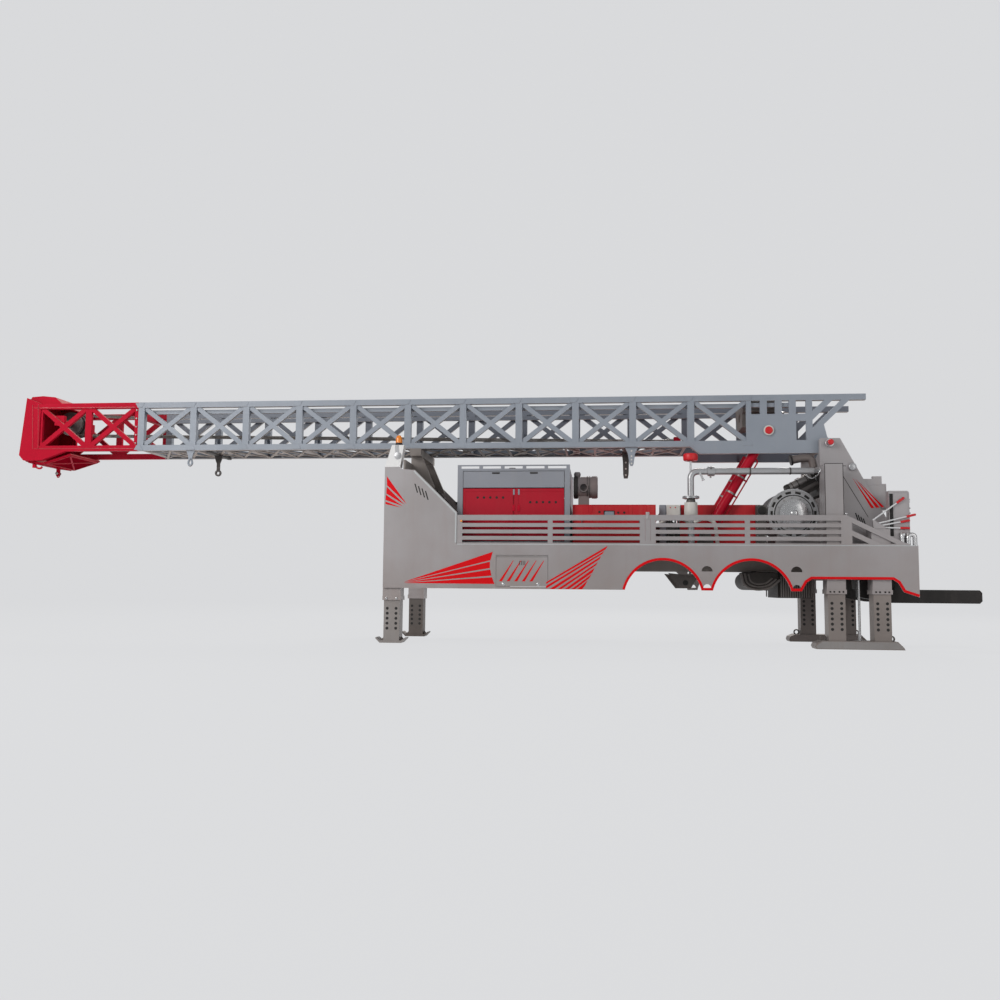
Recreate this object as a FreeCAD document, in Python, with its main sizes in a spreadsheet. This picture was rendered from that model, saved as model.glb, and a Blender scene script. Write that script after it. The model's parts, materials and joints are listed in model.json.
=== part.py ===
import FreeCAD, Part
import os
import re
import Sketcher

# Body of a water-well rotary drilling rig: a carrier deck on screw jacks, with a lattice mast that
# lies along the machine and stands up about pins over the rear jacks.
# +X runs to the rear (drilling end), +Y to the vehicle's right side, +Z up, floor at Z = 0.

SIDES = ((-1, "left"), (1, "right"))
BAYS = 11
JOISTS = 7
SLOTS = 14

# Driving dimensions in millimetres, each with its alias in the sheet.
DIMENSIONS = {
    # carrier
    "frontEnd": -1366,  # front edge of the carrier body
    "carrierLong": 8565,  # length of the carrier body
    "halfWidth": 1250,  # outer face of the skirts from the centre line
    "deckTop": 1640,  # top of the deck plate
    "deckPlate": 20,  # thickness of the deck plate
    "joistDeep": 150,  # depth of the cross joists under the deck
    "joistWide": 80,  # width of a cross joist
    "joistAfter": 165,  # from the front sleeves to the first joist
    "joistBefore": 715,  # from the last joist to the rear sleeves
    "railDeep": 240,  # depth of the two main rails
    "railWide": 100,  # width of a main rail
    "railInner": 380,  # inner face of a main rail from the centre line
    "railInset": 40,  # main rails from the ends of the body
    "bracketAhead": 700,  # rear chassis brackets ahead of the rear wheel arch
    "bracketPitch": 2340,  # distance between the chassis brackets
    "bracketLong": 260,  # length of a chassis bracket
    "bracketWall": 16,  # thickness of a chassis bracket
    "bracketDrop": 140,  # how far a bracket reaches below the rails
    "boltApart": 160,  # bolts of a bracket along the machine
    "boltHigh": 70,  # bolts of a bracket up and down
    "boltRadius": 11,  # radius of the bracket bolt holes
    "wellStart": 290,  # drilling well behind the first rear jacks
    "wellLong": 600,  # length of the drilling well
    "wellHalf": 330,  # half width of the drilling well
    # skirt
    "skirtWall": 20,  # thickness of the skirt plates
    "skirtTall": 734,  # height of the skirts under the deck's top
    "archRadius": 628,  # radius of a wheel arch
    "archBelow": 150,  # centre of a wheel arch below the skirt's lower edge
    "archBefore": 3970,  # front wheel arch from the rear end
    "archPitch": 1400,  # distance between the two arches
    "riseAfter": 775,  # raised rear edge behind the rear arch's centre
    "riseTall": 192,  # height of the raised rear edge
    "riseRun": 158,  # run of the slopes of the raised edge
    "riseEase": 52,  # how far the slopes' middle point lies below the raised edge
    "riseBefore": 238,  # end of the raised edge from the rear end
    "tailDrop": 80,  # rear lower corner below the skirt's lower edge
    "moonRadius": 88,  # radius of the upper half-moon holes
    "moonSmall": 62,  # radius of the lower half-moon holes
    "moonRise": 304,  # base of the upper half-moon holes over the lower edge
    "moonLow": 39,  # base of the lower half-moon holes over the lower edge
    "hatchStart": 1886,  # locker hatch from the front end
    "hatchLong": 857,  # length of the locker hatch opening
    "hatchRise": 36,  # lower edge of the hatch opening over the skirt's lower edge
    "hatchTall": 516,  # height of the hatch opening
    "hatchGap": 6,  # gap around the locker hatch
    # jacks
    "jackAhead": 145,  # front jacks from the front end
    "jackBehind": 1250,  # first rear jacks from the rear end
    "jackPitch": 700,  # distance between the two rear jacks of a side
    "jackInset": 195,  # jacks from the outer face of the skirts
    "legWide": 266,  # width of a jack leg
    "legDrop": 140,  # top of a leg at rest below the deck's top
    "legGap": 5,  # running gap between leg and sleeve
    "sleeveWall": 7,  # wall of a jack sleeve
    "sleeveRise": 260,  # sleeves' tops over the deck
    "sleeveLow": 201,  # front sleeves below the skirt's lower edge
    "sleeveRear": 38,  # rear sleeves below the skirt's lower edge
    "sleeveHole": 3,  # gap between a sleeve and its hole in the deck
    "bandTall": 70,  # height of the band around a sleeve's lower end
    "bandWall": 10,  # thickness of that band
    "postDrop": 390,  # top of the first rear sleeves below the mast pivot
    "footFront": 264,  # reach of a front foot ahead of its jack
    "footRear": 234,  # reach of a front foot behind its jack
    "footThick": 40,  # thickness of the front foot plates
    "footCurl": 70,  # run and rise of a foot's turned-up ends
    "footLip": 10,  # foot plate past the leg on each side
    "skiTall": 130,  # height of the rear ski
    "skiFront": 350,  # reach of the ski ahead of the first rear jack
    "skiRear": 320,  # reach of the ski behind the second rear jack
    "skiWide": 330,  # width of the rear ski
    "skiBevel": 110,  # bevel at the ends of the ski
    "skiToe": 20,  # small bevels at the ski's lower corners
    "pinHoleRadius": 17,  # radius of the pin holes in a leg
    "pinHoleApart": 148,  # distance between the two columns of pin holes
    "pinHolePitch": 82,  # pitch of the pin holes
    "frontHoles": 200,  # lowest pin hole over a front foot
    "rearHoles": 181,  # lowest pin hole over the ski
    # front
    "panelLong": 1230,  # length of the front side panels
    "panelTall": 1284,  # height of the front side panels over the deck
    "panelCap": 256,  # length of their highest part, under the horns
    "panelStep": 35,  # small step behind the horns
    "panelFlat": 53,  # end of the near-level top edge below the top
    "panelFoot": 757,  # foot of the sloping edge below the top
    "panelSlope": 718,  # run of the sloping edge
    "hornTall": 372,  # height of the horns
    "hornWide": 170,  # width of a horn
    "hornLean": 113,  # how far the front edge of a horn leans back
    "hornRear": 62,  # how far the rear edge of a horn leans back
    "beaconRadius": 62,  # radius of a beacon's lens
    "beaconTaper": 18,  # how much smaller the lens is at its top
    "beaconTall": 214,  # height of a beacon with its foot
    "beaconFoot": 45,  # height of a beacon's foot
    "headAfter": 20,  # headboard behind the front sleeves
    "headWall": 30,  # thickness of the headboard
    "headTall": 1410,  # height of the headboard over the deck
    "restHalf": 560,  # half width of the mast rest
    "restLong": 190,  # length of the saddle of the mast rest
    "restTall": 130,  # height of that saddle
    "restWide": 130,  # how far the saddle reaches past its brackets
    "restFoot": 420,  # reach of the saddle's brackets at their foot
    "restDeep": 400,  # depth of those brackets on the headboard
    "restWall": 60,  # thickness of those brackets
    "restGap": 6,  # gap between the mast and its rest
    # railing
    "railingStart": 1235,  # railings from the front end
    "railingBefore": 112,  # rear tip of the railings from the rear end
    "railingSlope": 973,  # length of the sloping railing end
    "railingGap": 85,  # space between the two panels
    "railingTall": 480,  # height of the railings over the deck
    "railingWall": 40,  # thickness of the railings
    "railingInset": 5,  # railings from the outer face of the skirts
    "railingFoot": 24,  # lower edge of the lowest slot over the deck
    "slotMargin": 85,  # from a panel's end to its slots
    "slotPost": 80,  # post between two slots
    "slotTall": 45,  # height of a slot
    "slotPitch": 107,  # distance between two rows of slots
    "barWide": 85,  # width of the bars around the openings of the sloping end
    "linkTall": 60,  # height of the links between the two panels
    "knobTall": 47,  # height of the knob on the upper link
    "knobRadius": 32,  # radius of that knob
    # canopy
    "canopyStart": 1191,  # engine canopy from the front end
    "canopyLong": 1898,  # length of the engine canopy
    "canopyHalf": 960,  # half width of the engine canopy
    "canopyTall": 1285,  # height of the engine canopy over the deck
    "canopyPost": 90,  # corner posts of the canopy
    "canopyWall": 40,  # thickness of the canopy walls
    "canopyVent": 300,  # open foot of the canopy's end walls
    "roofRail": 63,  # height of the roof rail
    "roofBar": 20,  # thickness of the roof rail's bar
    "roofPost": 60,  # length of a post of the roof rail
    "roofWall": 30,  # thickness of the roof rail
    "flapRise": 954,  # hinge line of the upper side flaps over the deck
    "doorRise": 60,  # lower edge of the red side doors over the deck
    "panelGap": 8,  # gap around doors and flaps
    "engineLong": 1450,  # length of the engine
    "engineHalf": 420,  # half width of the engine
    "engineTall": 970,  # height of the engine over its feet
    "engineFoot": 90,  # height and width of the engine's feet
    "cleanerAfter": 56,  # air cleaner behind the canopy
    "cleanerLong": 405,  # length of the air cleaner
    "cleanerRadius": 178,  # radius of the air cleaner
    "cleanerInset": 100,  # air cleaner from the side of the forward cabinet
    "cleanerRise": 300,  # centre of the air cleaner over the forward cabinet
    "rimLong": 30,  # length of the air cleaner's rim
    "rimTall": 12,  # how far that rim stands out
    "inletAfter": 170,  # inlet stub behind the air cleaner's front end
    "inletDrop": 20,  # inlet stub below the air cleaner's centre
    "inletRadius": 60,  # bore of the inlet stub
    "inletWall": 15,  # wall of the inlet stub
    "inletLong": 30,  # how far the stub stands out
    "inletDeep": 100,  # depth of the inlet's bore
    "capAfter": 62,  # centre of the rain cap behind the air cleaner's front end
    "capRadius": 45,  # radius of the rain cap
    "capTall": 80,  # height of the rain cap over the air cleaner
    "padLong": 180,  # length and width of the air cleaner's foot
    # machinery
    "tankAfter": 41,  # forward cabinet behind the canopy
    "tankBefore": 30,  # forward cabinet ahead of the pump
    "tankTall": 680,  # height of the forward cabinet
    "tankHalf": 860,  # half width of the forward cabinet
    "pumpAhead": 815,  # front of the pump ahead of the cylinders' foot pins
    "pumpLong": 380,  # length of the pump
    "pumpHalf": 640,  # right face of the pump from the centre line
    "pumpCase": 240,  # left face of the crankcase from the centre line
    "pumpTall": 380,  # height of the crankcase
    "fluidLow": 60,  # height of the fluid end over the deck
    "fluidTall": 260,  # height of the fluid end itself
    "fluidInset": 20,  # fluid end from the crankcase's ends
    "fluidWide": 200,  # width of the fluid end
    "fluidGap": 80,  # rods between the crankcase and the fluid end
    "coverRadius": 40,  # radius of a valve cover
    "coverTall": 90,  # height of a valve cover
    "coverPitch": 100,  # distance between two valve covers
    "wheelRadius": 110,  # radius of the pump's pulley
    "wheelLong": 500,  # length of the pump's pulley shaft
    "trayPost": 110,  # width of the valve tray's post
    "trayAhead": 45,  # that post behind the pump's front
    "trayTall": 695,  # height of the post
    "trayLow": 500,  # underside of the valve tray over the deck
    "trayPlate": 60,  # thickness of the tray's arm
    "trayGap": 20,  # post to the valve block
    "trayLong": 225,  # length of the valve block
    "trayWide": 500,  # width of the valve block
    "trayBox": 135,  # height of the valve block
    "rearTankAfter": 25,  # rear cabinet behind the pump
    "rearTankBefore": 93,  # rear cabinet ahead of the drum flanges
    "rearTankHalf": 340,  # half width of the rear cabinet
    "rearTankTall": 720,  # height of the rear cabinet
    "pipeAfter": 150,  # standpipe behind the front of the rear cabinet
    "pipeInset": 490,  # standpipe from the outer face of the skirts
    "pipeRadius": 55,  # radius of the standpipe
    "pipeTall": 1245,  # centre of the level pipe over the deck
    "pipeBefore": 103,  # end of the level pipe ahead of the rear frames
    "elbowRadius": 120,  # bend radius of the standpipe's elbow
    "globeRadius": 105,  # radius of the valve body
    "globeLow": 520,  # underside of the valve body over the deck
    "globeTall": 200,  # height of the valve body
    "flangeRadius": 140,  # radius of the pipe flange
    "flangeLow": 790,  # underside of the pipe flange over the deck
    "flangeTall": 35,  # thickness of the pipe flange
    "unionAfter": 280,  # union behind the standpipe
    "unionLong": 110,  # length of the union
    "unionWall": 25,  # how far the union stands out
    "stemRadius": 16,  # radius of the valve stem
    "stemTall": 150,  # height of the valve stem over the level pipe's centre
    "handRadius": 75,  # radius of the red hand valve
    "handLong": 210,  # length of the red hand valve
    "drumAhead": 405,  # winch drum ahead of the rear frames
    "drumRise": 548,  # winch drum over the deck
    "drumFlange": 410,  # radius of the drum flanges
    "drumCore": 190,  # radius of the drum core
    "drumHalf": 400,  # half width of the drum over its flanges
    "flangeThick": 40,  # thickness of a drum flange
    "ringRadius": 420,  # radius of the slotted brake disc outside the left stand
    "ringThick": 40,  # thickness of that disc
    "coverRim": 300,  # radius of the cover on the brake disc
    "coverBoss": 230,  # radius of the raised middle of that cover
    "coverStep": 15,  # thickness of the cover's rim
    "coverPast": 45,  # how far its middle stands out of the rim
    "windowRing": 335,  # inner radius of the ring of windows in the brake disc
    "windowRun": 95,  # length of a window in the brake disc
    "windowTall": 40,  # width of a window in the brake disc
    "shaftRadius": 60,  # radius of the drum shaft
    "shaftPast": 190,  # drum shaft past the flanges
    "shaftGap": 0.08,  # running gap of shafts and pins
    "standAfter": 30,  # drum stands from the flanges
    "standThick": 60,  # thickness of the drum stands
    "standFoot": 300,  # half length of a drum stand at the deck
    "standHead": 110,  # half width of a drum stand at the shaft
    "gearAhead": 600,  # winch gearbox ahead of the drum's centre
    "gearLong": 170,  # length of the winch gearbox
    "gearWide": 100,  # width of the winch gearbox
    "gearTall": 700,  # height of the winch gearbox
    "gearSide": 420,  # inner face of the winch gearbox from the centre line
    "motorRadius": 80,  # radius of the winch motor
    "motorRise": 600,  # winch motor over the deck
    # rear
    "frameGap": 75,  # rear frames from the mast
    "frameWall": 60,  # thickness of the rear frames
    "frameAhead": 157,  # rear frames ahead of the mast pivot
    "frameRise": 83,  # rear frames over the mast pivot
    "frameCrown": 177,  # rear end of the frames' top edge behind the pivot
    "frameWaist": 528,  # frames' knee behind the pivot
    "frameKnee": 583,  # frames' knee below the pivot
    "frameFoot": 1000,  # frames' rear end at the deck behind the pivot
    "frameHeel": 250,  # height of the frames' rear end
    "frameChamfer": 25,  # corner of the frames' top edge
    "beamLow": 860,  # cross beam of the rear frames over the deck
    "beamTall": 120,  # height and depth of that cross beam
    "pivotAfter": 40,  # mast pivot behind the first rear jacks
    "pivotRise": 26,  # mast pivot over the mast's underside
    "pivotRadius": 55,  # radius of the mast pivot pins
    "capThick": 45,  # thickness of the pins' caps
    "bossAfter": 357,  # boss on the frames behind the pivot
    "bossDrop": 400,  # boss below the pivot
    "webLong": 200,  # length of the webs between the rear frames and the first rear sleeves
    "brakeRise": 970,  # brake motor's lower end over the deck
    "brakeRadius": 62,  # radius of the brake motor
    "brakeLong": 560,  # length of the brake motor
    "brakeSide": 480,  # brake motor from the centre line
    "brakeBox": 190,  # depth of the brake's housing
    "boxAfter": 706,  # control cabinets behind the frames' front edge
    "boxLong": 360,  # length of the control cabinets
    "boxLow": 605,  # underside of the control cabinets over the deck
    "boxTall": 430,  # height of the control cabinets
    "boxDeep": 286,  # depth of the control cabinets inside the rear frames
    "lidDeep": 60,  # depth of the lid on a control cabinet
    "lidLong": 292,  # length of the lid on a control cabinet
    "lidTall": 84,  # height of that lid
    "deskGap": 10,  # operator's panel behind the second rear sleeves
    "deskLong": 315,  # length of the operator's panel
    "deskTall": 876,  # height of the operator's panel
    "deskCorner": 25,  # corner of the operator's panel
    "deskInset": 116,  # operator's panel from the outer face of the skirts
    "deskDeep": 160,  # depth of the operator's panel
    "valveAhead": 115,  # lever valve ahead of the second rear jack's centre
    "valveLong": 240,  # length of the lever valve
    "valveWide": 60,  # width of the lever valve
    "valveTall": 150,  # height of the lever valve
    "leverBar": 28,  # thickness of a lever
    "elbowInset": 82,  # delivery pipes from the outer face of the skirts
    "elbowAhead": 220,  # delivery pipes ahead of the rear end
    "elbowPitch": 95,  # distance between the two delivery pipes
    "elbowPipe": 34,  # radius of a delivery pipe
    "elbowTall": 200,  # height of the delivery pipes
    "armStart": 810,  # front end of the rear arms from the body's rear end
    "armReach": 1112,  # reach of the rear arms behind the body
    "armLow": 730,  # height of the rear arms' lower face
    "armTall": 215,  # height of the rear arms
    "armInner": 620,  # inner face of the rear arms
    "armWide": 160,  # width of a rear arm
    "armRise": 90,  # rise of an arm's underside at its front end
    "armTaper": 500,  # length of that rising part
    "armCorner": 40,  # corners at the rear end of an arm
    "armBar": 120,  # length of the cross bar between the arms
    "armBarAhead": 260,  # that bar ahead of the arms' rear end
    "hangerLong": 200,  # length of the arms' hangers
    "hangerWall": 60,  # thickness of the arms' hangers
    # underbody
    "underBehind": 151,  # round tank behind the rear arch's centre
    "underRadius": 150,  # radius of the round tank
    "underHalf": 700,  # half length of the round tank
    "underHigh": 1065,  # height of the round tank's centre
    "strapLong": 80,  # length of the round tank's strap
    "strapHalf": 480,  # half width of the strap and of the valve bank
    "bankAhead": 235,  # valve bank ahead of the raised rear edge
    "bankLong": 560,  # length of the valve bank
    "bankLow": 790,  # underside of the valve bank
    # mast
    "mastBottom": 3324,  # underside of the mast
    "mastTall": 876,  # height of the mast
    "mastHalf": 615,  # outer face of the mast from the centre line
    "chord": 100,  # depth and width of a chord
    "web": 60,  # thickness of the lattice web
    "postBar": 115,  # width of an upright of the lattice
    "braceBar": 80,  # width of a diagonal of the lattice
    "floorRise": 20,  # mast floor over the underside of the chords
    "kneeReach": 300,  # how far the knee plates reach inwards
    "kneeFoot": 80,  # knee plates over the mast's underside
    "kneeTall": 420,  # height of the knee plates' tips over the mast's underside
    "kneeWall": 14,  # thickness of a knee plate
    "bay": 976,  # length of a lattice bay
    "bays": BAYS,  # bays in the grey part of the mast
    "baseLong": 1315,  # solid base plates ahead of the pivot
    "baseBack": 70,  # rear edge of the base plates ahead of the pivot
    "baseDrop": 119,  # base plates below the chords
    "baseTaper": 935,  # where the lower chord begins to deepen, ahead of the base plates
    "taperRun": 160,  # run of that taper
    "baseWall": 50,  # thickness of the base plates
    "baseShoulder": 150,  # rear corner of the base plates over the mast's underside
    "baseNeck": 363,  # narrowest place of the base plates over the mast's underside
    "shoulderOut": 75,  # how far that corner reaches past the rear edge
    "neckOut": 26,  # how far the neck reaches past the rear edge
    "gateTall": 230,  # height of the base windows
    "doorLow": 101,  # lower edge of the low base window over the mast's underside
    "doorTall": 323,  # height of the low base window
    "tailLong": 645,  # top chords behind the pivot
    "tailFlange": 60,  # inner flange of the top chords at the base
    "earRadius": 110,  # radius of the pivot ears
    "braceHead": 261,  # head of the sloping rear edge ahead of the chord's end
    "slitStart": 1087,  # the two slits of the tail from the start of the base plates
    "slitRun": 197,  # length of the front slit along the chord
    "slitDrop": 285,  # its lower corner below the mast's top
    "slitNear": 1424,  # front end of the rear slit along the chord
    "slitFar": 1558,  # rear end of it
    "slitLow": 440,  # upper corner of its foot below the mast's top
    "slitFoot": 572,  # lower corner of its foot below the mast's top
    "tieAhead": 260,  # cross member of the base ahead of the pivot
    "tieLong": 120,  # length and height of that cross member
    "liftBoss": 75,  # radius of the bosses of the lift pins
    "bossPast": 25,  # how far those bosses stand out of the base plates
    "bossGap": 8,  # bosses from the cylinders' eyes
    # crown
    "crownLong": 1874,  # length of the crown lattice
    "crownEdge": 40,  # end strip of the crown lattice
    "crownPlate": 275,  # length of the crown's end plates
    "crownNose": 375,  # foremost point of the crown ahead of its lattice
    "crownChin": 67,  # that point below the mast's underside
    "crownJaw": 165,  # lower corner of the end plates below the mast's underside
    "jawBack": 85,  # that corner behind the foremost point
    "jawLong": 510,  # where the end plates' lower edge meets the chord
    "crownBrow": 110,  # front upper corner of the end plates over the mast's top
    "hoodWall": 25,  # thickness of the crown hood
    "humpRise": 166,  # top of the crown hood over the mast's top
    "humpHalf": 490,  # half width of the hump
    "humpDrop": 14,  # front edge of the hump below its top
    "humpRun": 30,  # run of the hump's front slope
    "humpBack": 195,  # bend in the hump's rear slope behind the lattice's front
    "humpBend": 130,  # that bend over the mast's top
    "humpTail": 395,  # rear end of the hump behind the lattice's front
    "bellyRear": 208,  # lowest point of the belly below the mast's underside
    "bellyLong": 32,  # that point behind the lattice's front
    "bellyTail": 562,  # rear end of the belly behind the lattice's front
    "bellyEnd": 44,  # that end below the mast's underside
    "hookTall": 120,  # height of the hook under the crown
    "hookAhead": 180,  # hook ahead of the lattice's front
    "shackleTall": 180,  # height of the shackle under the belly
    "hookLong": 60,  # length of such a hook
    "hookWall": 40,  # thickness of the hooks and hangers
    "hookSide": 455,  # hook from the centre line
    "sheaveAfter": 325,  # sheaves behind the lattice's front
    "sheaveRise": 576,  # sheaves over the mast's underside
    "sheaveRadius": 220,  # radius of the crown sheaves
    "sheaveWide": 60,  # width of a sheave
    "sheavePitch": 140,  # distance between two sheaves
    "grooveWide": 20,  # width of a sheave's groove
    "grooveDeep": 30,  # depth of a sheave's groove
    "hubRadius": 70,  # radius of the sheaves' hub
    "hubHalf": 190,  # half length of the sheaves' hub
    "axleRadius": 40,  # radius of the sheaves' axle
    "axleBlock": 180,  # length and height of the axle's blocks
    "axleWall": 60,  # thickness of the axle's blocks
    # hangers
    "eyeAfter": 951,  # front hanger eye behind the lattice's front end
    "eyePitch": 300,  # distance between the two hanger eyes
    "eyeDrop": 320,  # hanger eyes below the mast
    "strapDrop": 475,  # hanger strap below the mast
    "strapAhead": 83,  # hanger strap ahead of the upright behind it
    "hangerWide": 70,  # length of the hangers and of their cross bars
    "hangerBar": 30,  # thickness of those cross bars
    # raising cylinders
    "liftAhead": 950,  # lift pin ahead of the pivot
    "liftRise": 240,  # lift pin over the pivot
    "liftSide": 450,  # raising cylinders from the centre line
    "footAhead": 2000,  # foot pin of the raising cylinders ahead of the pivot
    "footRise": 190,  # foot pin over the deck
    "barrelRadius": 82,  # radius of a cylinder barrel
    "barrelStart": 170,  # lower end of a barrel from its foot pin
    "barrelLong": 1660,  # upper end of a barrel from its foot pin
    "boreStart": 200,  # lower end of a barrel's bore from its foot pin
    "rodStart": 260,  # lower end of a rod from the foot pin
    "rodRadius": 48,  # radius of a cylinder rod
    "rodGap": 3,  # gap between a rod and its barrel
    "eyeRadius": 80,  # radius of the cylinder eyes
    "eyeWide": 90,  # width of the cylinder eyes
    "neckRadius": 38,  # radius of the neck between a barrel and its foot eye
    "footPin": 40,  # radius of the foot pins
    "clevisWall": 40,  # thickness of a clevis plate
    "clevisGap": 5,  # gap between a clevis plate and the eye
    "clevisFoot": 150,  # half length of a clevis plate at the deck
    "clevisHead": 70,  # half length and rise of a clevis plate at the pin
    "pinPast": 15,  # foot pins past the clevis plates
    # head
    "headAhead": 25,  # front end of the rotary head ahead of the base plates
    "headLong": 620,  # length of the rotary head
    "headHalf": 330,  # half width of the rotary head
    "headDrop": 300,  # spindle line below the mast's top
    "headDeep": 400,  # height of the rotary head
    "shoeTall": 60,  # shoes past the guide rails above and below
    "guideRise": 170,  # upper face of the guide rails over the spindle line
    "guideTall": 70,  # height of the guide rails
    "guideWide": 60,  # width of the guide rails
    "guidePast": 150,  # guide rails behind the rotary head
    "runGap": 8,  # gap between the head's shoes and the rails
    "spindleRadius": 75,  # radius of the spindle
    "spindleInset": 40,  # front end of the spindle inside the head
    "spindleLong": 330,  # length of the spindle outside the head
    "collarGap": 10,  # spindle's collar from the head
    "collarLong": 120,  # length of the spindle's collar
    "collarTall": 45  # how far that collar stands out
}

# Places that follow from the driving dimensions.
PLACES = {
    "rearEnd": "frontEnd + carrierLong",
    "innerHalf": "halfWidth - skirtWall",
    "joistLow": "deckTop - deckPlate - joistDeep",
    "railLow": "joistLow - railDeep",
    "skirtBottom": "deckTop - skirtTall",
    "archHeight": "skirtBottom - archBelow",
    "archFront": "rearEnd - archBefore",
    "archRear": "archFront + archPitch",
    "riseStart": "archRear + riseAfter",
    "riseEnd": "rearEnd - riseBefore",
    "riseTop": "skirtBottom + riseTall",
    "hatchFront": "frontEnd + hatchStart",
    "hatchBottom": "skirtBottom + hatchRise",
    "jackFront": "frontEnd + jackAhead",
    "jackRear": "rearEnd - jackBehind",
    "jackLast": "jackRear + jackPitch",
    "jackSide": "halfWidth - jackInset",
    "sleeveInner": "legWide + 2 * legGap",
    "sleeveOuter": "sleeveInner + 2 * sleeveWall",
    "sleeveTop": "deckTop + sleeveRise",
    "joistFirst": "jackFront + sleeveOuter / 2 + joistAfter",
    "joistLast": "jackRear - sleeveOuter / 2 - joistBefore",
    "wellFront": "jackRear + wellStart",
    "wellRear": "wellFront + wellLong",
    "panelTop": "deckTop + panelTall",
    "panelRear": "frontEnd + panelLong",
    "hornTop": "panelTop + hornTall",
    "headFace": "jackFront + sleeveOuter / 2 + headAfter",
    "headTop": "deckTop + headTall",
    "railingFront": "frontEnd + railingStart",
    "railingTail": "rearEnd - railingBefore",
    "railingEnd": "railingTail - railingSlope",
    "railingTop": "deckTop + railingTall",
    "railingPanel": "(railingEnd - railingFront - railingGap) / 2",
    "slotLong": "(railingPanel - 2 * slotMargin - slotPost) / 2",
    "canopyFront": "frontEnd + canopyStart",
    "canopyRear": "canopyFront + canopyLong",
    "canopyTop": "deckTop + canopyTall",
    "flapBottom": "deckTop + flapRise",
    "doorBottom": "deckTop + doorRise",
    "tankFront": "canopyRear + tankAfter",
    "tankTop": "deckTop + tankTall",
    "cleanerFront": "canopyRear + cleanerAfter",
    "cleanerHigh": "tankTop + cleanerRise",
    "cleanerSide": "tankHalf - cleanerInset",
    "mastTop": "mastBottom + mastTall",
    "mastInner": "mastHalf - chord",
    "pivotX": "jackRear + pivotAfter",
    "pivotZ": "mastBottom + pivotRise",
    "liftPinX": "pivotX - liftAhead",
    "liftPinZ": "pivotZ + liftRise",
    "footPinX": "pivotX - footAhead",
    "footPinZ": "deckTop + footRise",
    "pumpFront": "footPinX - pumpAhead",
    "pumpRear": "pumpFront + pumpLong",
    "frameInner": "mastHalf + frameGap",
    "frameOuter": "frameInner + frameWall",
    "frameFront": "pivotX - frameAhead",
    "drumX": "frameFront - drumAhead",
    "drumZ": "deckTop + drumRise",
    "rearTankFront": "pumpRear + rearTankAfter",
    "rearTankRear": "drumX - drumFlange - rearTankBefore",
    "pipeX": "rearTankFront + pipeAfter",
    "pipeZ": "deckTop + pipeTall",
    "pipeSide": "halfWidth - pipeInset",
    "boxFront": "frameFront + boxAfter",
    "boxTop": "deckTop + boxLow + boxTall",
    "postTop": "pivotZ - postDrop",
    "armFront": "rearEnd - armStart",
    "armEnd": "rearEnd + armReach",
    "armTop": "armLow + armTall",
    "baseStart": "pivotX - baseLong",
    "baseRear": "pivotX - baseBack",
    "baseBottom": "mastBottom - baseDrop",
    "tailRear": "pivotX + tailLong",
    "latticeFront": "baseStart - bays * bay",
    "crownFront": "latticeFront - crownLong",
    "crownTip": "crownFront - crownNose",
    "crownCorner": "crownFront - crownPlate",
    "sheaveX": "crownFront + sheaveAfter",
    "sheaveZ": "mastBottom + sheaveRise",
    "headFront": "baseStart - headAhead",
    "headRear": "headFront + headLong",
    "headZ": "mastTop - headDrop",
    "guideTop": "headZ + guideRise",
    "guideInner": "mastInner - guideWide"
}

# Windows of each mast base plate: distance from the plate's front edge, and length.
GATES = ((85, 145), (345, 131), (591, 115), (820, 163))

# Levers over the lever valve: foot and tip, each by its distance behind the valve's front face
# and over its top.
LEVERS = (((5, -5), (500, 361)), ((55, -65), (675, 90)), ((115, -95), (581, -5)), ((135, -125), (577, -132)))

doc = FreeCAD.newDocument("DrillingRig")
dims = doc.addObject("Spreadsheet::Sheet", "dims")
dims.Label = "dims"
nodes = []
for line, (alias, number) in enumerate(DIMENSIONS.items(), 1):
    dims.set("A%d" % line, alias)
    dims.set("B%d" % line, str(number))
    dims.setAlias("B%d" % line, alias)


def spell(word):
    """Spells out a place as its formula and a driving dimension as its cell in the sheet."""
    name = word.group()
    if name in PLACES:
        return "(" + tie(PLACES[name]) + ")"
    if name in DIMENSIONS:
        return "dims." + name
    return name


def tie(text):
    """Turns a formula written with plain names into one that reads the sheet."""
    return re.sub(r"[A-Za-z]+", spell, str(text))


def value(text):
    return float(dims.evalExpression(tie(text)))


def bind(target, prop, text):
    target.setExpression(prop, tie(text))


def place(target, low, rotation=None):
    """Sets the turn first, then binds the three coordinates of the placement."""
    if rotation is None:
        rotation = FreeCAD.Rotation()
    target.Placement = FreeCAD.Placement(FreeCAD.Vector(), rotation)
    for axis, text in zip("xyz", low):
        bind(target, "Placement.Base." + axis, text)
    return target


def block(low, size):
    target = doc.addObject("Part::Box", "Block")
    for prop, text in zip(("Length", "Width", "Height"), size):
        bind(target, prop, text)
    return place(target, low)


ALONG = {"X": FreeCAD.Rotation(FreeCAD.Vector(0, 1, 0), 90),
         "Y": FreeCAD.Rotation(FreeCAD.Vector(1, 0, 0), -90),
         "Z": FreeCAD.Rotation()}


def rod(axis, start, radius, length, top=None):
    """A round bar that starts at a point and runs along X, Y or Z; with a top radius it is a cone."""
    if top is None:
        target = doc.addObject("Part::Cylinder", "Rod")
        bind(target, "Radius", radius)
    else:
        target = doc.addObject("Part::Cone", "Cone")
        bind(target, "Radius1", radius)
        bind(target, "Radius2", top)
    bind(target, "Height", length)
    return place(target, start, ALONG[axis])


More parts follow.
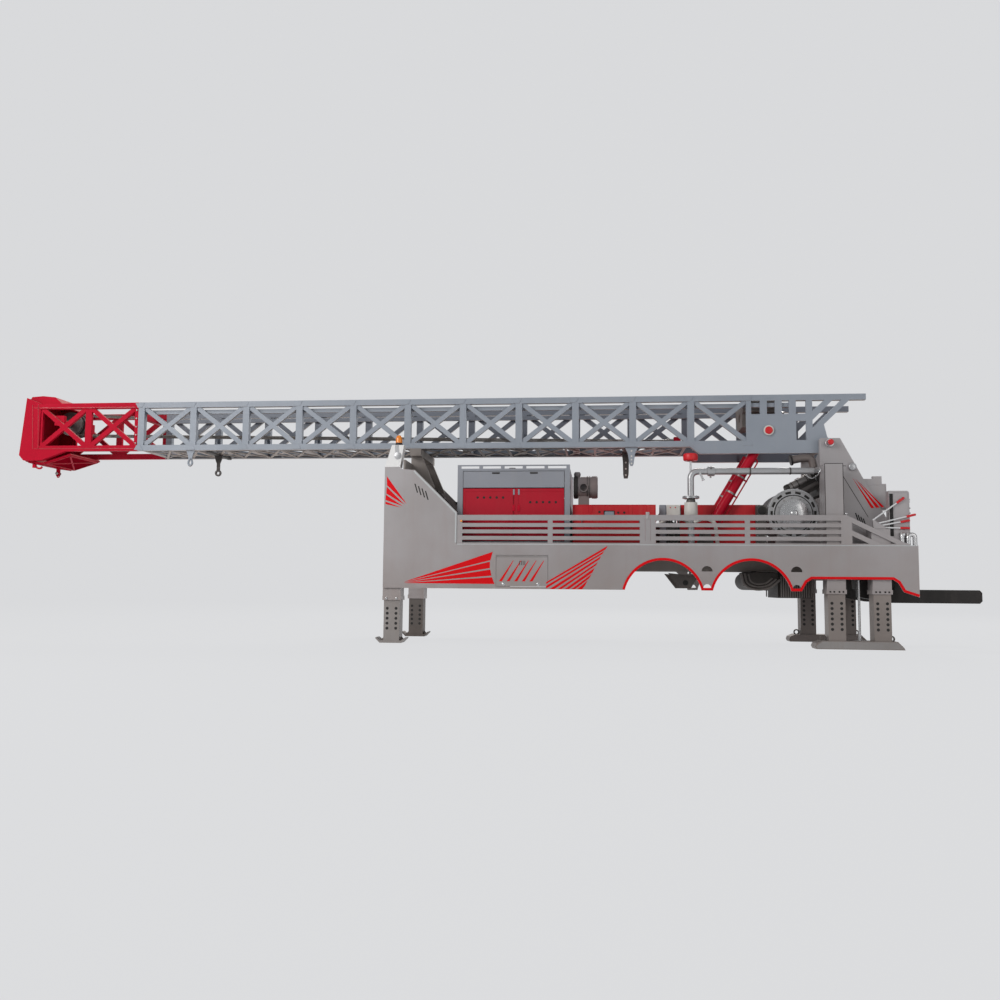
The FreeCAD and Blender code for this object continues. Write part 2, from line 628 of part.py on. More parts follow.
def slope(start, end, low, width, depth):
    """A flat bar in a plane of constant Y, centred on the line from start to end, both (x, z)."""
    run = "((%s) - (%s))" % (end[0], start[0])
    rise = "((%s) - (%s))" % (end[1], start[1])
    turn = "atan2(%s; %s)" % (rise, run)
    target = doc.addObject("Part::Box", "Slope")
    bind(target, "Length", "sqrt(%s * %s + %s * %s)" % (run, run, rise, rise))
    bind(target, "Width", width)
    bind(target, "Height", depth)
    target.Placement = FreeCAD.Placement(FreeCAD.Vector(), FreeCAD.Rotation(FreeCAD.Vector(0, 1, 0), 10))
    bind(target, "Placement.Rotation.Angle", "-" + turn)
    bind(target, "Placement.Base.x", "%s + (%s) / 2 * sin(%s)" % (start[0], depth, turn))
    bind(target, "Placement.Base.y", low)
    bind(target, "Placement.Base.z", "%s - (%s) / 2 * cos(%s)" % (start[1], depth, turn))
    return target


def bent(path, low, width, wall):
    """Sheet bent along a path of (x, z) points: flat bars with a round bar in each bend."""
    parts = [slope(start, end, low, width, wall) for start, end in zip(path, path[1:])]
    for x, z in path[1:-1]:
        parts.append(rod("Y", (x, low, z), wall + " / 2", width))
    return join(parts)


def tilted(start, end, y, radius, begin, finish=None):
    """A round bar at constant Y along the line from start to end, both (x, z), between two distances."""
    run = "((%s) - (%s))" % (end[0], start[0])
    rise = "((%s) - (%s))" % (end[1], start[1])
    turn = "atan2(%s; %s)" % (run, rise)
    if finish is None:
        finish = "sqrt(%s * %s + %s * %s)" % (run, run, rise, rise)
    target = doc.addObject("Part::Cylinder", "Tilted")
    bind(target, "Radius", radius)
    bind(target, "Height", "%s - (%s)" % (finish, begin))
    target.Placement = FreeCAD.Placement(FreeCAD.Vector(), FreeCAD.Rotation(FreeCAD.Vector(0, 1, 0), 10))
    bind(target, "Placement.Rotation.Angle", turn)
    bind(target, "Placement.Base.x", "%s + (%s) * sin(%s)" % (start[0], begin, turn))
    bind(target, "Placement.Base.y", y)
    bind(target, "Placement.Base.z", "%s + (%s) * cos(%s)" % (start[1], begin, turn))
    return target


def draw(sketch, loops):
    """Draws closed outlines whose every corner is tied to the sheet by its two coordinates."""
    for points in loops:
        first = sketch.GeometryCount
        count = len(points)
        spots = [FreeCAD.Vector(value(x), value(y), 0) for x, y in points]
        for i in range(count):
            sketch.addGeometry(Part.LineSegment(spots[i], spots[(i + 1) % count]), False)
        for i in range(count):
            sketch.addConstraint(Sketcher.Constraint("Coincident", first + i, 2, first + (i + 1) % count, 1))
        for i, (x, y) in enumerate(points):
            for kind, text, number in (("DistanceX", x, spots[i].x), ("DistanceY", y, spots[i].y)):
                index = sketch.addConstraint(Sketcher.Constraint(kind, -1, 1, first + i, 1, number))
                sketch.setExpression("Constraints[%d]" % index, tie(text))
    return sketch


SHEETS = {"XZ": (FreeCAD.Rotation(FreeCAD.Vector(1, 0, 0), 90), FreeCAD.Vector(0, 1, 0), "y"),
          "XY": (FreeCAD.Rotation(), FreeCAD.Vector(0, 0, 1), "z"),
          "YZ": (FreeCAD.Rotation(FreeCAD.Vector(1, 1, 1), 120), FreeCAD.Vector(1, 0, 0), "x")}


def slab(plane, loops, low, thick):
    """A plate of any outline in a main plane, from its low face through its thickness."""
    rotation, direction, letter = SHEETS[plane]
    sketch = doc.addObject("Sketcher::SketchObject", "Outline")
    sketch.Placement = FreeCAD.Placement(FreeCAD.Vector(), rotation)
    bind(sketch, "Placement.Base." + letter, low)
    draw(sketch, loops)
    target = doc.addObject("Part::Extrusion", "Slab")
    target.Base = sketch
    target.DirMode = "Custom"
    target.Dir = direction
    target.Solid = True
    bind(target, "LengthFwd", thick)
    return target


def join(parts):
    if len(parts) == 1:
        return parts[0]
    target = doc.addObject("Part::MultiFuse", "Join")
    target.Shapes = parts
    return target


def group(parts):
    """Keeps pieces as separate solids of one sub-part."""
    target = doc.addObject("Part::Compound", "Group")
    target.Links = parts
    return target


def cut(base, tools):
    target = doc.addObject("Part::Cut", "Cut")
    target.Base = base
    target.Tool = join(tools)
    return target


def node(label, target):
    """Names a finished sub-part and lists it for export."""
    target.Label = label
    nodes.append(target)
    return target


def outward(side, near, wide):
    """Low Y of a piece that lies from near to near + wide on the left (-1) or right (+1) side."""
    if side > 0:
        return "(%s)" % near
    return "-(%s) - (%s)" % (near, wide)


def frame(left, bottom, right, top):
    """Corners of an upright rectangle."""
    return [(left, bottom), (right, bottom), (right, top), (left, top)]


def punched(label, plane, outline, holes, low, thick, step, times):
    """A plate made as a body: a pad, one pocket of holes, and that pocket repeated along X."""
    body = doc.addObject("PartDesign::Body", label)
    role = plane + "_Plane"
    datum = [feature for feature in body.Origin.OriginFeatures if feature.Role == role][0]
    outer = body.newObject("Sketcher::SketchObject", "Outline")
    outer.AttachmentSupport = (datum, [""])
    outer.MapMode = "FlatFace"
    draw(outer, [outline])
    pad = body.newObject("PartDesign::Pad", "Plate")
    pad.Profile = outer
    bind(pad, "Length", thick)
    pad.Reversed = plane == "XZ"
    doc.recompute()
    solid = pad.Shape.Volume
    inner = body.newObject("Sketcher::SketchObject", "Holes")
    inner.AttachmentSupport = (datum, [""])
    inner.MapMode = "FlatFace"
    draw(inner, holes)
    pocket = body.newObject("PartDesign::Pocket", "Openings")
    pocket.Profile = inner
    pocket.Type = "ThroughAll"
    pocket.Midplane = True
    doc.recompute()
    if pocket.Shape.Volume >= solid:
        raise RuntimeError(label + ": the openings cut nothing")
    pattern = body.newObject("PartDesign::LinearPattern", "Repeat")
    pattern.Originals = [pocket]
    pattern.Direction = (inner, ["H_Axis"])
    bind(pattern, "Length", "(%s) * ((%s) - 1)" % (step, times))
    bind(pattern, "Occurrences", times)
    body.Tip = pattern
    bind(body, "Placement.Base." + SHEETS[plane][2], low)
    doc.recompute()
    return body


doc.recompute()


# Carrier

def subframe():
    """Two long rails, cross joists between the skirts, a rear beam and four chassis brackets."""
    parts = []
    for side, _ in SIDES:
        parts.append(block(("frontEnd + railInset", outward(side, "railInner", "railWide"), "railLow"),
                           ("carrierLong - 2 * railInset", "railWide", "railDeep")))
    for i in range(JOISTS):
        x = "joistFirst + (joistLast - joistFirst) * %d / %d" % (i, JOISTS - 1)
        parts.append(block((x, "-innerHalf", "joistLow"), ("joistWide", "2 * innerHalf", "joistDeep")))
    parts.append(block(("rearEnd - joistWide - railInset", "-innerHalf", "joistLow"),
                       ("joistWide", "2 * innerHalf", "joistDeep")))
    holes = []
    for i in range(2):
        x = "archRear - bracketAhead - %d * bracketPitch" % i
        for side, _ in SIDES:
            parts.append(block((x + " - bracketLong / 2",
                                outward(side, "railInner + railWide", "bracketWall"),
                                "railLow - bracketDrop"),
                               ("bracketLong", "bracketWall", "bracketDrop + railDeep")))
            clear = outward(side, "railInner + railWide - bracketWall", "3 * bracketWall")
            for dx in (-1, 1):
                for dz in (-1, 1):
                    holes.append(rod("Y", ("%s + %d * boltApart / 2" % (x, dx), clear,
                                           "railLow - bracketDrop / 2 + %d * boltHigh / 2" % dz),
                                     "boltRadius", "3 * bracketWall"))
    node("subframe", cut(join(parts), holes))


def deck():
    """Deck sheets around the drilling well, with the holes that the jack sleeves pass through."""
    low = "deckTop - deckPlate"
    sheets = [block(("frontEnd", "-innerHalf", low), ("wellFront - frontEnd", "2 * innerHalf", "deckPlate")),
              block(("wellRear", "-innerHalf", low), ("rearEnd - wellRear", "2 * innerHalf", "deckPlate"))]
    for side, _ in SIDES:
        sheets.append(block(("wellFront", outward(side, "wellHalf", "innerHalf - wellHalf"), low),
                            ("wellLong", "innerHalf - wellHalf", "deckPlate")))
    outer = "(sleeveOuter + 2 * sleeveHole)"
    cuts = []
    for sheet, places in ((0, ("jackFront", "jackRear")), (2, ("jackLast",)), (3, ("jackLast",))):
        sides = SIDES if sheet == 0 else SIDES[sheet - 2:sheet - 1]
        for x in places:
            for side, _ in sides:
                cuts.append((sheet, block(("%s - %s / 2" % (x, outer),
                                           "%d * jackSide - %s / 2" % (side, outer),
                                           low + " - deckPlate"), (outer, outer, "3 * deckPlate"))))
    for index in (0, 2, 3):
        sheets[index] = cut(sheets[index], [tool for sheet, tool in cuts if sheet == index])
    node("deck", group(sheets))


def skirt(side, name):
    """Side skirt with two wheel arches, a raised rear edge, half-moon holes and the hatch opening."""
    low = outward(side, "innerHalf", "skirtWall")
    outline = [("frontEnd", "skirtBottom"), ("riseStart", "skirtBottom"),
               ("riseStart + riseRun / 2", "riseTop - riseEase"), ("riseStart + riseRun", "riseTop"),
               ("riseEnd - riseRun", "riseTop"), ("riseEnd - riseRun / 2", "riseTop - riseEase"),
               ("riseEnd", "skirtBottom"), ("rearEnd", "skirtBottom - tailDrop"), ("rearEnd", "deckTop"),
               ("frontEnd", "deckTop")]
    opening = frame("hatchFront", "hatchBottom", "hatchFront + hatchLong", "hatchBottom + hatchTall")
    plate = slab("XZ", [outline, opening], low, "skirtWall")
    clear = outward(side, "innerHalf - skirtWall", "3 * skirtWall")
    tools = []
    for centre in ("archFront", "archRear"):
        tools.append(rod("Y", (centre, clear, "archHeight"), "archRadius", "3 * skirtWall"))
        after = centre + " + archPitch / 2"
        for rise, radius in (("moonRise", "moonRadius"), ("moonLow", "moonSmall")):
            base = "skirtBottom + " + rise
            disc = rod("Y", (after, clear, base), radius, "3 * skirtWall")
            lower = block(("%s - 2 * %s" % (after, radius), clear, "%s - 2 * %s" % (base, radius)),
                          ("4 * " + radius, "3 * skirtWall", "2 * " + radius))
            tools.append(cut(disc, [lower]))
    node("skirt_" + name, cut(plate, tools))


def hatch(side, name):
    """Locker hatch that hangs from a hinge bar at its top edge."""
    door = block(("hatchFront + hatchGap", outward(side, "innerHalf", "skirtWall"), "hatchBottom + hatchGap"),
                 ("hatchLong - 2 * hatchGap", "skirtWall", "hatchTall - 2 * hatchGap"))
    node("hatch_" + name, door)


# Jacks

def jackSleeve(x, y, bottom, top):
    """Square sleeve, closed at the top and banded at its lower end, that a jack leg runs in."""
    tube = block(("%s - sleeveOuter / 2" % x, "%s - sleeveOuter / 2" % y, bottom),
                 ("sleeveOuter", "sleeveOuter", "%s - (%s)" % (top, bottom)))
    band = block(("%s - sleeveOuter / 2 - bandWall" % x, "%s - sleeveOuter / 2 - bandWall" % y, bottom),
                 ("sleeveOuter + 2 * bandWall", "sleeveOuter + 2 * bandWall", "bandTall"))
    hollow = block(("%s - sleeveInner / 2" % x, "%s - sleeveInner / 2" % y, "%s - sleeveWall" % bottom),
                   ("sleeveInner", "sleeveInner", "%s - (%s)" % (top, bottom)))
    return cut(join([tube, band]), [hollow])


def jackLeg(x, y, foot, lowest, rows):
    """Square leg with two columns of pin holes, cut through along Y."""
    leg = block((x + " - legWide / 2", y + " - legWide / 2", foot),
                ("legWide", "legWide", "deckTop - legDrop - " + foot))
    holes = []
    for column in (-1, 1):
        for i in range(rows):
            holes.append(rod("Y", ("%s + %d * pinHoleApart / 2" % (x, column), y + " - legWide",
                                   "%s + %s + %d * pinHolePitch" % (foot, lowest, i)),
                             "pinHoleRadius", "2 * legWide"))
    return cut(leg, holes)


def frontJack(side, name):
    """Front leg on a foot plate whose two ends turn up."""
    y = "%d * jackSide" % side
    front = "jackFront - footFront"
    rear = "jackFront + footRear"
    low = y + " - legWide / 2 - footLip"
    wide = "legWide + 2 * footLip"
    plate = block((front + " + footCurl", low, "0"),
                  (rear + " - footCurl - (%s) - footCurl" % front, wide, "footThick"))
    curls = [slab("XZ", [[(end, "footCurl"), (inner, "0"), (inner, "footThick"),
                          (end, "footCurl + footThick / 2")]],
                  low, wide) for end, inner in ((front, front + " + footCurl"), (rear, rear + " - footCurl"))]
    leg = jackLeg("jackFront", y, "footThick", "frontHoles", 5)
    node("jack_leg_front_" + name, join([leg, plate] + curls))


def rearJack(side, name):
    """Two rear legs on one ski."""
    y = "%d * jackSide" % side
    front = "jackRear - skiFront"
    rear = "jackLast + skiRear"
    ski = slab("XZ", [[(front, "2 * skiToe"), (front + " + skiToe", "0"), (rear, "0"),
                       (rear + " - skiToe", "2 * skiToe"), (rear + " - skiBevel", "skiTall"),
                       (front + " + skiBevel", "skiTall"), (front + " + skiToe", "skiTall - 2 * skiToe")]],
               y + " - skiWide / 2", "skiWide")
    legs = [jackLeg(x, y, "skiTall", "rearHoles", 6) for x in ("jackRear", "jackLast")]
    node("jack_legs_rear_" + name, join(legs + [ski]))


# Front end

def frontPanel(side):
    """Side panel whose rear edge slopes down to the railing."""
    return slab("XZ", [[("frontEnd", "deckTop"), ("panelRear", "deckTop"),
                        ("panelRear", "panelTop - panelFoot"),
                        ("panelRear - panelSlope", "panelTop - panelFlat"),
                        ("frontEnd + panelCap + panelStep", "panelTop - panelStep"),
                        ("frontEnd + panelCap", "panelTop"), ("frontEnd", "panelTop")]],
                outward(side, "innerHalf", "skirtWall"), "skirtWall")


def horn(side):
    """Hollow-looking upright horn on top of a front panel."""
    return slab("XZ", [[("frontEnd", "panelTop"), ("frontEnd + panelCap", "panelTop"),
                        ("frontEnd + panelCap + hornRear", "hornTop"), ("frontEnd + hornLean", "hornTop")]],
                outward(side, "halfWidth - hornWide", "hornWide"), "hornWide")


def beacon(side):
    """Warning beacon on a horn."""
    x = "frontEnd + (panelCap + hornRear + hornLean) / 2"
    centre = "%d * (halfWidth - hornWide / 2)" % side
    foot = rod("Z", (x, centre, "hornTop"), "beaconRadius + footLip", "beaconFoot")
    lamp = rod("Z", (x, centre, "hornTop + beaconFoot"), "beaconRadius", "beaconTall - beaconFoot",
               "beaconRadius - beaconTaper")
    return join([foot, lamp])


def headboard():
    """Cross wall between the front panels, with the brackets and the saddle that the mast lies over."""
    saddle = "mastBottom - restGap - restTall"
    parts = [block(("headFace", "-innerHalf", "deckTop"), ("headWall", "2 * innerHalf", "headTop - deckTop"))]
    for side, _ in SIDES:
        parts.append(slab("XZ", [[("headFace", "headTop - restDeep"),
                                  ("headFace + restFoot", "headTop - restDeep"),
                                  ("headFace + restLong", saddle), ("headFace", saddle)]],
                          outward(side, "restHalf - restWall", "restWall"), "restWall"))
    parts.append(block(("headFace", "-restHalf - restWide", saddle),
                       ("restLong", "2 * (restHalf + restWide)", "restTall")))
    node("mast_rest", join(parts))


def railing(side):
    """Two slotted panels, a knob between them and a sloping end with two openings."""
    low = outward(side, "halfWidth - railingInset - railingWall", "railingWall")
    parts = []
    for i in range(2):
        start = "(railingFront + %d * (railingPanel + railingGap))" % i
        loops = [frame(start, "deckTop", start + " + railingPanel", "railingTop")]
        for j in range(2):
            first = "(%s + slotMargin + %d * (slotLong + slotPost))" % (start, j)
            for k in range(4):
                bottom = "(deckTop + railingFoot + %d * slotPitch)" % k
                loops.append(frame(first, bottom, first + " + slotLong", bottom + " + slotTall"))
        parts.append(slab("XZ", loops, low, "railingWall"))
    fall = "(railingTall / railingSlope)"
    inner = "(railingEnd + barWide)"
    high = "(railingTop - barWide * %s - barWide)" % fall
    lowTop = "(deckTop + railingFoot + barWide * 1.5)"
    parts.append(slab("XZ", [
        [("railingEnd", "deckTop"), ("railingTail", "deckTop"), ("railingEnd", "railingTop")],
        [(inner, "deckTop + railingFoot"),
         ("%s + (%s - deckTop - railingFoot) / %s" % (inner, lowTop, fall), "deckTop + railingFoot"),
         (inner, lowTop)],
        [(inner, lowTop + " + barWide"),
         ("%s + (%s + barWide - deckTop - railingFoot) / %s" % (inner, lowTop, fall),
          "deckTop + railingFoot"),
         ("%s + (%s - deckTop - railingFoot) / %s" % (inner, high, fall), "deckTop + railingFoot"),
         (inner, high)]],
        low, "railingWall"))
    middle = "railingFront + railingPanel"
    for z in ("deckTop", "railingTop - linkTall"):
        parts.append(block((middle, low, z), ("railingGap", "railingWall", "linkTall")))
    parts.append(rod("Z", (middle + " + railingGap / 2", low + " + railingWall / 2", "railingTop - linkTall"),
                     "knobRadius", "linkTall + knobTall"))
    return join(parts)


# Engine

def canopy():
    """Engine canopy: four posts, end walls, roof, roof rail and a sill, open inside."""
    parts = []
    for x in ("canopyFront", "canopyRear - canopyPost"):
        for side, _ in SIDES:
            parts.append(block((x, outward(side, "canopyHalf - canopyPost", "canopyPost"), "deckTop"),
                               ("canopyPost", "canopyPost", "canopyTall")))
    parts.append(block(("canopyFront", "-canopyHalf", "canopyTop - canopyWall"),
                       ("canopyLong", "2 * canopyHalf", "canopyWall")))
    for x in ("canopyFront", "canopyRear - canopyWall"):
        parts.append(block((x, "-canopyHalf + canopyWall", "deckTop + canopyVent"),
                           ("canopyWall", "2 * (canopyHalf - canopyWall)", "canopyTall - canopyVent")))
    for side, _ in SIDES:
        parts.append(block(("canopyFront", outward(side, "canopyHalf - canopyWall", "canopyWall"), "deckTop"),
                           ("canopyLong", "canopyWall", "doorRise")))
        y = outward(side, "canopyHalf - roofWall", "roofWall")
        parts.append(block(("canopyFront", y, "canopyTop + roofRail - roofBar"),
                           ("canopyLong", "roofWall", "roofBar")))
        for i in range(6):
            parts.append(block(("canopyFront + %d * (canopyLong - roofPost) / 5" % i, y, "canopyTop"),
                               ("roofPost", "roofWall", "roofRail")))
    node("engine_canopy", join(parts))


def canopySide(side, name):
    """Two red doors below and one hinged flap above, in the plane of the canopy's posts."""
    low = outward(side, "canopyHalf - canopyWall", "canopyWall")
    first = "canopyFront + canopyPost + panelGap"
    long = "(canopyLong - 2 * canopyPost - 3 * panelGap) / 2"
    doors = []
    for i in range(2):
        doors.append(block(("%s + %d * (%s + panelGap)" % (first, i, long), low, "doorBottom + panelGap"),
                           (long, "canopyWall", "flapBottom - doorBottom - 2 * panelGap")))
    node("canopy_flap_" + name,
         block((first, low, "flapBottom + panelGap"),
               ("canopyLong - 2 * canopyPost - 2 * panelGap", "canopyWall",
                "canopyTop - canopyWall - flapBottom - 2 * panelGap")))
    return doors


def engine():
    """Plain engine block on two feet."""
    x = "canopyFront + (canopyLong - engineLong) / 2"
    parts = [block((x, "-engineHalf", "deckTop + engineFoot"),
                   ("engineLong", "2 * engineHalf", "engineTall"))]
    for side, _ in SIDES:
        parts.append(block((x, outward(side, "engineHalf - engineFoot", "engineFoot"), "deckTop"),
                           ("engineLong", "engineFoot", "engineFoot")))
    node("engine_block", join(parts))


def airCleaner():
    """Air cleaner can with an inlet stub, a rain cap and a foot on the forward cabinet."""
    y = "-cleanerSide"
    inlet = "cleanerFront + inletAfter"
    level = "cleanerHigh - inletDrop"
    parts = [rod("X", ("cleanerFront", y, "cleanerHigh"), "cleanerRadius", "cleanerLong")]
    parts.append(rod("X", ("cleanerFront + cleanerLong - 2 * rimLong", y, "cleanerHigh"),
                     "cleanerRadius + rimTall", "rimLong"))
    parts.append(rod("Y", (inlet, "-cleanerSide - cleanerRadius - inletLong", level),
                     "inletRadius + inletWall",
                     "cleanerRadius"))
    parts.append(rod("Z", ("cleanerFront + capAfter", y, "cleanerHigh"), "capRadius",
                     "cleanerRadius + capTall"))
    parts.append(block((inlet + " - padLong / 2", "-cleanerSide - padLong / 2", "tankTop"),
                       ("padLong", "padLong", "cleanerRise - cleanerRadius / 2")))
    bore = rod("Y", (inlet, "-cleanerSide - cleanerRadius - 2 * inletLong", level), "inletRadius",
               "inletDeep + inletLong")
    node("air_cleaner", cut(join(parts), [bore]))


# Machinery on the deck

def cabinets():
    """Forward cabinet across the deck, and the rear one between the raising cylinders."""
    front = block(("tankFront", "-tankHalf", "deckTop"),
                  ("pumpFront - tankBefore - tankFront", "2 * tankHalf", "tankTall"))
    rear = block(("rearTankFront", "-rearTankHalf", "deckTop"),
                 ("rearTankRear - rearTankFront", "2 * rearTankHalf", "rearTankTall"))
    node("cabinets", join([front, rear]))


def valveTray():
    """Post with an arm that carries a valve block over the pump."""
    x = "pumpFront + trayAhead"
    post = block((x, "-pumpHalf", "deckTop"), ("trayPost", "trayPost", "trayTall"))
    arm = block((x, "-pumpHalf + trayPost / 4", "deckTop + trayLow"),
                ("trayPost + trayGap + trayLong", "trayWide", "trayPlate"))
    valves = block((x + " + trayPost + trayGap", "-pumpHalf + trayPost / 4", "deckTop + trayLow + trayPlate"),
                   ("trayLong", "trayWide", "trayBox"))
    node("valve_tray", join([post, arm, valves]))


def pump():
    """Mud pump: crankcase, fluid end with three valve covers towards the left side, and a pulley."""
    case = block(("pumpFront", "-pumpCase", "deckTop"), ("pumpLong", "pumpHalf + pumpCase", "pumpTall"))
    near = "-pumpCase - fluidGap - fluidWide"
    fluid = block(("pumpFront + fluidInset", near, "deckTop + fluidLow"),
                  ("pumpLong - 2 * fluidInset", "fluidWide", "fluidTall"))
    link = block(("pumpFront + 3 * fluidInset", "-pumpCase - fluidGap", "deckTop + 2 * fluidLow"),
                 ("pumpLong - 6 * fluidInset", "fluidGap", "fluidTall - fluidLow"))
    parts = [case, fluid, link]
    for i in (-1, 0, 1):
        parts.append(rod("Z", ("pumpFront + pumpLong / 2 + %d * coverPitch" % i, near + " + fluidGap",
                               "deckTop + fluidLow + fluidTall"), "coverRadius", "coverTall"))
    parts.append(rod("Y", ("pumpFront + pumpLong / 2", "pumpHalf - fluidGap - wheelLong",
                           "deckTop + pumpTall"),
                     "wheelRadius", "wheelLong"))
    node("mud_pump", join(parts))


def standpipe():
    """Valve body, flange, riser, bend and the long level pipe towards the winch."""
    y = "-pipeSide"
    bend = doc.addObject("Part::Torus", "Bend")
    bind(bend, "Radius1", "elbowRadius")
    bind(bend, "Radius2", "pipeRadius")
    bend.Angle3 = 90
    rotation = FreeCAD.Rotation(FreeCAD.Vector(1, 0, 0),
                                90).multiply(FreeCAD.Rotation(FreeCAD.Vector(0, 0, 1), 90))
    place(bend, ("pipeX + elbowRadius", y, "pipeZ - elbowRadius"), rotation)
    parts = [bend]
    parts.append(rod("Z", ("pipeX", y, "deckTop"), "pipeRadius", "pipeTall - elbowRadius"))
    parts.append(rod("X", ("pipeX + elbowRadius", y, "pipeZ"), "pipeRadius",
                     "frameFront - pipeBefore - pipeX - elbowRadius"))
    parts.append(rod("Z", ("pipeX", y, "deckTop + globeLow"), "globeRadius", "globeTall"))
    parts.append(rod("Z", ("pipeX", y, "deckTop + flangeLow"), "flangeRadius", "flangeTall"))
    parts.append(rod("X", ("pipeX + unionAfter", y, "pipeZ"), "pipeRadius + unionWall", "unionLong"))
    parts.append(block(("frameFront - pipeBefore - trayPlate", "-frameOuter", "pipeZ - trayPlate / 2"),
                       ("pipeBefore + trayPlate", "frameWall", "trayPlate")))
    parts.append(rod("Z", ("pipeX", y, "pipeZ - elbowRadius"), "stemRadius", "stemTall + elbowRadius"))
    node("standpipe", join(parts))
    node("hand_valve", rod("X", ("pipeX - handLong / 2", y, "pipeZ + stemTall + handRadius"), "handRadius",
                           "handLong"))


def winch():
    """Drum between two flanges, its brake disc with a ring of windows and a cover, and its two stands."""
    parts = [rod("Y", ("drumX", "-drumHalf", "drumZ"), "drumCore", "2 * drumHalf")]
    for y in ("-drumHalf", "drumHalf - flangeThick"):
        parts.append(rod("Y", ("drumX", y, "drumZ"), "drumFlange", "flangeThick"))
    parts.append(rod("Y", ("drumX", "-drumHalf - shaftPast", "drumZ"), "shaftRadius",
                     "2 * (drumHalf + shaftPast)"))
    disc = "(drumHalf + shaftPast)"
    parts.append(rod("Y", ("drumX", "-" + disc, "drumZ"), "ringRadius", "ringThick"))
    parts.append(rod("Y", ("drumX", "-%s - coverStep" % disc, "drumZ"), "coverRim", "coverStep"))
    parts.append(rod("Y", ("drumX", "-%s - coverStep - coverPast" % disc, "drumZ"), "coverBoss", "coverPast"))
    windows = []
    for i in range(SLOTS):
        turn = 360 / SLOTS * i
        tool = block(("drumX + windowRing * cos(%g) - windowRun / 2 * sin(%g)" % (turn, turn),
                      "-%s - ringThick" % disc,
                      "drumZ - windowRing * sin(%g) - windowRun / 2 * cos(%g)" % (turn, turn)),
                     ("windowTall", "3 * ringThick", "windowRun"))
        tool.Placement.Rotation = FreeCAD.Rotation(FreeCAD.Vector(0, 1, 0), turn)
        windows.append(tool)
    node("winch_drum", cut(join(parts), windows))
    stands = []
    for side, _ in SIDES:
        stands.append(slab("XZ", [[("drumX - standFoot", "deckTop"), ("drumX + standFoot", "deckTop"),
                                   ("drumX + standHead", "drumZ + standHead / 2"),
                                   ("drumX + standHead / 2", "drumZ + standHead"),
                                   ("drumX - standHead / 2", "drumZ + standHead"),
                                   ("drumX - standHead", "drumZ + standHead / 2")]],
                           outward(side, "drumHalf + standAfter", "standThick"), "standThick"))
    bore = rod("Y", ("drumX", "-drumHalf - 2 * shaftPast", "drumZ"), "shaftRadius + shaftGap",
               "2 * (drumHalf + 2 * shaftPast)")
    node("winch_stand", cut(group(stands), [bore]))
    gearbox = block(("drumX - gearAhead", "-gearSide - gearWide", "deckTop"),
                    ("gearLong", "gearWide", "gearTall"))
    motor = rod("Y", ("drumX - gearAhead + gearLong / 2", "-gearSide - 2 * gearWide", "deckTop + motorRise"),
                "motorRadius", "gearWide")
    node("winch_gearbox", join([gearbox, motor]))


# Rear end

def rearFrame(side):
    """Tall side plate with its web to the sleeve, a boss and the mast's pivot pin with its cap."""
    plate = slab("XZ", [[("frameFront", "deckTop"), ("pivotX + frameFoot", "deckTop"),
                         ("pivotX + frameFoot", "deckTop + frameHeel"),
                         ("pivotX + frameWaist", "pivotZ - frameKnee"),
                         ("pivotX + frameCrown", "pivotZ + frameRise"),
                         ("frameFront + frameChamfer", "pivotZ + frameRise"),
                         ("frameFront", "pivotZ + frameRise - frameChamfer")]],
                 outward(side, "frameInner", "frameWall"), "frameWall")
    gap = "(jackSide - sleeveOuter / 2 - frameOuter)"
    web = block(("jackRear - webLong / 2", outward(side, "frameOuter", gap), "deckTop"),
                ("webLong", gap, "postTop - frameWall - deckTop"))
    cap = rod("Y", ("pivotX", outward(side, "frameOuter", "capThick"), "pivotZ"), "pivotRadius + bossGap",
              "capThick")
    reach = "(frameInner - mastHalf + baseWall + capThick)"
    pin = rod("Y", ("pivotX", outward(side, "mastHalf - baseWall - capThick / 2", reach), "pivotZ"),
              "pivotRadius", reach)
    boss = rod("Y", ("pivotX + bossAfter", outward(side, "frameOuter", "capThick"), "pivotZ - bossDrop"),
               "pivotRadius + bossGap", "capThick")
    return join([plate, web, cap, pin, boss])


def brake():
    """Inclined brake motor over the drum, hung from the cross beam between the rear frames."""
    low = "deckTop + brakeRise"
    run = "(brakeLong * cos(28))"
    rise = "(brakeLong * sin(28))"
    end = ("frameFront", "%s + %s" % (low, rise))
    start = ("frameFront - " + run, low)
    motor = tilted(start, end, "-brakeSide", "brakeRadius", "0")
    lift = "(brakeRadius + brakeBox / 2)"
    housing = slope(("frameFront - %s / 2" % run, "%s + %s / 2 - %s" % (low, rise, lift)),
                    (end[0], "%s - %s" % (end[1], lift)), "-brakeSide - brakeRadius", "2 * brakeRadius",
                    "brakeBox")
    beam = block(("frameFront", "-frameInner", "deckTop + beamLow"),
                 ("beamTall", "2 * frameInner", "beamTall"))
    hanger = block(("frameFront", "-brakeSide - brakeRadius", "deckTop + beamLow"),
                   ("beamTall / 2", "2 * brakeRadius", "brakeRise + %s - beamLow" % rise))
    node("brake_motor", join([motor, housing, beam, hanger]))


